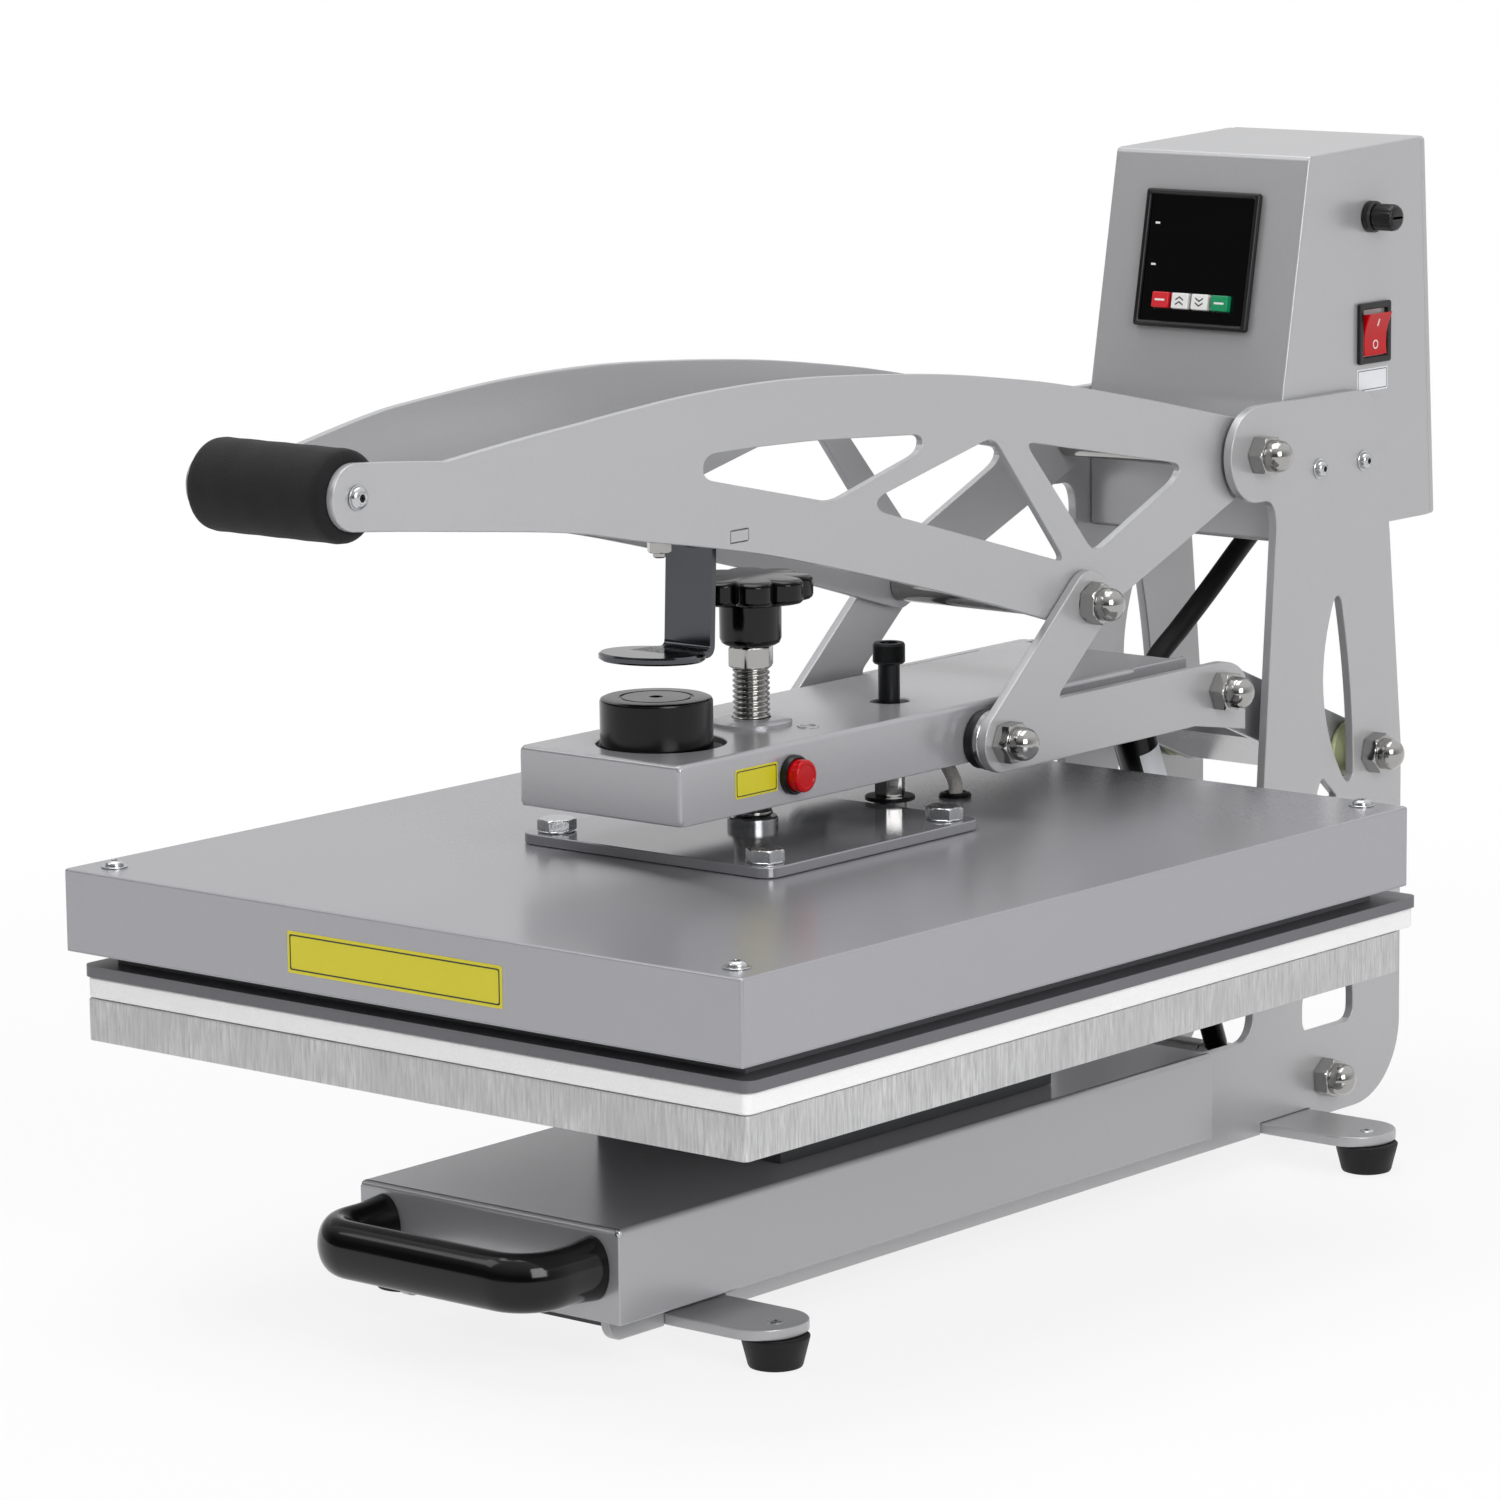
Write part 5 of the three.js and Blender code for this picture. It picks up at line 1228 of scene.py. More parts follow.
    def build_shafts(self, inner: float) -> None:
        """Builds the arm, hinge and anchor shafts with their spacers, and the hinge rollers.

        Args:
            inner: The side plates' inner faces, from the middle.
        """
        shafts = {
            "arm_shaft": (self.arm_pin, 0.2, 53.2, [(14.5, 57.8, inner - 0.3)]),
            "hinge_shaft": (self.hinge_pin, 0.5, 0.0, []),
            "anchor_shaft": (self.anchor_pin, 0.9, 0.0, [(9.0, 9.3, inner - 0.3)]),
        }
        for name, (pin, turn, core, spacers) in shafts.items():
            nutted_shaft(pin, self.half_width + 0.3, turn, core, spacers, 0.4).made(
                f"{name}_with_nuts", NICKEL, "base", [name])
        for side in SIDES:
            start, end = span(side, self.roller_inner, inner - 0.3)
            half = [(6.5, 0), (13.7, 0), (14.5, 0.8), (14.5, 2.2), (13.9, 2.8)]
            roller = [(radius, start + along) for radius, along in half]
            roller += [(radius, end - along) for radius, along in reversed(half)]
            Form().turned(roller, (0, *self.hinge_pin), Axis.X, 48, closed=True).made(
                f"{side_name(side)}_hinge_roller", NYLON, "base",
                [f"hinge_roller_{side_name(side)}"])

    def build_screws(self) -> None:
        """Builds the two screws a side that hold the control box to the uprights."""
        screws = Screws()
        for side in SIDES:
            for y in self.box_screw_places:
                screws.put((side * self.half_width, y, self.box_screw_height),
                           Vector((side, 0, 0)), Vector((0, 0.8, 0.6)), 4.2, 3.0, (5.2, 0.9, 32))
        screws.made("box", "base")


# Drawer


@dataclass
class Drawer:
    """The slide-out drawer with its pull, riser, lower platen and pad."""

    half: float = 78.3
    front: float = -195.6
    rear: float = 251.0
    bottom: float = 26.2
    top: float = 69.5
    wall: float = 2.5
    fold: float = 2.4
    handle_half: float = 72.0
    handle_reach: float = 52.0
    handle_thick: float = 18.0
    handle_tall: float = 27.0
    handle_bend: float = 19.0
    handle_rise: float = 2.6
    platen_half: float = 197.5
    platen_front: float = -249.4
    platen_rear: float = 237.6
    platen_low: float = 128.2
    platen_high: float = 148.0
    pad_half: Point = (198.0, 249.0)
    pad_low: float = 148.3
    pad_high: float = 157.9

    def build(self) -> None:
        """Builds the drawer's pieces."""
        self.build_cover()
        self.build_pull()
        dress("platen_riser", DARK_POWDER, 0.5)
        for side in SIDES:
            dress(f"sliding_rail_{side_name(side)}", ZINC_STRIP, 0.3)
        Form().plate(rectangle(-self.platen_half, self.platen_half, self.platen_front,
                               self.platen_rear, 3.0), self.platen_low, self.platen_high,
                     Plane.PLAN, edge=0.7).made("lower_platen_plate", BRUSHED_ALUMINIUM,
                                                "drawer", ["lower_platen"])
        pad = Form().plate(middle_box((0, 0), *self.pad_half, 4.0), self.pad_low, self.pad_high,
                           Plane.PLAN, edge=0.9).made("silicone_pad", SILICONE, "drawer",
                                                      ["press_pad"])

    def build_cover(self) -> None:
        """Builds the folded cover: top, two sides, a welded front and its weld's bead."""
        half, fold = self.half, self.top - self.fold
        cover = Form().plate(rectangle(-half, half, self.front, self.rear, 1.6),
                             self.top - self.fold - 2.6, self.top, Plane.PLAN, edge=self.fold,
                             steps=5)
        for side in SIDES:
            cover.plate(rectangle(self.front + 0.2, self.rear - 0.02, self.bottom, fold, 0.6),
                        *span(side, half - self.wall + 0.01, half - 0.01), Plane.SIDE, edge=0.6)
        cover.plate(rectangle(-half + 0.05, half - 0.05, self.bottom + 0.02, fold, 0.6),
                    -self.front - self.wall, -self.front - 0.02, Plane.FRONT, edge=0.6)
        cover.made("drawer_cover_sheet", SILVER_POWDER_DEEP, "drawer", ["drawer_cover"])
        bead = [(0, -1.8), (1.1, -1.5), (1.7, -0.5), (1.7, 0.5), (1.1, 1.5), (0, 1.8)]
        Form().turned(bead, (half - 0.5, self.front + 0.5, self.top - 1.2), Axis.Z, 20).made(
            "drawer_weld_bead", ZINC, "drawer")

    def build_pull(self) -> None:
        """Builds the glossy pull as one bent bar of oval section."""
        z = (self.bottom + self.top) / 2 + self.handle_rise
        x = self.handle_half - self.handle_thick / 2
        foot = self.front - 0.3
        far = self.front - self.handle_reach + self.handle_thick / 2
        bend = self.handle_bend
        leg = [Vector((-x, foot + (far + bend - foot) * step / 5, z)) for step in range(5)]
        for step in range(13):
            across, along = polar((-x + bend, far + bend), bend, HALF_TURN + QUARTER * step / 12)
            leg.append(Vector((across, along, z)))
        path = leg + [Vector(((x - bend) * (step / 6 - 1), far, z)) for step in range(1, 12)]
        path += [Vector((-p.x, p.y, p.z)) for p in reversed(leg)]

        def girth(share: float) -> float:
            """Returns the bar's half thickness, a little wider at its two feet."""
            end = min(share, 1 - share)
            return self.handle_thick / 2 * (1.0 + 0.1 * max(0.0, 1 - end / 0.06))

        Form().tube(path, girth, 40, self.handle_tall / self.handle_thick).made(
            "drawer_pull", PHENOLIC, "drawer", ["pull_handle"], sharp=60)


# Upper platen


@dataclass
class UpperPlaten:
    """Heating plate, its cover, the pressure plate and what stands on them."""

    half: float = 202.4
    front: float = -256.65
    rear: float = 236.55
    bottom: float = 170.5
    top: float = 209.1
    wall: float = 2.0
    corner_screws: Sequence[Point] = (
        (-185.8, -240.5), (186.2, -240.5), (-184.0, 224.5), (184.0, 224.5))
    screw: Point = (0.0, -7.5)
    plate_half: float = 76.0
    plate_front: float = -87.0
    plate_rear: float = 70.0
    plate_z: float = 209.4
    plate_thickness: float = 5.0
    bolt_inset: float = 13.0
    guide: Point = (12.0, 80.0)
    guide_head_z: float = 280.5
    leads: Point = (11.9, 130.25)
    leads_radius: float = 3.4

    def build(self) -> None:
        """Builds the upper platen's pieces."""
        dress("heating_plate", COATED_ALUMINIUM, 0.4)
        self.build_cover()
        self.build_pressure_plate()
        self.build_guide_screw()
        self.build_cable()
        BlankPlate("front_plate", "upper_platen", YELLOW_VINYL, Plane.FRONT, -self.front,
                   (3.5, 188.1), (64.2, 9.5), 1.0, margin=1.4, line=0.7, thick=0.22).build()

    def build_cover(self) -> None:
        """Builds the cover of the heating plate as a shallow tray turned over."""
        cover = Form().plate(
            rectangle(-self.half, self.half, self.front, self.rear, 2.2), self.top - self.wall,
            self.top, Plane.PLAN, [circle(self.leads, 5.6)], 1.2)
        for side in SIDES:
            cover.plate(
                rectangle(self.front + 0.3, self.rear - 0.3, self.bottom, self.top - 0.3, 0.8),
                *span(side, self.half - self.wall + 0.01, self.half - 0.01), Plane.SIDE, edge=0.9)
        end = rectangle(-self.half + 0.3, self.half - 0.3, self.bottom + 0.02, self.top - 0.3, 0.8)
        for low, high in ((-self.rear + 0.02, -self.rear + self.wall),
                          (-self.front - self.wall, -self.front - 0.02)):
            cover.plate(end, low, high, Plane.FRONT, edge=0.9)
        cover.made("platen_cover_tray", SILVER_POWDER_GLOSS, "upper_platen", ["platen_cover"])
        screws = Screws()
        for x, y in self.corner_screws:
            screws.put((x, y, self.top), Vector((0, 0, 1)), Vector((0.9, 0.43, 0)), 4.4, 2.4,
                       (6.2, 0.8, 36))
        screws.made("cover", "upper_platen")

    def build_pressure_plate(self) -> None:
        """Builds the plate that spreads the pressure, with its four bolts and the screw's seat."""
        high = self.plate_z + self.plate_thickness
        # The plate's dark grey is painted shade and a painted reflection of the beam above it.
        Form().plate(
            rectangle(-self.plate_half, self.plate_half, self.plate_front, self.plate_rear, 8),
            self.plate_z, high, Plane.PLAN, edge=0.7).made(
                "pressure_spreader_plate", SILVER_POWDER_POLISHED_PAINTED_SHADE, "upper_platen",
                ["pressure_plate"])
        bolts = Form()
        for side in SIDES:
            for y in (self.plate_front + self.bolt_inset, self.plate_rear - self.bolt_inset):
                place = (side * (self.plate_half - self.bolt_inset), y, high)
                bolts.rod(9.0, 0, 1.0, place, Axis.Z, 0.3)
                bolts.hexagon(16.0, 1.0, 6.4, place, Axis.Z, 0.35 + side * 0.3)
        seat = [(7.3, 0), (12.0, 0), (12.0, 3.9), (11.4, 4.6), (7.3, 4.6)]
        bolts.turned(seat, (*self.screw, high), Axis.Z, 48, closed=True)
        bolts.made("pressure_plate_bolts", ZINC, "upper_platen")

    def build_guide_screw(self) -> None:
        """Builds the socket screw that guides the platen, and its nut on the cover."""
        x, y = self.guide
        foot, head = self.plate_z + 5.6, self.guide_head_z
        nut = Form().rod(8.0, 0, foot - self.plate_z + 0.4, (x, y, self.plate_z), Axis.Z, 0.2)
        nut.hexagon(13.0, 1.8, 15.0, (x, y, foot), Axis.Z, 0.2, both=True)
        nut.made("guide_screw_nut", NICKEL, "upper_platen")
        # A black ring under the nut.
        Form().rod(12.0, 0, 2.0, (x, y, foot), Axis.Z, 0.3).made(
            "guide_screw_black_ring", BLACK_OXIDE_AND_RECESS_SHADE, "upper_platen")
        screw = Form().rod(5.2, self.plate_z + 8, head + 0.5, (x, y, 0), Axis.Z)
        profile = [(0, 0), (7.0, 0), (7.8, 0.9)]
        for band in range(16):
            profile += [(7.8, 1.2 + band * 0.48), (7.55, 1.44 + band * 0.48)]
        profile += [(7.8, 9.0), (7.1, 10.0), (4.4, 10.0), (4.0, 5.0), (0, 5.0)]
        screw.turned(profile, (x, y, head), Axis.Z, 48)
        screw.made("guide_socket_screw", BLACK_OXIDE_AND_RECESS_SHADE, "upper_platen", ["guide_screw"])

    def build_cable(self) -> None:
        """Builds the woven heater leads and the grommet that they leave by."""
        (x, y), r, top = self.leads, self.leads_radius, self.top
        path = smooth_path([(x, y, top - 2), (x, y, top + r * 2), (x - r, y - r, top + r * 5),
                            (x - r * 3, y - r * 2, top + r * 9)], 10)
        Form().tube(path, r, 20).made("heater_leads", GLASS_SLEEVE, "upper_platen",
                                      ["platen_cable"], sharp=60)
        grommet = [(3.7, -0.2), (7.6, -0.2), (8.0, 0.6), (7.4, 1.6), (5.6, 2.1), (4.0, 1.4)]
        Form().turned(grommet, (x, y, top), Axis.Z, 36, closed=True).made(
            "lead_grommet", BLACK_ABS, "upper_platen")


# Beam


@dataclass
class Beam:
    """The channel that carries the platen, with the magnet and the stop button."""

    half: float = 48.5
    wall: float = 4.0
    front: float = -115.5
    top: float = 262.5
    height: float = 28.3
    web_rear: float = 261.0
    kink: float = 285.0
    hinge: Point = (407.6, 197.0)
    tail: float = 15.0
    beam_pin: Point = (103.6, 244.6)
    spring_pin: Point = (278.5, 245.7)
    magnet_y: float = -75.0
    magnet_radius: float = 26.0
    button: Point = (-36.8, 247.6)
    nut_face: float = 63.3
    fold: float = 2.6
    screw: Point = (0.0, -7.5)
    guide: Point = (12.0, 80.0)
    floor_front: float = 328.0
    floor_rear: float = 400.0
    gland: Point = (-22.0, 338.0)

    def tail_angle(self) -> float:
        """Returns the slope of the tail, in radians."""
        drop, run = self.hinge[1] - self.top, self.hinge[0] - self.kink
        return atan2(drop, run) + asin(self.tail / hypot(drop, run))

    def tail_line(self, offset: float) -> Callable[[float], float]:
        """Draws a straight line along the tail.

        Args:
            offset: How far it is above the tail's middle line.

        Returns:
            A function from a place along the press to the line's height there.
        """
        angle = self.tail_angle()
        y0, z0 = polar(self.hinge, offset, angle + QUARTER)
        return lambda y: z0 + (y - y0) * tan(angle)

    def tail_outline(self) -> list[Point]:
        """Returns the outline of a side flange behind the toggle plates."""
        angle = self.tail_angle()
        lower, upper = self.tail_line(-self.tail), self.tail_line(self.tail)
        low, start, notch = self.top - self.height, 225, 8.6
        y, z = self.spring_pin
        rear = self.hinge[0] - self.tail
        shape = Outline((start, low + 0.02)).line(
            (y - 21, low + 0.02), (y - 12, z - self.tail), (y + 6, lower(y + 6)),
            (rear, lower(rear)))
        shape.arc(self.hinge, self.tail, angle - QUARTER, angle + QUARTER)
        shape.line((y + notch + 16, upper(y + notch + 16)), (y + notch, z + 3), (y + notch, z))
        shape.arc((y, z), notch, 0, -HALF_TURN)
        shape.line((y - notch, self.top - 0.02), (start, self.top - 0.02))
        return shape.closed()

    def build(self) -> None:
        """Builds the beam's pieces."""
        self.build_channel()
        self.build_magnet()
        self.build_button()
        self.build_shaft()
        self.build_gland()

    def build_channel(self) -> None:
        """Builds the folded channel, its tail flanges and the boss for the screw."""
        bend, low = self.fold, self.top - self.height
        web, arc = self.half - bend, bend * QUARTER
        reach = web + arc + self.height - bend
        holes = [circle((0, self.magnet_y + 3), 30, 72), circle(self.guide, 9.4),
                 circle(self.screw, 9.3)]
        sheet = Form().plate(
            rectangle(-reach, reach, self.front + 1.7, self.web_rear), -self.wall, 0, Plane.PLAN,
            holes, 0.8)
        cuts = [side * (web + arc * step / 6) for side in SIDES for step in range(7)]
        sheet.sliced(Axis.X, cuts)

        def folded(place: Vector) -> Vector:
            """Folds the flat sheet down at the channel's two bends.

            Args:
                place: A point of the flat sheet.

            Returns:
                Where it lies on the channel.
            """
            side, run = (1 if place.x >= 0 else -1), abs(place.x)
            if run <= web:
                return Vector((place.x, place.y, self.top + place.z))
            if run <= web + arc:
                angle = (run - web) / bend
                reach_out = bend + place.z
                return Vector((side * (web + reach_out * sin(angle)), place.y,
                               self.top - bend + reach_out * cos(angle)))
            return Vector((side * (self.half + place.z), place.y,
                           self.top - bend - (run - web - arc)))

        sheet.shaped(folded)
        sheet.plate(rectangle(-self.half + 0.05, self.half - 0.05, low + 0.02, self.top - 0.05, 3.2),
                    -self.front - self.wall, -self.front, Plane.FRONT, edge=1.9, steps=6)
        for side in SIDES:
            sheet.plate(self.tail_outline(), *span(side, self.half - self.wall, self.half - 0.03),
                        Plane.SIDE, edge=0.7)
        lower, upper = self.tail_line(-self.tail + 0.3), self.tail_line(-self.tail + self.wall)
        front, rear = self.floor_front, self.floor_rear
        floor = [(front, lower(front)), (rear, lower(rear)), (rear, upper(rear)),
                 (front, upper(front))]
        sheet.plate(floor, -self.half + self.wall, self.half - self.wall, Plane.SIDE, edge=0.4)
        boss = [(9.3, -0.2), (19.0, -0.2), (19.0, 1.4), (17.4, 2.6), (13.0, 3.0), (9.3, 3.0)]
        sheet.turned(boss, (*self.screw, self.top), Axis.Z, 56, closed=True)
        eyelet = [(3.4, -0.1), (5.4, -0.1), (5.0, 0.5), (3.8, 0.5)]
        sheet.turned(eyelet, (27.4, 0.7, self.top), Axis.Z, 32, closed=True)
        sheet.made("beam_channel", SILVER_POWDER_DEEP, "beam", ["beam"])

    def build_magnet(self) -> None:
        """Builds the magnet pot with the ring round its core, and the strap below it."""
        r, low, top, y = self.magnet_radius, 240.0, 284.1, self.magnet_y
        profile = [(0, low), (r, low), (r, top - 1.6), (r - 0.5, top - 0.6), (r - 1.8, top),
                   (17.4, top), (17.0, top - 0.5), (16.0, top - 0.5), (15.6, top), (3.2, top),
                   (2.6, top - 1.2), (0, top - 1.2)]
        Form().turned(profile, (0, y, 0), Axis.Z, 72).made(
            "magnet_pot", ENAMEL, "beam", ["electromagnet"])
        reach = self.half - self.wall - 0.3
        Form().block((-reach, y - 15, low - 4), (reach, y + 15, low + 0.2), 0.5).made(
            "magnet_strap", ZINC_STRIP, "beam")

    def build_button(self) -> None:
        """Builds the stop button with its bezel, and the blank yellow plate beside it."""
        bezel = Vector((self.half + 0.3, *self.button))
        outline = [(7.9, 0), (9.2, 0), (9.2, 2.2), (8.6, 3.4), (7.9, 3.4)]
        Form().turned(outline, bezel, Axis.X, 48, closed=True).made(
            "stop_bezel", BLACK_ABS, "beam", ["stop_button_ring"])
        rest = bezel + Vector((3.3, 0, 0))
        cap = [(0, -4), (7.4, -4), (7.6, 4.0), (7.2, 4.9), (6.4, 5.4), (5.6, 5.4), (5.2, 5.0),
               (0, 5.0)]
        button = Form().turned(cap, rest, Axis.X, 48).rod(5.0, -10.5, -3.8, rest, Axis.X)
        button.made("stop_push_button", RED_LENS, "stop_button", ["stop_button"])
        BlankPlate("stop_plate", "beam", YELLOW_VINYL, Plane.SIDE, self.half, (-62.3, 248.4),
                   (15.0, 6.8), 1.2, margin=0.9, line=0.5).build()

    def build_shaft(self) -> None:
        """Builds the shaft that joins the toggle plates to the beam, its spacers, and black rings
        between the spacers and the beam.
        """
        nutted_shaft(self.beam_pin, self.nut_face, 0.35, 44.2).made(
            "beam_shaft_with_nuts", NICKEL, "beam", ["beam_shaft"])
        # A light spacer sits against each toggle plate, and a black ring fills the gap from it to the
        # beam.
        for name, finish, radius, near, far in (
                ("spacers", ZINC_STRIP, 14.5, 54.2, 57.7), ("black_rings", BLACK_ABS, 14.1, 48.8, 54.3)):
            rings = Form()
            for side in SIDES:
                rings.rod(radius, *span(side, near, far), (0, *self.beam_pin), Axis.X, 0.6)
            rings.made(f"beam_shaft_{name}", finish, "beam")

    def build_gland(self) -> None:
        """Builds the gland that takes the wiring hose through the tail's floor."""
        up = Vector((0, *polar((0, 0), 1, self.tail_angle() + QUARTER)))
        foot = Vector((*self.gland, self.tail_line(-self.tail + self.wall + 0.3)(self.gland[1])))
        form = Form().hexagon(14.0, 0, 6.0, foot, up, 0.2)
        form.turned([(0, 5.5), (6.6, 5.5), (6.6, 7.5), (6.9, 8.0), (6.9, 10.0), (6.0, 11.0),
                     (5.2, 11.0), (0, 10.6)], foot, up, 36)
        form.made("hose_gland_nut", BLACK_ABS, "beam", ["hose_gland"])


# Pressure screw


@dataclass
class PressureScrew:
    """The threaded spindle with its lock nut and the star knob."""

    y: float = -7.5
    bottom: float = 214.7
    radius: float = 8.8
    thread_depth: float = 1.15
    pitch: float = 2.5
    collar_z: float = 219.3
    nut_z: float = 289.0
    nut_height: float = 10.5
    hub_z: float = 299.8
    hub_height: float = 18.5
    knob_radius: float = 29.5
    knob_height: float = 14.5
    lobes: int = 8
    lobe_radius: float = 9.0

    def build(self) -> None:
        """Builds the spindle and the knob."""
        centre, nut_top = (0, self.y, 0), self.nut_z + self.nut_height
        form = Form().rod(7.0, self.bottom, self.collar_z + 0.3, centre)
        form.rod(9.5, self.collar_z, self.collar_z + 3, centre, Axis.Z, 0.8)
        form.thread(self.radius, self.thread_depth, self.pitch, self.collar_z + 2.8,
                    self.nut_z + 0.4, centre)
        form.hexagon(19.0, self.nut_z, nut_top, centre, Axis.Z, 0.25, both=True)
        form.rod(8.2, nut_top - 0.2, self.hub_z + 14.6, centre)
        form.made("pressure_spindle_thread", NICKEL, "pressure_screw", ["pressure_spindle"],
                  "machined_steel", 50)
        self.build_knob()

    def reach(self, share: float, angle: float) -> float:
        """Returns the star's radius.

        Args:
            share: The share of the full radius, where the lobes fade towards the middle.
            angle: The angle round the knob.

        Returns:
            The radius there, in millimetres.
        """
        step = tau / self.lobes
        turn = angle - round(angle / step) * step
        middle = self.knob_radius - self.lobe_radius
        lobe = middle * cos(turn) - self.knob_radius + sqrt(
            self.lobe_radius ** 2 - (middle * sin(turn)) ** 2)
        return self.knob_radius * share + lobe * max(0.0, (share - 0.4) / 0.6)

    def build_knob(self) -> None:
        """Builds the star knob: a hub and a ring of lobes with a domed top."""
        star, top = self.hub_z + self.hub_height, self.knob_height
        hub = [(8.7, self.hub_z + 0.2), (12.0, self.hub_z), (13.6, self.hub_z + 1.0),
               (14.5, self.hub_z + 3.2), (14.6, star + 1), (8.7, star + 1)]
        form = Form().turned(hub, (0, self.y, 0), Axis.Z, 56, closed=True)
        profile = [(0.0, 0.2), (0.5, 0.2), (0.86, 1.9), (0.95, 2.6), (0.99, 3.6), (1.0, 4.8),
                   (1.0, top - 3.2), (0.99, top - 2.2), (0.955, top - 1.3), (0.9, top - 0.85),
                   (0.8, top - 0.6), (0.6, top - 0.25), (0.3, top - 0.05), (0.0, top)]
        form.turned(profile, (0, self.y, star), Axis.Z, 30 * self.lobes, reach=self.reach)
        form.made("star_hand_knob", PHENOLIC, "pressure_screw", ["star_knob"], sharp=50)


# Linkage


@dataclass
class TogglePlates:
    """The two plates that tie the arms to the beam and the gas spring."""

    inner: float = 58.0
    thickness: float = 5.0
    beam_pin: Point = (103.6, 244.6)
    link_pin: Point = (171.6, 302.7)
    spring_pin: Point = (278.5, 245.7)
    link_radius: float = 15.5
    link_hole: float = 8.8
    beam_radius: float = 15.0
    tail: float = 21.0
    nut_face: float = 63.3

    def outline(self) -> list[Point]:
        """Returns the plate's outline: one leg up to the arms, one back to the spring."""
        (by, bz), (ly, lz), (sy, sz) = self.beam_pin, self.link_pin, self.spring_pin
        leg = atan2(lz - bz, ly - by)
        top = bz + self.beam_radius
        right = polar(self.link_pin, self.link_radius, leg - QUARTER)
        crotch = right[0] - (right[1] - top) / tan(leg)
        r = self.beam_radius
        shape = Outline((by, bz - r)).line(
            (sy - self.tail, sz - r), (sy + self.tail, sz - 22), (sy + self.tail, sz + r / 3))
        shape.bend((sy + self.tail * 0.7, sz + r * 0.9), (sy, sz + r * 0.95))
        shape.line((crotch + r / 3, top))
        shape.bend((crotch, top), (crotch + r / 4, top + r / 4))
        shape.line(right)
        shape.arc(self.link_pin, self.link_radius, leg - QUARTER, leg + QUARTER)
        shape.arc(self.beam_pin, r, leg + QUARTER, QUARTER * 3)
        return shape.closed()

    def build(self) -> None:
        """Builds the plates and the spring pin's shaft."""
        for side in SIDES:
            Form().plate(self.outline(), *span(side, self.inner, self.inner + self.thickness),
                         Plane.SIDE, [circle(self.link_pin, self.link_hole)], 0.7).made(
                f"{side_name(side)}_toggle_plate", SILVER_POWDER, "toggle",
                [f"toggle_plate_{side_name(side)}"])
        spacers = [(9.0, 11.8, 44.2), (9.0, 48.8, 57.7)]
        nutted_shaft(self.spring_pin, self.nut_face, 0.15, 0.0, spacers).made(
            "spring_pin_with_nuts", NICKEL, "toggle", ["spring_shaft"])


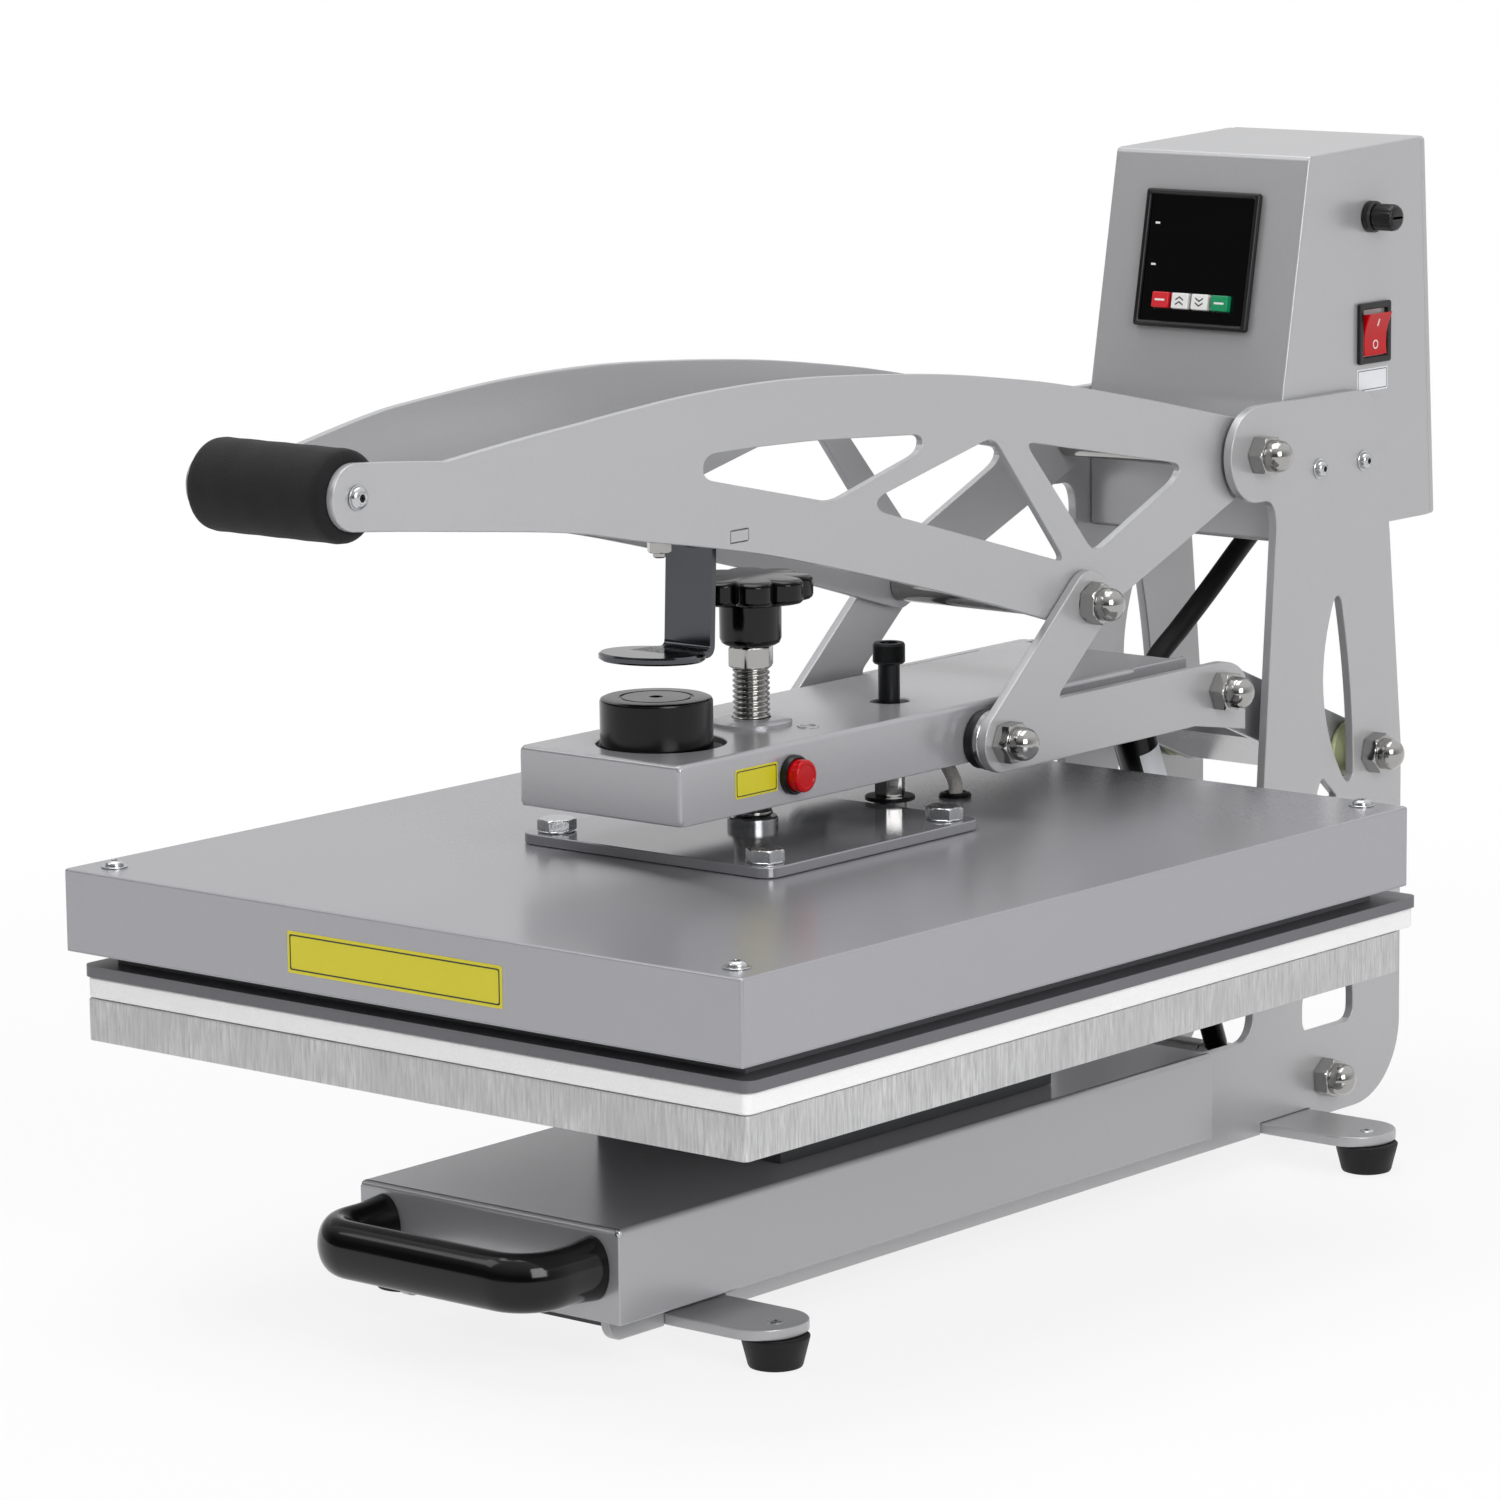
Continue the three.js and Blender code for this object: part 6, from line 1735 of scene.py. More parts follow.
@dataclass
class Arms:
    """The lever: two lattice arms, their grip and the plate with the magnet's catch."""

    arm_pin: Point = (308.0, 360.2)
    link_pin: Point = (171.6, 302.7)
    grip: Point = (-315.0, 405.0)
    outer: float = 57.5
    tip_outer: float = 43.5
    thickness: float = 4.0
    depth: float = 100.0
    bend_front: float = -285.0
    bend_rear: float = -190.0
    bend_softness: float = 8.0
    tip_radius: float = 14.6
    link_radius: float = 13.0
    pin_radius: float = 16.5
    nut_face: float = 63.3
    kink_share: Point = (0.083, 0.139)
    top_shares: Sequence[Point] = (
        (0.135, 0.208), (0.188, 0.272), (0.254, 0.337), (0.327, 0.398),
        (0.418, 0.444), (0.51, 0.455), (0.607, 0.445), (0.691, 0.413), (0.759, 0.374),
        (0.865, 0.289))
    bottom_shares: Sequence[Point] = (
        (0.087, -0.164), (0.195, -0.19), (0.269, -0.245), (0.332, -0.285), (0.4, -0.335),
        (0.46, -0.395), (0.519, -0.461), (0.6, -0.555), (0.689, -0.667))
    window_shares: Sequence[Sequence[Point]] = (
        ((0.333, 0.016), (0.334, 0.122), (0.387, 0.146), (0.456, 0.165), (0.521, 0.168),
         (0.584, 0.17), (0.583, 0.087), (0.481, -0.121)),
        ((0.67, 0.145), (0.531, -0.115), (0.535, -0.175), (0.593, -0.25), (0.767, -0.476)),
        ((0.709, 0.114), (0.911, -0.031), (0.908, -0.104), (0.803, -0.443)))
    slot: Sequence[float] = (-88.8, -76.0, 360.6, 366.4)
    grip_half: float = 39.3
    grip_radius: float = 20.35
    screw_face: float = 44.6
    disc_y: float = -75.0
    disc_z: float = 300.1
    strap_y: float = -50.5
    strap_top: float = 361.3
    strap_thickness: float = 3.6

    def lie(self) -> tuple[float, float]:
        """Returns the length and the slope of the line from the grip to the arm's pin."""
        run, rise = self.arm_pin[0] - self.grip[0], self.arm_pin[1] - self.grip[1]
        return hypot(run, rise), atan2(rise, run)

    def place(self, share: Point) -> Point:
        """Finds a place on the arm.

        Args:
            share: Its share of the arm's length, and of its depth above the line of the pins.

        Returns:
            The place along the press and its height.
        """
        length, angle = self.lie()
        foot = polar(self.grip, share[0] * length, angle)
        return polar(foot, share[1] * self.depth, angle + QUARTER)

    def curve(self, start: Point, shares: Sequence[Point], end: Point) -> list[Point]:
        """Returns a smooth line from start through the shares' places to end."""
        line = [start] + [self.place(share) for share in shares] + [end]
        return [tuple(p.xy) for p in smooth_path([(y, z, 0) for y, z in line], 5)]

    def outline(self) -> list[Point]:
        """Returns the arm's outline."""
        angle = self.lie()[1]
        run, rise = self.arm_pin[0] - self.link_pin[0], self.arm_pin[1] - self.link_pin[1]
        back = atan2(rise, run) - QUARTER - 3.5 / hypot(run, rise)
        under = angle - QUARTER * 1.13
        high_end = polar(self.grip, self.tip_radius, angle + QUARTER)
        shape = Outline(high_end)
        shape.arc(self.grip, self.tip_radius, angle + QUARTER, angle + QUARTER * 3)
        shape.line(*self.curve(polar(self.grip, self.tip_radius, angle - QUARTER),
                               self.bottom_shares, polar(self.link_pin, self.link_radius, under)))
        shape.arc(self.link_pin, self.link_radius, under, back)
        shape.arc(self.arm_pin, self.pin_radius, back, angle + QUARTER)
        shape.line(*self.curve(polar(self.arm_pin, self.pin_radius, angle + QUARTER),
                               tuple(reversed(self.top_shares)), self.place(self.kink_share)),
                   high_end)
        return shape.closed()

    def bent(self, side: int) -> Callable[[Vector], Vector]:
        """Returns the function that bends an arm in towards the grip.

        Args:
            side: 1 for the right arm, -1 for the left.

        Returns:
            A function from a straight arm's point to the bent arm's.
        """
        slope = (self.outer - self.tip_outer) / (self.bend_rear - self.bend_front)

        def soft(value: float) -> float:
            """Returns a ramp whose lower end is rounded."""
            width = self.bend_softness
            if abs(value) >= width:
                return max(value, 0.0)
            return (value + width) ** 2 / (4 * width)

        def bend(place: Vector) -> Vector:
            """Moves a point towards the middle by where it is along the arm."""
            slide = soft(self.bend_rear - place.y) - soft(self.bend_front - place.y)
            return Vector((side * (place.x - slide * slope), place.y, place.z))

        return bend

    def build(self) -> None:
        """Builds the lever's pieces."""
        windows = [rounded([self.place(s) for s in shares], 8) for shares in self.window_shares]
        windows.append(rectangle(*self.slot, 0.6))
        for side in SIDES:
            arm = Form().plate(self.outline(), self.outer - self.thickness, self.outer,
                               Plane.SIDE, windows, 0.6)
            arm.sliced(Axis.Y, range(-300, -176, 4)).shaped(self.bent(side))
            arm.made(f"{side_name(side)}_arm", SILVER_POWDER, "arms", [f"arm_{side_name(side)}"])
        nutted_shaft(self.link_pin, self.nut_face, 0.75, 53.2).made(
            "link_shaft_with_nuts", NICKEL, "arms", ["link_shaft"])
        self.build_grip()
        self.build_catch()

    def build_grip(self) -> None:
        """Builds the foam sleeve, the bar inside it and its end screws."""
        centre, reach, radius = (0, *self.grip), self.grip_half, self.grip_radius
        rim, end = 5.4, [(10.3, 0), (15.0, 0), (17.4, 0.4), (19.0, 1.4), (19.9, 2.4)]
        end.append((radius, rim))
        profile = [(r, along - reach) for r, along in end]
        for step in range(1, 12):
            dent = 0.1 * (1 + sin(step * 1.9))
            profile.append((radius - dent, (reach - rim) * (step / 6 - 1)))
        profile += [(r, reach - along) for r, along in reversed(end)]
        Form().turned(profile, centre, Axis.X, 72, closed=True).made(
            "foam_grip", FOAM, "arms", ["grip_sleeve"], sharp=60)
        screws = Screws()
        screws.heads.rod(10.0, -reach, reach, centre, Axis.X)
        face = self.screw_face
        for side in SIDES:
            way = Vector((side, 0, 0))
            screws.heads.rod(3.0, reach - 0.4, face - 0.6, centre, way, 0.2, 24)
            screws.heads.rod(5.4, face - 0.8, face, centre, way, 0.2, 32)
            screws.put((side * face, *self.grip), way, Vector((0, 0.5, 0.86)), 4.9, 2.4)
        screws.heads.made("grip_rod_and_screws", ZINC, "arms", ["grip_bar"])
        # The grip screws' recess blocks are painted shade.
        screws.recess_shade.made("grip_screw_recesses", BLACK_OXIDE_AND_RECESS_SHADE, "arms")

    def build_catch(self) -> None:
        """Builds the cross plate, the bent strap with its disc, and their bolts."""
        high, low = 366, 361
        plate = Form().block((-53.2, -107, low), (53.2, -57, high), 0.6)
        for side in SIDES:
            start, end = span(side, 53.0, 57.4)
            plate.block((start, self.slot[0] + 0.4, low), (end, self.slot[1] - 0.4, high), 0.3)
        plate.made("catch_cross_plate", SILVER_POWDER, "arms")
        thick, disc_y, disc_z, inner = self.strap_thickness, self.disc_y, self.disc_z, self.strap_y
        outer, top = inner + thick, self.strap_top
        shape = Outline((disc_y, disc_z)).line((outer - 6, disc_z))
        shape.bend((outer, disc_z), (outer, disc_z + 6))
        shape.line((outer, top - 6)).bend((outer, top), (outer - 6, top))
        shape.line((outer - 40, top), (outer - 40, top - thick), (inner - 3, top - thick))
        shape.bend((inner, top - thick), (inner, top - thick - 3))
        shape.line((inner, disc_z + thick + 3))
        shape.bend((inner, disc_z + thick), (inner - 3, disc_z + thick))
        shape.line((disc_y, disc_z + thick))
        hanger = Form().plate(shape.closed(), -14, 14, Plane.SIDE, edge=0.5)
        disc = [(0, 0), (23.4, 0), (24.5, 0.9), (24.5, 2.7), (23.4, thick), (0, thick)]
        hanger.turned(disc, (0, disc_y, disc_z), Axis.Z, 72)
        pivot = Matrix.Translation((0, outer, top))
        hanger.moved(pivot @ Matrix.Rotation(radians(-2.4), 4, "X") @ pivot.inverted())
        # The strap and disc are set dark as a painted reflection of their dark surroundings.
        hanger.made("catch_strap_and_disc", NICKEL_STRAP_PAINTED_DARK_REFLECTION, "arms", ["catch_bracket"])
        bolts = Form()
        for x, y in ((7.5, -80.0), (-7.5, -62.0)):
            seat = (x, y, top - thick)
            bolts.rod(6.0, 0, 1.0, seat, Axis.MINUS_Z, 0.2, 32)
            bolts.hexagon(10.0, 1.0, 6.0, seat, Axis.MINUS_Z, 0.4)
            bolts.rod(3.0, 5.0, 8.4, seat, Axis.MINUS_Z, 0.6, 24)
            pan_screw(bolts, (x, y, high), Axis.Z, 5.0, 2.8)
        bolts.made("catch_bolts", NICKEL, "arms")


@dataclass
class GasSpring:
    """The gas spring between the toggle plates and the base."""

    top_pin: Point = (278.5, 245.7)
    low_pin: Point = (366.0, 34.6)
    tube_radius: float = 11.0
    tube_length: float = 150.0
    bore: float = 4.9
    rod_radius: float = 4.5
    rod_overlap: float = 130.0
    eye: float = 11.2
    eye_half: float = 9.0
    wrap_start: float = 70.0
    wrap_length: float = 46.0
    wrap_half_angle: float = 48.0

    def build(self) -> None:
        """Builds the tube and the rod with their eyes, and the end sleeve, whose black is partly
        painted shade.
        """
        low = Vector((0, *self.low_pin))
        pin = Vector((0, *self.top_pin))
        up, top = (pin - low).normalized(), (pin - low).length - self.eye / 2
        bottom, r, bore, half = top - self.tube_length, self.tube_radius, self.bore, self.eye_half
        tube = Form().turned(
            [(bore, bottom), (r - 2.5, bottom), (r - 0.8, bottom + 0.8), (r, bottom + 2.6),
             (r, top - 6), (r - 1.2, top - 2.4), (r - 4, top - 0.4), (bore, top - 0.2),
             (bore, bottom + self.rod_overlap)], low, up, 48, closed=True)
        tube.turned([(8.8, -half), (self.eye - 0.5, -half), (self.eye, -half + 0.5),
                     (self.eye, half - 0.5), (self.eye - 0.5, half), (8.8, half)],
                    pin, Axis.X, 48, closed=True)
        tube.made("gas_spring_cylinder", ENAMEL, "gas_spring_tube", ["spring_tube"])
        self.build_wrap(low, up, bottom + self.wrap_start)
        rod = Form().rod(self.rod_radius, 7, bottom + self.rod_overlap, low, up, 0.5, 36)
        rod.turned([(6.4, -9), (9.1, -9), (9.5, -8.6), (9.5, 8.6), (9.1, 9), (6.4, 9)], low,
                   Axis.X, 40, closed=True)
        rod.made("gas_spring_piston_rod", NICKEL, "gas_spring_rod", ["spring_rod"])
        # A thicker end fitting round the rod's lower end; its black is also painted shade, for the
        # rod that sits in shadow inside the base.
        sleeve = [(4.6, 9.4), (5.6, 9.4), (6.0, 10.2), (6.0, 38), (5.4, 39), (4.6, 39)]
        Form().turned(sleeve, low, up, 36, closed=True).made(
            "gas_spring_end_sleeve_painted_shade", BLACK_ABS, "gas_spring_rod")

    def build_wrap(self, low: Vector, up: Vector, start: float) -> None:
        """Builds the blank white wrap on the tube.

        Args:
            low: The lower pin.
            up: The direction up the spring.
            start: Where the wrap starts above the lower pin.
        """
        side, steps, half = Vector((1, 0, 0)), 18, self.wrap_half_angle
        corners = [(start + rise, self.tube_radius + shell) for rise, shell in (
            (0, 0.02), (0, 0.16), (self.wrap_length, 0.16), (self.wrap_length, 0.02))]
        rings = []
        for step in range(steps + 1):
            angle = radians(-half + 2 * half * step / steps)
            way = side * cos(angle) - up.cross(side) * sin(angle)
            rings.append([low + up * rise + way * radius for rise, radius in corners])
        Form().skin(rings, capped=True).made("gas_spring_wrap", WHITE_VINYL, "gas_spring_tube")


# Control box


@dataclass
class ControlBox:
    """The control box with its display, keys, switch, fuse and inlet."""

    half: float = 59.7
    bottom: float = 312.5
    top: float = 504.0
    front: float = 335.0
    kink: float = 384.0
    front_top: float = 357.9
    rear_top: Point = (459.9, 507.85)
    rear_bottom: float = 470.85
    wall: float = 2.0
    rise: float = 66.0
    bezel_half: float = 34.9
    window_half: float = 31.9
    key_up: float = -21.4
    key_pitch: float = 12.2
    key_top: float = 5.5
    inlet_rise: float = 36.0
    switch: Point = (413.7, 411.3)
    fuse: Point = (410.7, 470.2)

    def face(self) -> Matrix:
        """Returns the frame of the sloping face: X across, Y up the face, Z out of it."""
        tilt = atan2(self.front_top - self.front, self.top - self.kink)
        place = Vector((0, self.front + tan(tilt) * self.rise, self.kink + self.rise))
        return self.frame_of(Vector((1, 0, 0)), Vector((0, -cos(tilt), sin(tilt))), place)

    def back(self) -> Matrix:
        """Returns the frame of the rear face at its middle."""
        lean = atan2(self.rear_bottom - self.rear_top[0], self.rear_top[1] - self.bottom)
        place = Vector((0, (self.rear_bottom + self.rear_top[0]) / 2,
                        (self.rear_top[1] + self.bottom) / 2))
        return self.frame_of(Vector((-1, 0, 0)), Vector((0, cos(lean), sin(lean))), place)

    @staticmethod
    def frame_of(across: Vector, out: Vector, place: Vector) -> Matrix:
        """Makes a frame.

        Args:
            across: Its first direction.
            out: Its third direction.
            place: Its origin.

        Returns:
            Its matrix.
        """
        matrix = Matrix((across, out.cross(across), out)).transposed().to_4x4()
        matrix.translation = place
        return matrix

    def build(self) -> None:
        """Builds the box's pieces."""
        rear, rim = 3.0, self.rear_top
        outline = rounded([(self.front, self.bottom), (self.rear_bottom - rear, self.bottom),
                           (rim[0] - rear, rim[1]), (self.front_top, self.top),
                           (self.front, self.kink)], 2.6)
        Form().plate(outline, -self.half, self.half, Plane.SIDE, edge=1.3, steps=4).made(
            "control_box_shell", SILVER_POWDER, "base", ["control_box"])
        for step in (self.build_back, self.build_display, self.build_keys, self.build_switch,
                     self.build_rocker, self.build_switch_plate, self.build_fuse):
            step()

    def build_back(self) -> None:
        """Builds the rim, the rear cover with its screws, and the mains inlet."""
        back, wide = self.back(), self.half
        tall = hypot(self.rear_top[1] - self.bottom, self.rear_bottom - self.rear_top[0]) / 2
        middle, inlet_at = (0, 0), (0, self.inlet_rise - tall)
        rim = Form().plate(middle_box(middle, wide - 0.02, tall - 0.1, 2.4), -3.4, -0.05,
                           Plane.PLAN, [middle_box(middle, wide - self.wall, tall - 2.2, 1.2)], 0.5)
        rim.moved(back).made("control_box_rim", SILVER_POWDER, "base")
        cover = Form().plate(middle_box(middle, wide - 2.3, tall - 3.9, 1.2), -3.8, -2.2,
                             Plane.PLAN, [middle_box(inlet_at, 13.4, 10.4, 0.6)], 0.4)
        cover.moved(back).made("rear_cover_panel", DARK_POWDER, "base", ["control_box_rear_cover"])
        screws, up = Screws(), inlet_at[1]
        for across in SIDES:
            for rise in SIDES:
                screws.put((across * 51, rise * (tall - 11), -2.2), Vector((0, 0, 1)),
                           Vector((0.7, 0.7, 0)), 3.6, 2.0)
            pan_screw(screws.heads, (across * 12.2, up, -0.3), Axis.Z, 1.9, 0.6)
        screws.made("rear_cover", "base", back)
        mouth = rounded([(-8.5, up - 5.2), (8.5, up - 5.2), (8.5, up + 3.0), (5.5, up + 6.6),
                         (-5.5, up + 6.6), (-8.5, up + 3.0)], 1.2)
        body = middle_box(inlet_at, 13, 10, 1)
        inlet = Form().plate(middle_box(inlet_at, 15, 12, 2.0), -1.9, -0.1, Plane.PLAN, [mouth], 0.4)
        inlet.plate(body, -21.6, -15.9, Plane.PLAN, edge=0.3)
        inlet.plate(body, -16.0, -1.8, Plane.PLAN, [rectangle(-8.8, 8.8, up - 6.4, up + 6.8, 1)], 0.3)
        inlet.moved(back).made("mains_inlet", BLACK_ABS, "base", ["power_inlet"])
        pins = Form()
        for x, y in ((0.0, 1.8), (-4.8, -1.4), (4.8, -1.4)):
            pins.block((x - 1.0, up + y - 1.9, -16.0), (x + 1.0, up + y + 1.9, -5.0), 0.3)
        pins.moved(back).made("mains_inlet_pins", ZINC, "base")

    def build_display(self) -> None:
        """Builds the controller's bezel, its smoked window and the marks beside the digits."""
        face, half, window = self.face(), self.bezel_half, self.window_half
        bezel = Form().plate(middle_box((0, 0), half, half, 1.6), 0.3, 4.3, Plane.PLAN,
                             [middle_box((0, 0), window, window, 0.8)], 1.4, 3)
        bezel.moved(face).made("display_bezel", BLACK_ABS, "base", ["controller"])
        openings = [middle_box((x, self.key_up), 5.3, 4.3, 0.9) for x in self.key_places()]
        Form().plate(middle_box((0, 0), window + 1, window + 1, 0.5), -2.0, 2.4, Plane.PLAN,
                     openings, 0.1).moved(face).made("display_window", ACRYLIC, "base")
        marks = Form()
        for y in (17.5, -3.5):
            marks.plate(middle_box((-26.8, y), 1.4, 0.5, 0.2), 2.38, 2.46, Plane.PLAN, edge=0.01,
                        steps=1)
        marks.moved(face).made("display_marks", WHITE_INK, "base")

    def key_places(self) -> list[float]:
        """Returns how far across the face each key is."""
        return [(index - 1.5) * self.key_pitch for index in range(4)]

    def build_keys(self) -> None:
        """Builds the four keys with their marks."""
        face, up, top = self.face(), self.key_up, self.key_top
        keys = (("key_power", RED_KEY, WHITE_INK, 0), ("key_down", WHITE_KEY, BLACK_INK, 1),
                ("key_up", WHITE_KEY, BLACK_INK, -1), ("key_set", GREEN_KEY, WHITE_INK, 0))
        for x, (name, finish, ink, way) in zip(self.key_places(), keys):
            cap = Form().plate(middle_box((x, up), 5, 4, 0.8), 0.9, top, Plane.PLAN, edge=0.5)
            cap.moved(face).made(f"{name}_cap", finish, name, [name])
            dash = middle_box((x, up), 3.0, 0.5, 0.2)
            marks = Form()
            for lift in (-1.3, 1.1) if way else (0.0,):
                tip, foot = up + lift + 0.75 * way, up + lift - 0.75 * way
                chevron = [(x - 2.4, foot - 0.35), (x, tip - 0.35), (x + 2.4, foot - 0.35),
                           (x + 2.4, foot + 0.45), (x, tip + 0.45), (x - 2.4, foot + 0.45)]
                marks.plate(chevron if way else dash, top - 0.04, top + 0.04, Plane.PLAN,
                            edge=0.01, steps=1)
            marks.moved(face).made(f"{name}_mark", ink, name)

    def build_switch(self) -> None:
        """Builds the rocker's frame."""
        x, middle = self.half + 0.3, self.switch
        switch = Form().plate(middle_box(middle, 14, 15.5, 1.4), x, x + 2, Plane.SIDE,
                              [middle_box(middle, 10.6, 12.1, 0.8)], 0.6)
        switch.plate(middle_box(middle, 12, 13.5, 0.5), x - 14, x + 0.3, Plane.SIDE,
                     [middle_box(middle, 10.6, 12.1, 0.4)], 0.2)
        switch.plate(middle_box(middle, 11, 12.5), x - 14, x - 12.5, Plane.SIDE, edge=0.1)
        switch.made("switch_bezel", BLACK_ABS, "base", ["switch_frame"])

    def build_rocker(self) -> None:
        """Builds the rocker with its on and off marks."""
        tilt = radians(9)
        reach, wide = 10.9, 10.0
        rise = tan(tilt) * reach
        lean = Matrix.Translation((self.half + 0.3, *self.switch)) @ Matrix.Rotation(tilt, 4, "Y")
        shape = Outline((reach, 2 + rise)).bend((reach * 0.45, 2.2), (0, 2.0), 8)
        shape.bend((-reach * 0.45, 2.2), (-reach, 2 + rise), 8)
        shape.line((-reach * 0.8, -4.5), (0, -9), (reach * 0.8, -4.5))
        form = Form().plate([(v, u) for u, v in shape.closed()], -wide, wide, Plane.PLAN, edge=0.6)
        upright = Matrix(((1, 0, 0, 0), (0, 0, 1, 0), (0, 1, 0, 0), (0, 0, 0, 1)))
        form.moved(lean @ upright)
        form.made("switch_rocker", RED_LENS, "rocker", ["rocker"])
        off = (0, -5.6)
        marks = Form().plate(rectangle(-0.45, 0.45, 3.8, 7.6, 0.1), 2.75, 3.0, Plane.PLAN,
                             edge=0.02, steps=1)
        marks.plate(circle(off, 2.3, 32), 2.75, 3.0, Plane.PLAN, [circle(off, 1.65, 32)], 0.02, 1)

        def on_facet(place: Vector) -> Vector:
            """Lays a mark on the rocker's curved face."""
            lift = 2.0 + place.y ** 2 * tan(tilt) / reach
            return Vector((place.x, place.y, lift + place.z - 2.75))

        outward = self.frame_of(Vector((0, 1, 0)), Vector((1, 0, 0)), Vector((0, 0, 0)))
        marks.shaped(on_facet).moved(lean @ outward).made("rocker_marks", WHITE_INK, "rocker")

    def build_switch_plate(self) -> None:
        """Builds the blank plate below the rocker."""
        BlankPlate("switch_plate", "base", WHITE_VINYL, Plane.SIDE, self.half,
                   (self.switch[0], 387.4), (13.6, 5.8), 0.6, margin=0.8, line=0.4,
                   line_corners=(0.5, 0.4), line_rise=0.03, edges=(0.08, 0.01)).build()

    def build_fuse(self) -> None:
        """Builds the fuse holder and its knurled cap."""
        holder = Vector((self.half + 0.3, *self.fuse))
        collar = [(0, -18), (6, -18), (6, 0), (8, 0), (8, 3.4), (7.2, 4.5), (0, 4.5)]
        Form().turned(collar, holder, Axis.X, 48).made(
            "fuse_collar", BLACK_ABS, "base", ["fuse_holder"])
        cap = holder + Vector((4.8, 0, 0))
        profile = [(0, 0), (0.97, 0), (1.0, 0.8), (1.0, 9.4), (0.93, 10.9), (0.8, 11.8),
                   (0.62, 12.0), (0, 12.0)]

        def knurled(share: float, angle: float) -> float:
            """Returns the cap's radius, cut by twelve grooves on its rim."""
            groove = 0.35 * (0.5 - 0.5 * cos(angle * 12)) ** 6 if share > 0.9 else 0.0
            return 6.8 * share - groove

        Form().turned(profile, cap, Axis.X, 96, reach=knurled).made(
            "fuse_cap_knob", BLACK_ABS, "fuse_cap", ["fuse_cap"], sharp=50)
        Form().plate(middle_box(self.fuse, 4.2, 0.6, 0.2), cap.x + 11.9, cap.x + 12.0,
                     Plane.SIDE, edge=0.01, steps=1).made(
            "fuse_cap_slot_paint", WHITE_INK, "fuse_cap")


@dataclass
class WiringHose:
    """The hose that takes the wiring from the control box down into the beam."""

    radius: float = 5.3
    points: Sequence[tuple[float, float, float]] = (
        (-22.0, 342.14, 219.47), (-22.1, 342.6, 221.8), (-22.3, 338.2, 233), (-21.6, 338.8, 245),
        (-18, 355.6, 260.3), (-14, 372.7, 276.2), (-10.8, 397, 297), (-10, 408.5, 306),
        (-10, 410.5, 310.8), (-10, 410.5, 312.3))
    grommet: tuple[float, float, float] = (-10, 410.5, 312.5)

    def build(self) -> None:
        """Builds the hose, which bends between the base and the beam, and its grommet."""
        made = Form().tube(smooth_path(self.points, 8), self.radius, 24).made(
            "wiring_hose_tube", RUBBER, "", ["wiring_hose"], sharp=60)
        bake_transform(made)
        lip = [(5.2, -4.0), (8.4, -4.0), (9.0, -3.0), (9.0, -0.4), (8.4, 0), (5.2, 0)]
        Form().turned(lip, self.grommet, Axis.Z, 40, closed=True).made(
            "box_grommet", BLACK_ABS, "base")


# Studio


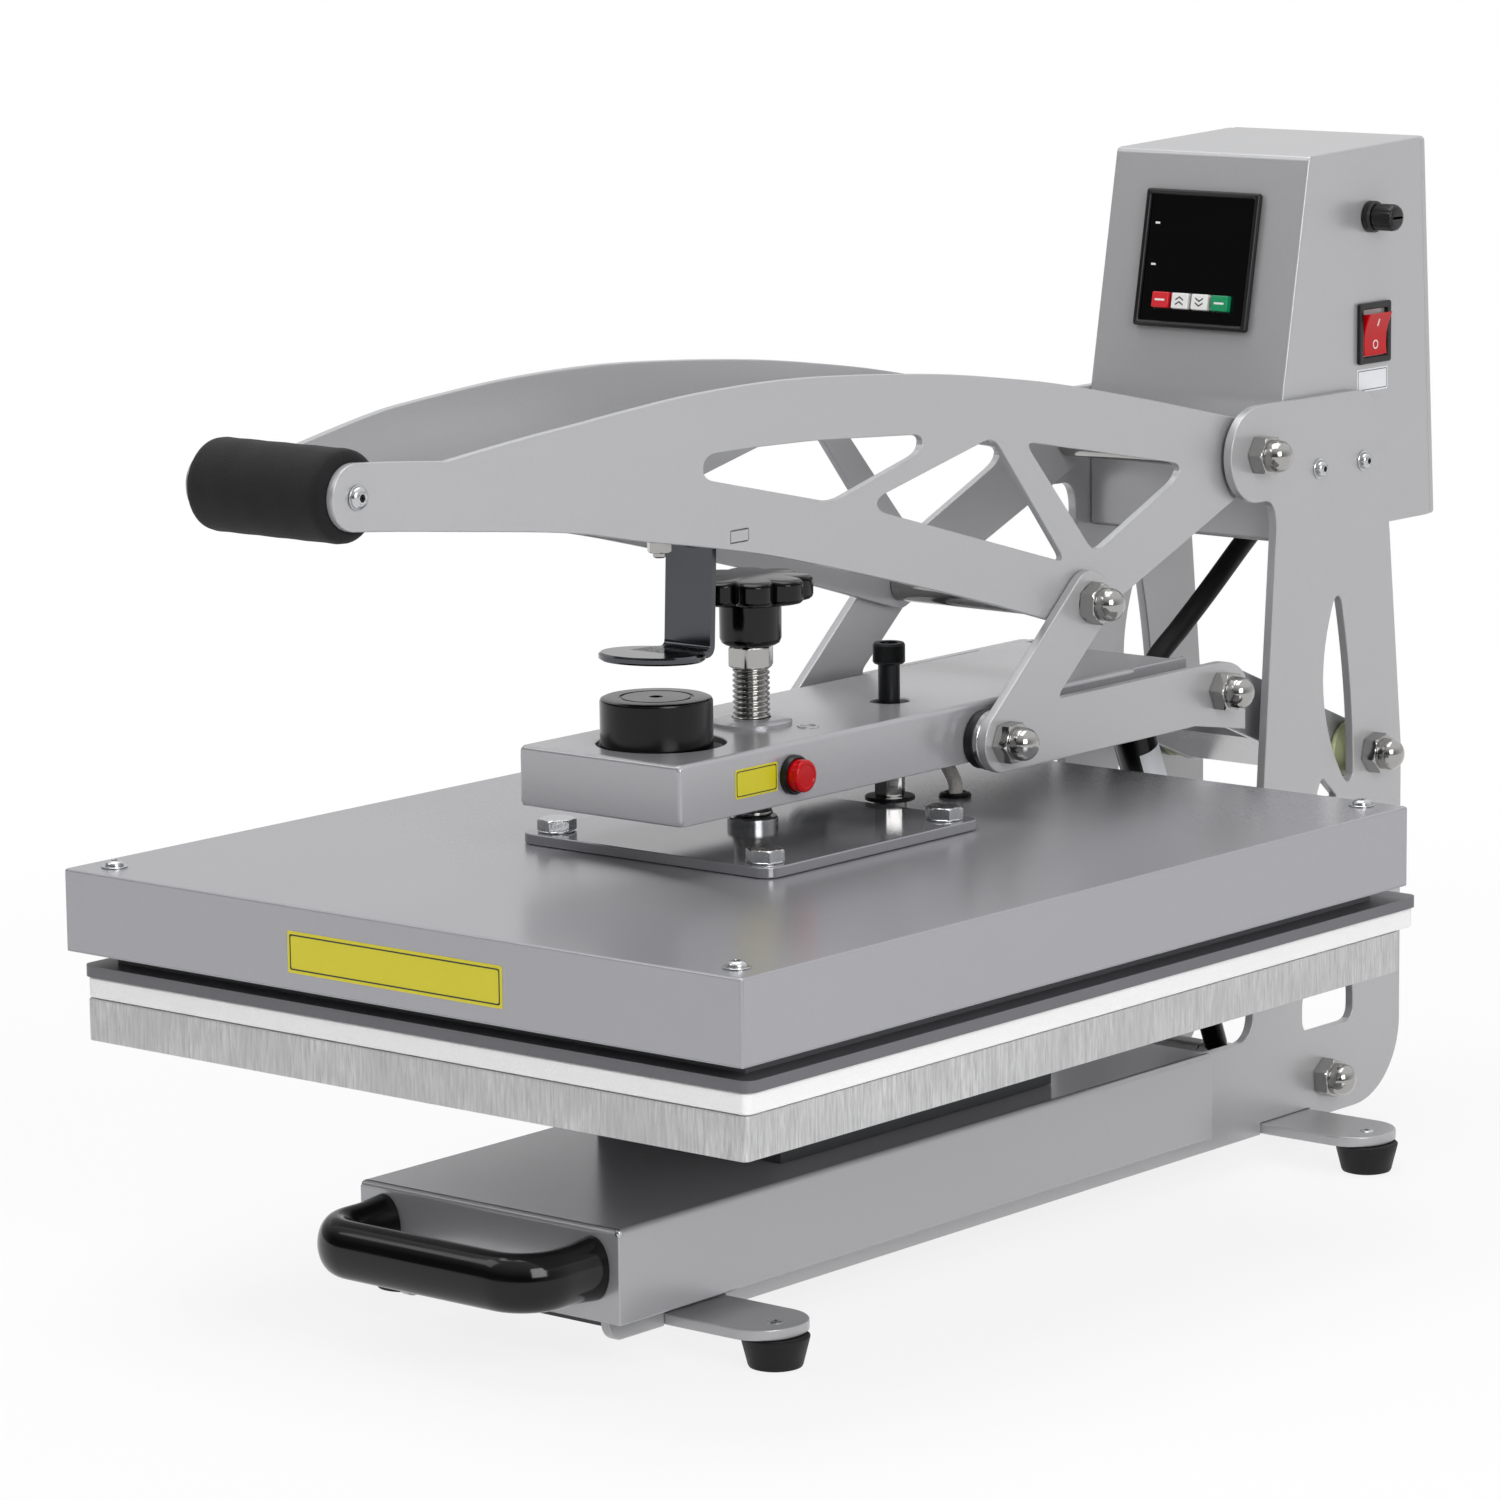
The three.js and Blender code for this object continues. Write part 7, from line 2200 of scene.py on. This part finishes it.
@dataclass
class Studio:
    """Floor, lamps, surroundings and the camera."""

    camera_at: tuple[float, float, float] = (1.82462, -2.24648, 0.74425)
    azimuth: float = 40.06
    elevation: float = 9.89
    roll: float = -0.67
    focal_px: float = 6181.32
    floor_half: float = 14.0
    plain_light: float = 0.42
    white: Rgba = (1.0, 1.0, 1.0, 1.0)

    def build(self) -> None:
        """Builds the studio."""
        self.build_floor()
        self.build_lamps()
        self.build_world()
        self.build_camera()
        bpy.context.scene.view_settings.view_transform = "Standard"

    def build_floor(self) -> None:
        """Builds the pale floor."""
        mesh = bpy.data.meshes.new("floor")
        corners = [(x, y, 0) for x, y in middle_box((0, 0), self.floor_half, self.floor_half)]
        mesh.from_pydata(corners, [], [(0, 1, 2, 3)])
        mesh.materials.append(self.floor_paint())
        linked("floor", mesh)

    def floor_paint(self) -> bpy.types.Material:
        """Returns the matt white of the floor, which is plain white where no shadow lies.

        Returns:
            A material that shows lit paint near the press and a white backdrop far from it.
        """
        made = bpy.data.materials.new("matt_white_floor_paint")
        tree = bare_tree(made)
        place = add_node(tree, "TexCoord").outputs["Object"]
        away = add_node(tree, "VectorMath", {0: place}, operation="LENGTH").outputs["Value"]
        far = add_node(tree, "MapRange", {"Value": away},
                       {"From Min": 0.5, "From Max": 1.3, "To Min": 0.84, "To Max": 1.0},
                       interpolation_type="SMOOTHSTEP").outputs[0]
        path = add_node(tree, "LightPath").outputs
        seen = path["Is Camera Ray"]
        for ray in ("Is Glossy Ray", "Is Transmission Ray"):
            seen = add_node(tree, "Math", {0: seen, 1: path[ray]}, operation="MAXIMUM").outputs[0]
        share = add_node(tree, "Math", {0: far, 1: seen}, operation="MULTIPLY").outputs[0]
        paint = add_node(tree, "BsdfDiffuse", {}, {"Color": linear("#f0f0f0")}).outputs[0]
        white = add_node(tree, "Emission", {}, {"Color": self.white, "Strength": 1.0}).outputs[0]
        mixed = add_node(tree, "MixShader", {0: share, 1: paint, 2: white})
        add_node(tree, "OutputMaterial", {"Surface": mixed.outputs[0]})
        return made

    def build_lamps(self) -> None:
        """Builds three large soft lamps."""
        lamps = (
            ("right_softbox", (2.9, -1.3, 1.5), (0.1, 0.0, 0.25), 1.6, 51.0),
            ("left_softbox", (-2.0, -2.4, 2.6), (0.0, 0.0, 0.25), 1.5, 15.0),
            ("top_softbox", (-0.3, -0.1, 2.9), (0.0, 0.0, 0.2), 2.2, 44.0),
        )
        for name, place, target, size, power in lamps:
            data = bpy.data.lights.new(name, "AREA")
            data.shape = "SQUARE"
            data.size = size
            data.energy = power
            lamp = linked(name, data)
            lamp.location = place
            way = Vector(target) - Vector(place)
            lamp.rotation_euler = way.to_track_quat("-Z", "Y").to_euler()

    def build_world(self) -> None:
        """Builds pale surroundings: plain light, and a white backdrop where it is seen."""
        world = bpy.data.worlds.new("studio")
        bpy.context.scene.world = world
        tree = bare_tree(world)
        path = add_node(tree, "LightPath").outputs
        direction = add_node(tree, "TexCoord").outputs["Generated"]
        towards = add_node(tree, "SeparateXYZ", {0: direction}).outputs
        rear, above = (
            add_node(tree, "MapRange", {"Value": towards[way]},
                     {"From Min": low, "From Max": high, "To Min": dim, "To Max": bright}).outputs[0]
            for way, low, high, dim, bright in (("Y", -0.5, 0.8, 0.08, 0.78),
                                                ("Z", 0.25, 0.8, 0.0, 0.7)))
        level = add_node(tree, "Math", {0: rear, 1: above}, operation="ADD",
                         use_clamp=True).outputs[0]
        lit, seen = (
            add_node(tree, "Background", {}, {"Color": self.white, "Strength": strength}).outputs[0]
            for strength in (self.plain_light, 1.0))
        mirrored = add_node(tree, "Background", {"Strength": level},
                            {"Color": self.white}).outputs[0]
        shiny = add_node(tree, "Math", {0: path["Is Glossy Ray"], 1: path["Is Transmission Ray"]},
                         operation="MAXIMUM").outputs[0]
        first = add_node(tree, "MixShader", {0: shiny, 1: lit, 2: mirrored}).outputs[0]
        second = add_node(tree, "MixShader", {0: path["Is Camera Ray"], 1: first, 2: seen})
        add_node(tree, "OutputWorld", {"Surface": second.outputs[0]})

    def build_camera(self) -> None:
        """Builds the camera at the photograph's viewpoint."""
        az, el, roll = (radians(v) for v in (self.azimuth, self.elevation, self.roll))
        ahead = Vector((-sin(az) * cos(el), cos(az) * cos(el), -sin(el)))
        right = Vector((cos(az), sin(az), 0))
        up = right.cross(ahead)
        right_rolled = right * cos(roll) + up * sin(roll)
        up_rolled = up * cos(roll) - right * sin(roll)
        data = bpy.data.cameras.new("camera")
        data.sensor_width = 36.0
        data.sensor_fit = "AUTO"
        data.lens = self.focal_px / IMAGE_SIDE_PX * data.sensor_width
        data.clip_end = 100
        camera = linked("camera", data)
        matrix = Matrix((right_rolled, up_rolled, -ahead)).transposed().to_4x4()
        matrix.translation = Vector(self.camera_at)
        camera.matrix_world = matrix
        bpy.context.scene.camera = camera


def main() -> None:
    """Builds the press and the studio round it."""
    logging.basicConfig(level=logging.INFO, format="%(message)s")
    parts = (Studio(), BaseFrame(), Drawer(), UpperPlaten(), Beam(), PressureScrew(),
             TogglePlates(), Arms(), GasSpring(), ControlBox(), WiringHose())
    for part in parts:
        log.info("building %s", type(part).__name__)
        part.build()


if __name__ == "__main__":
    main()
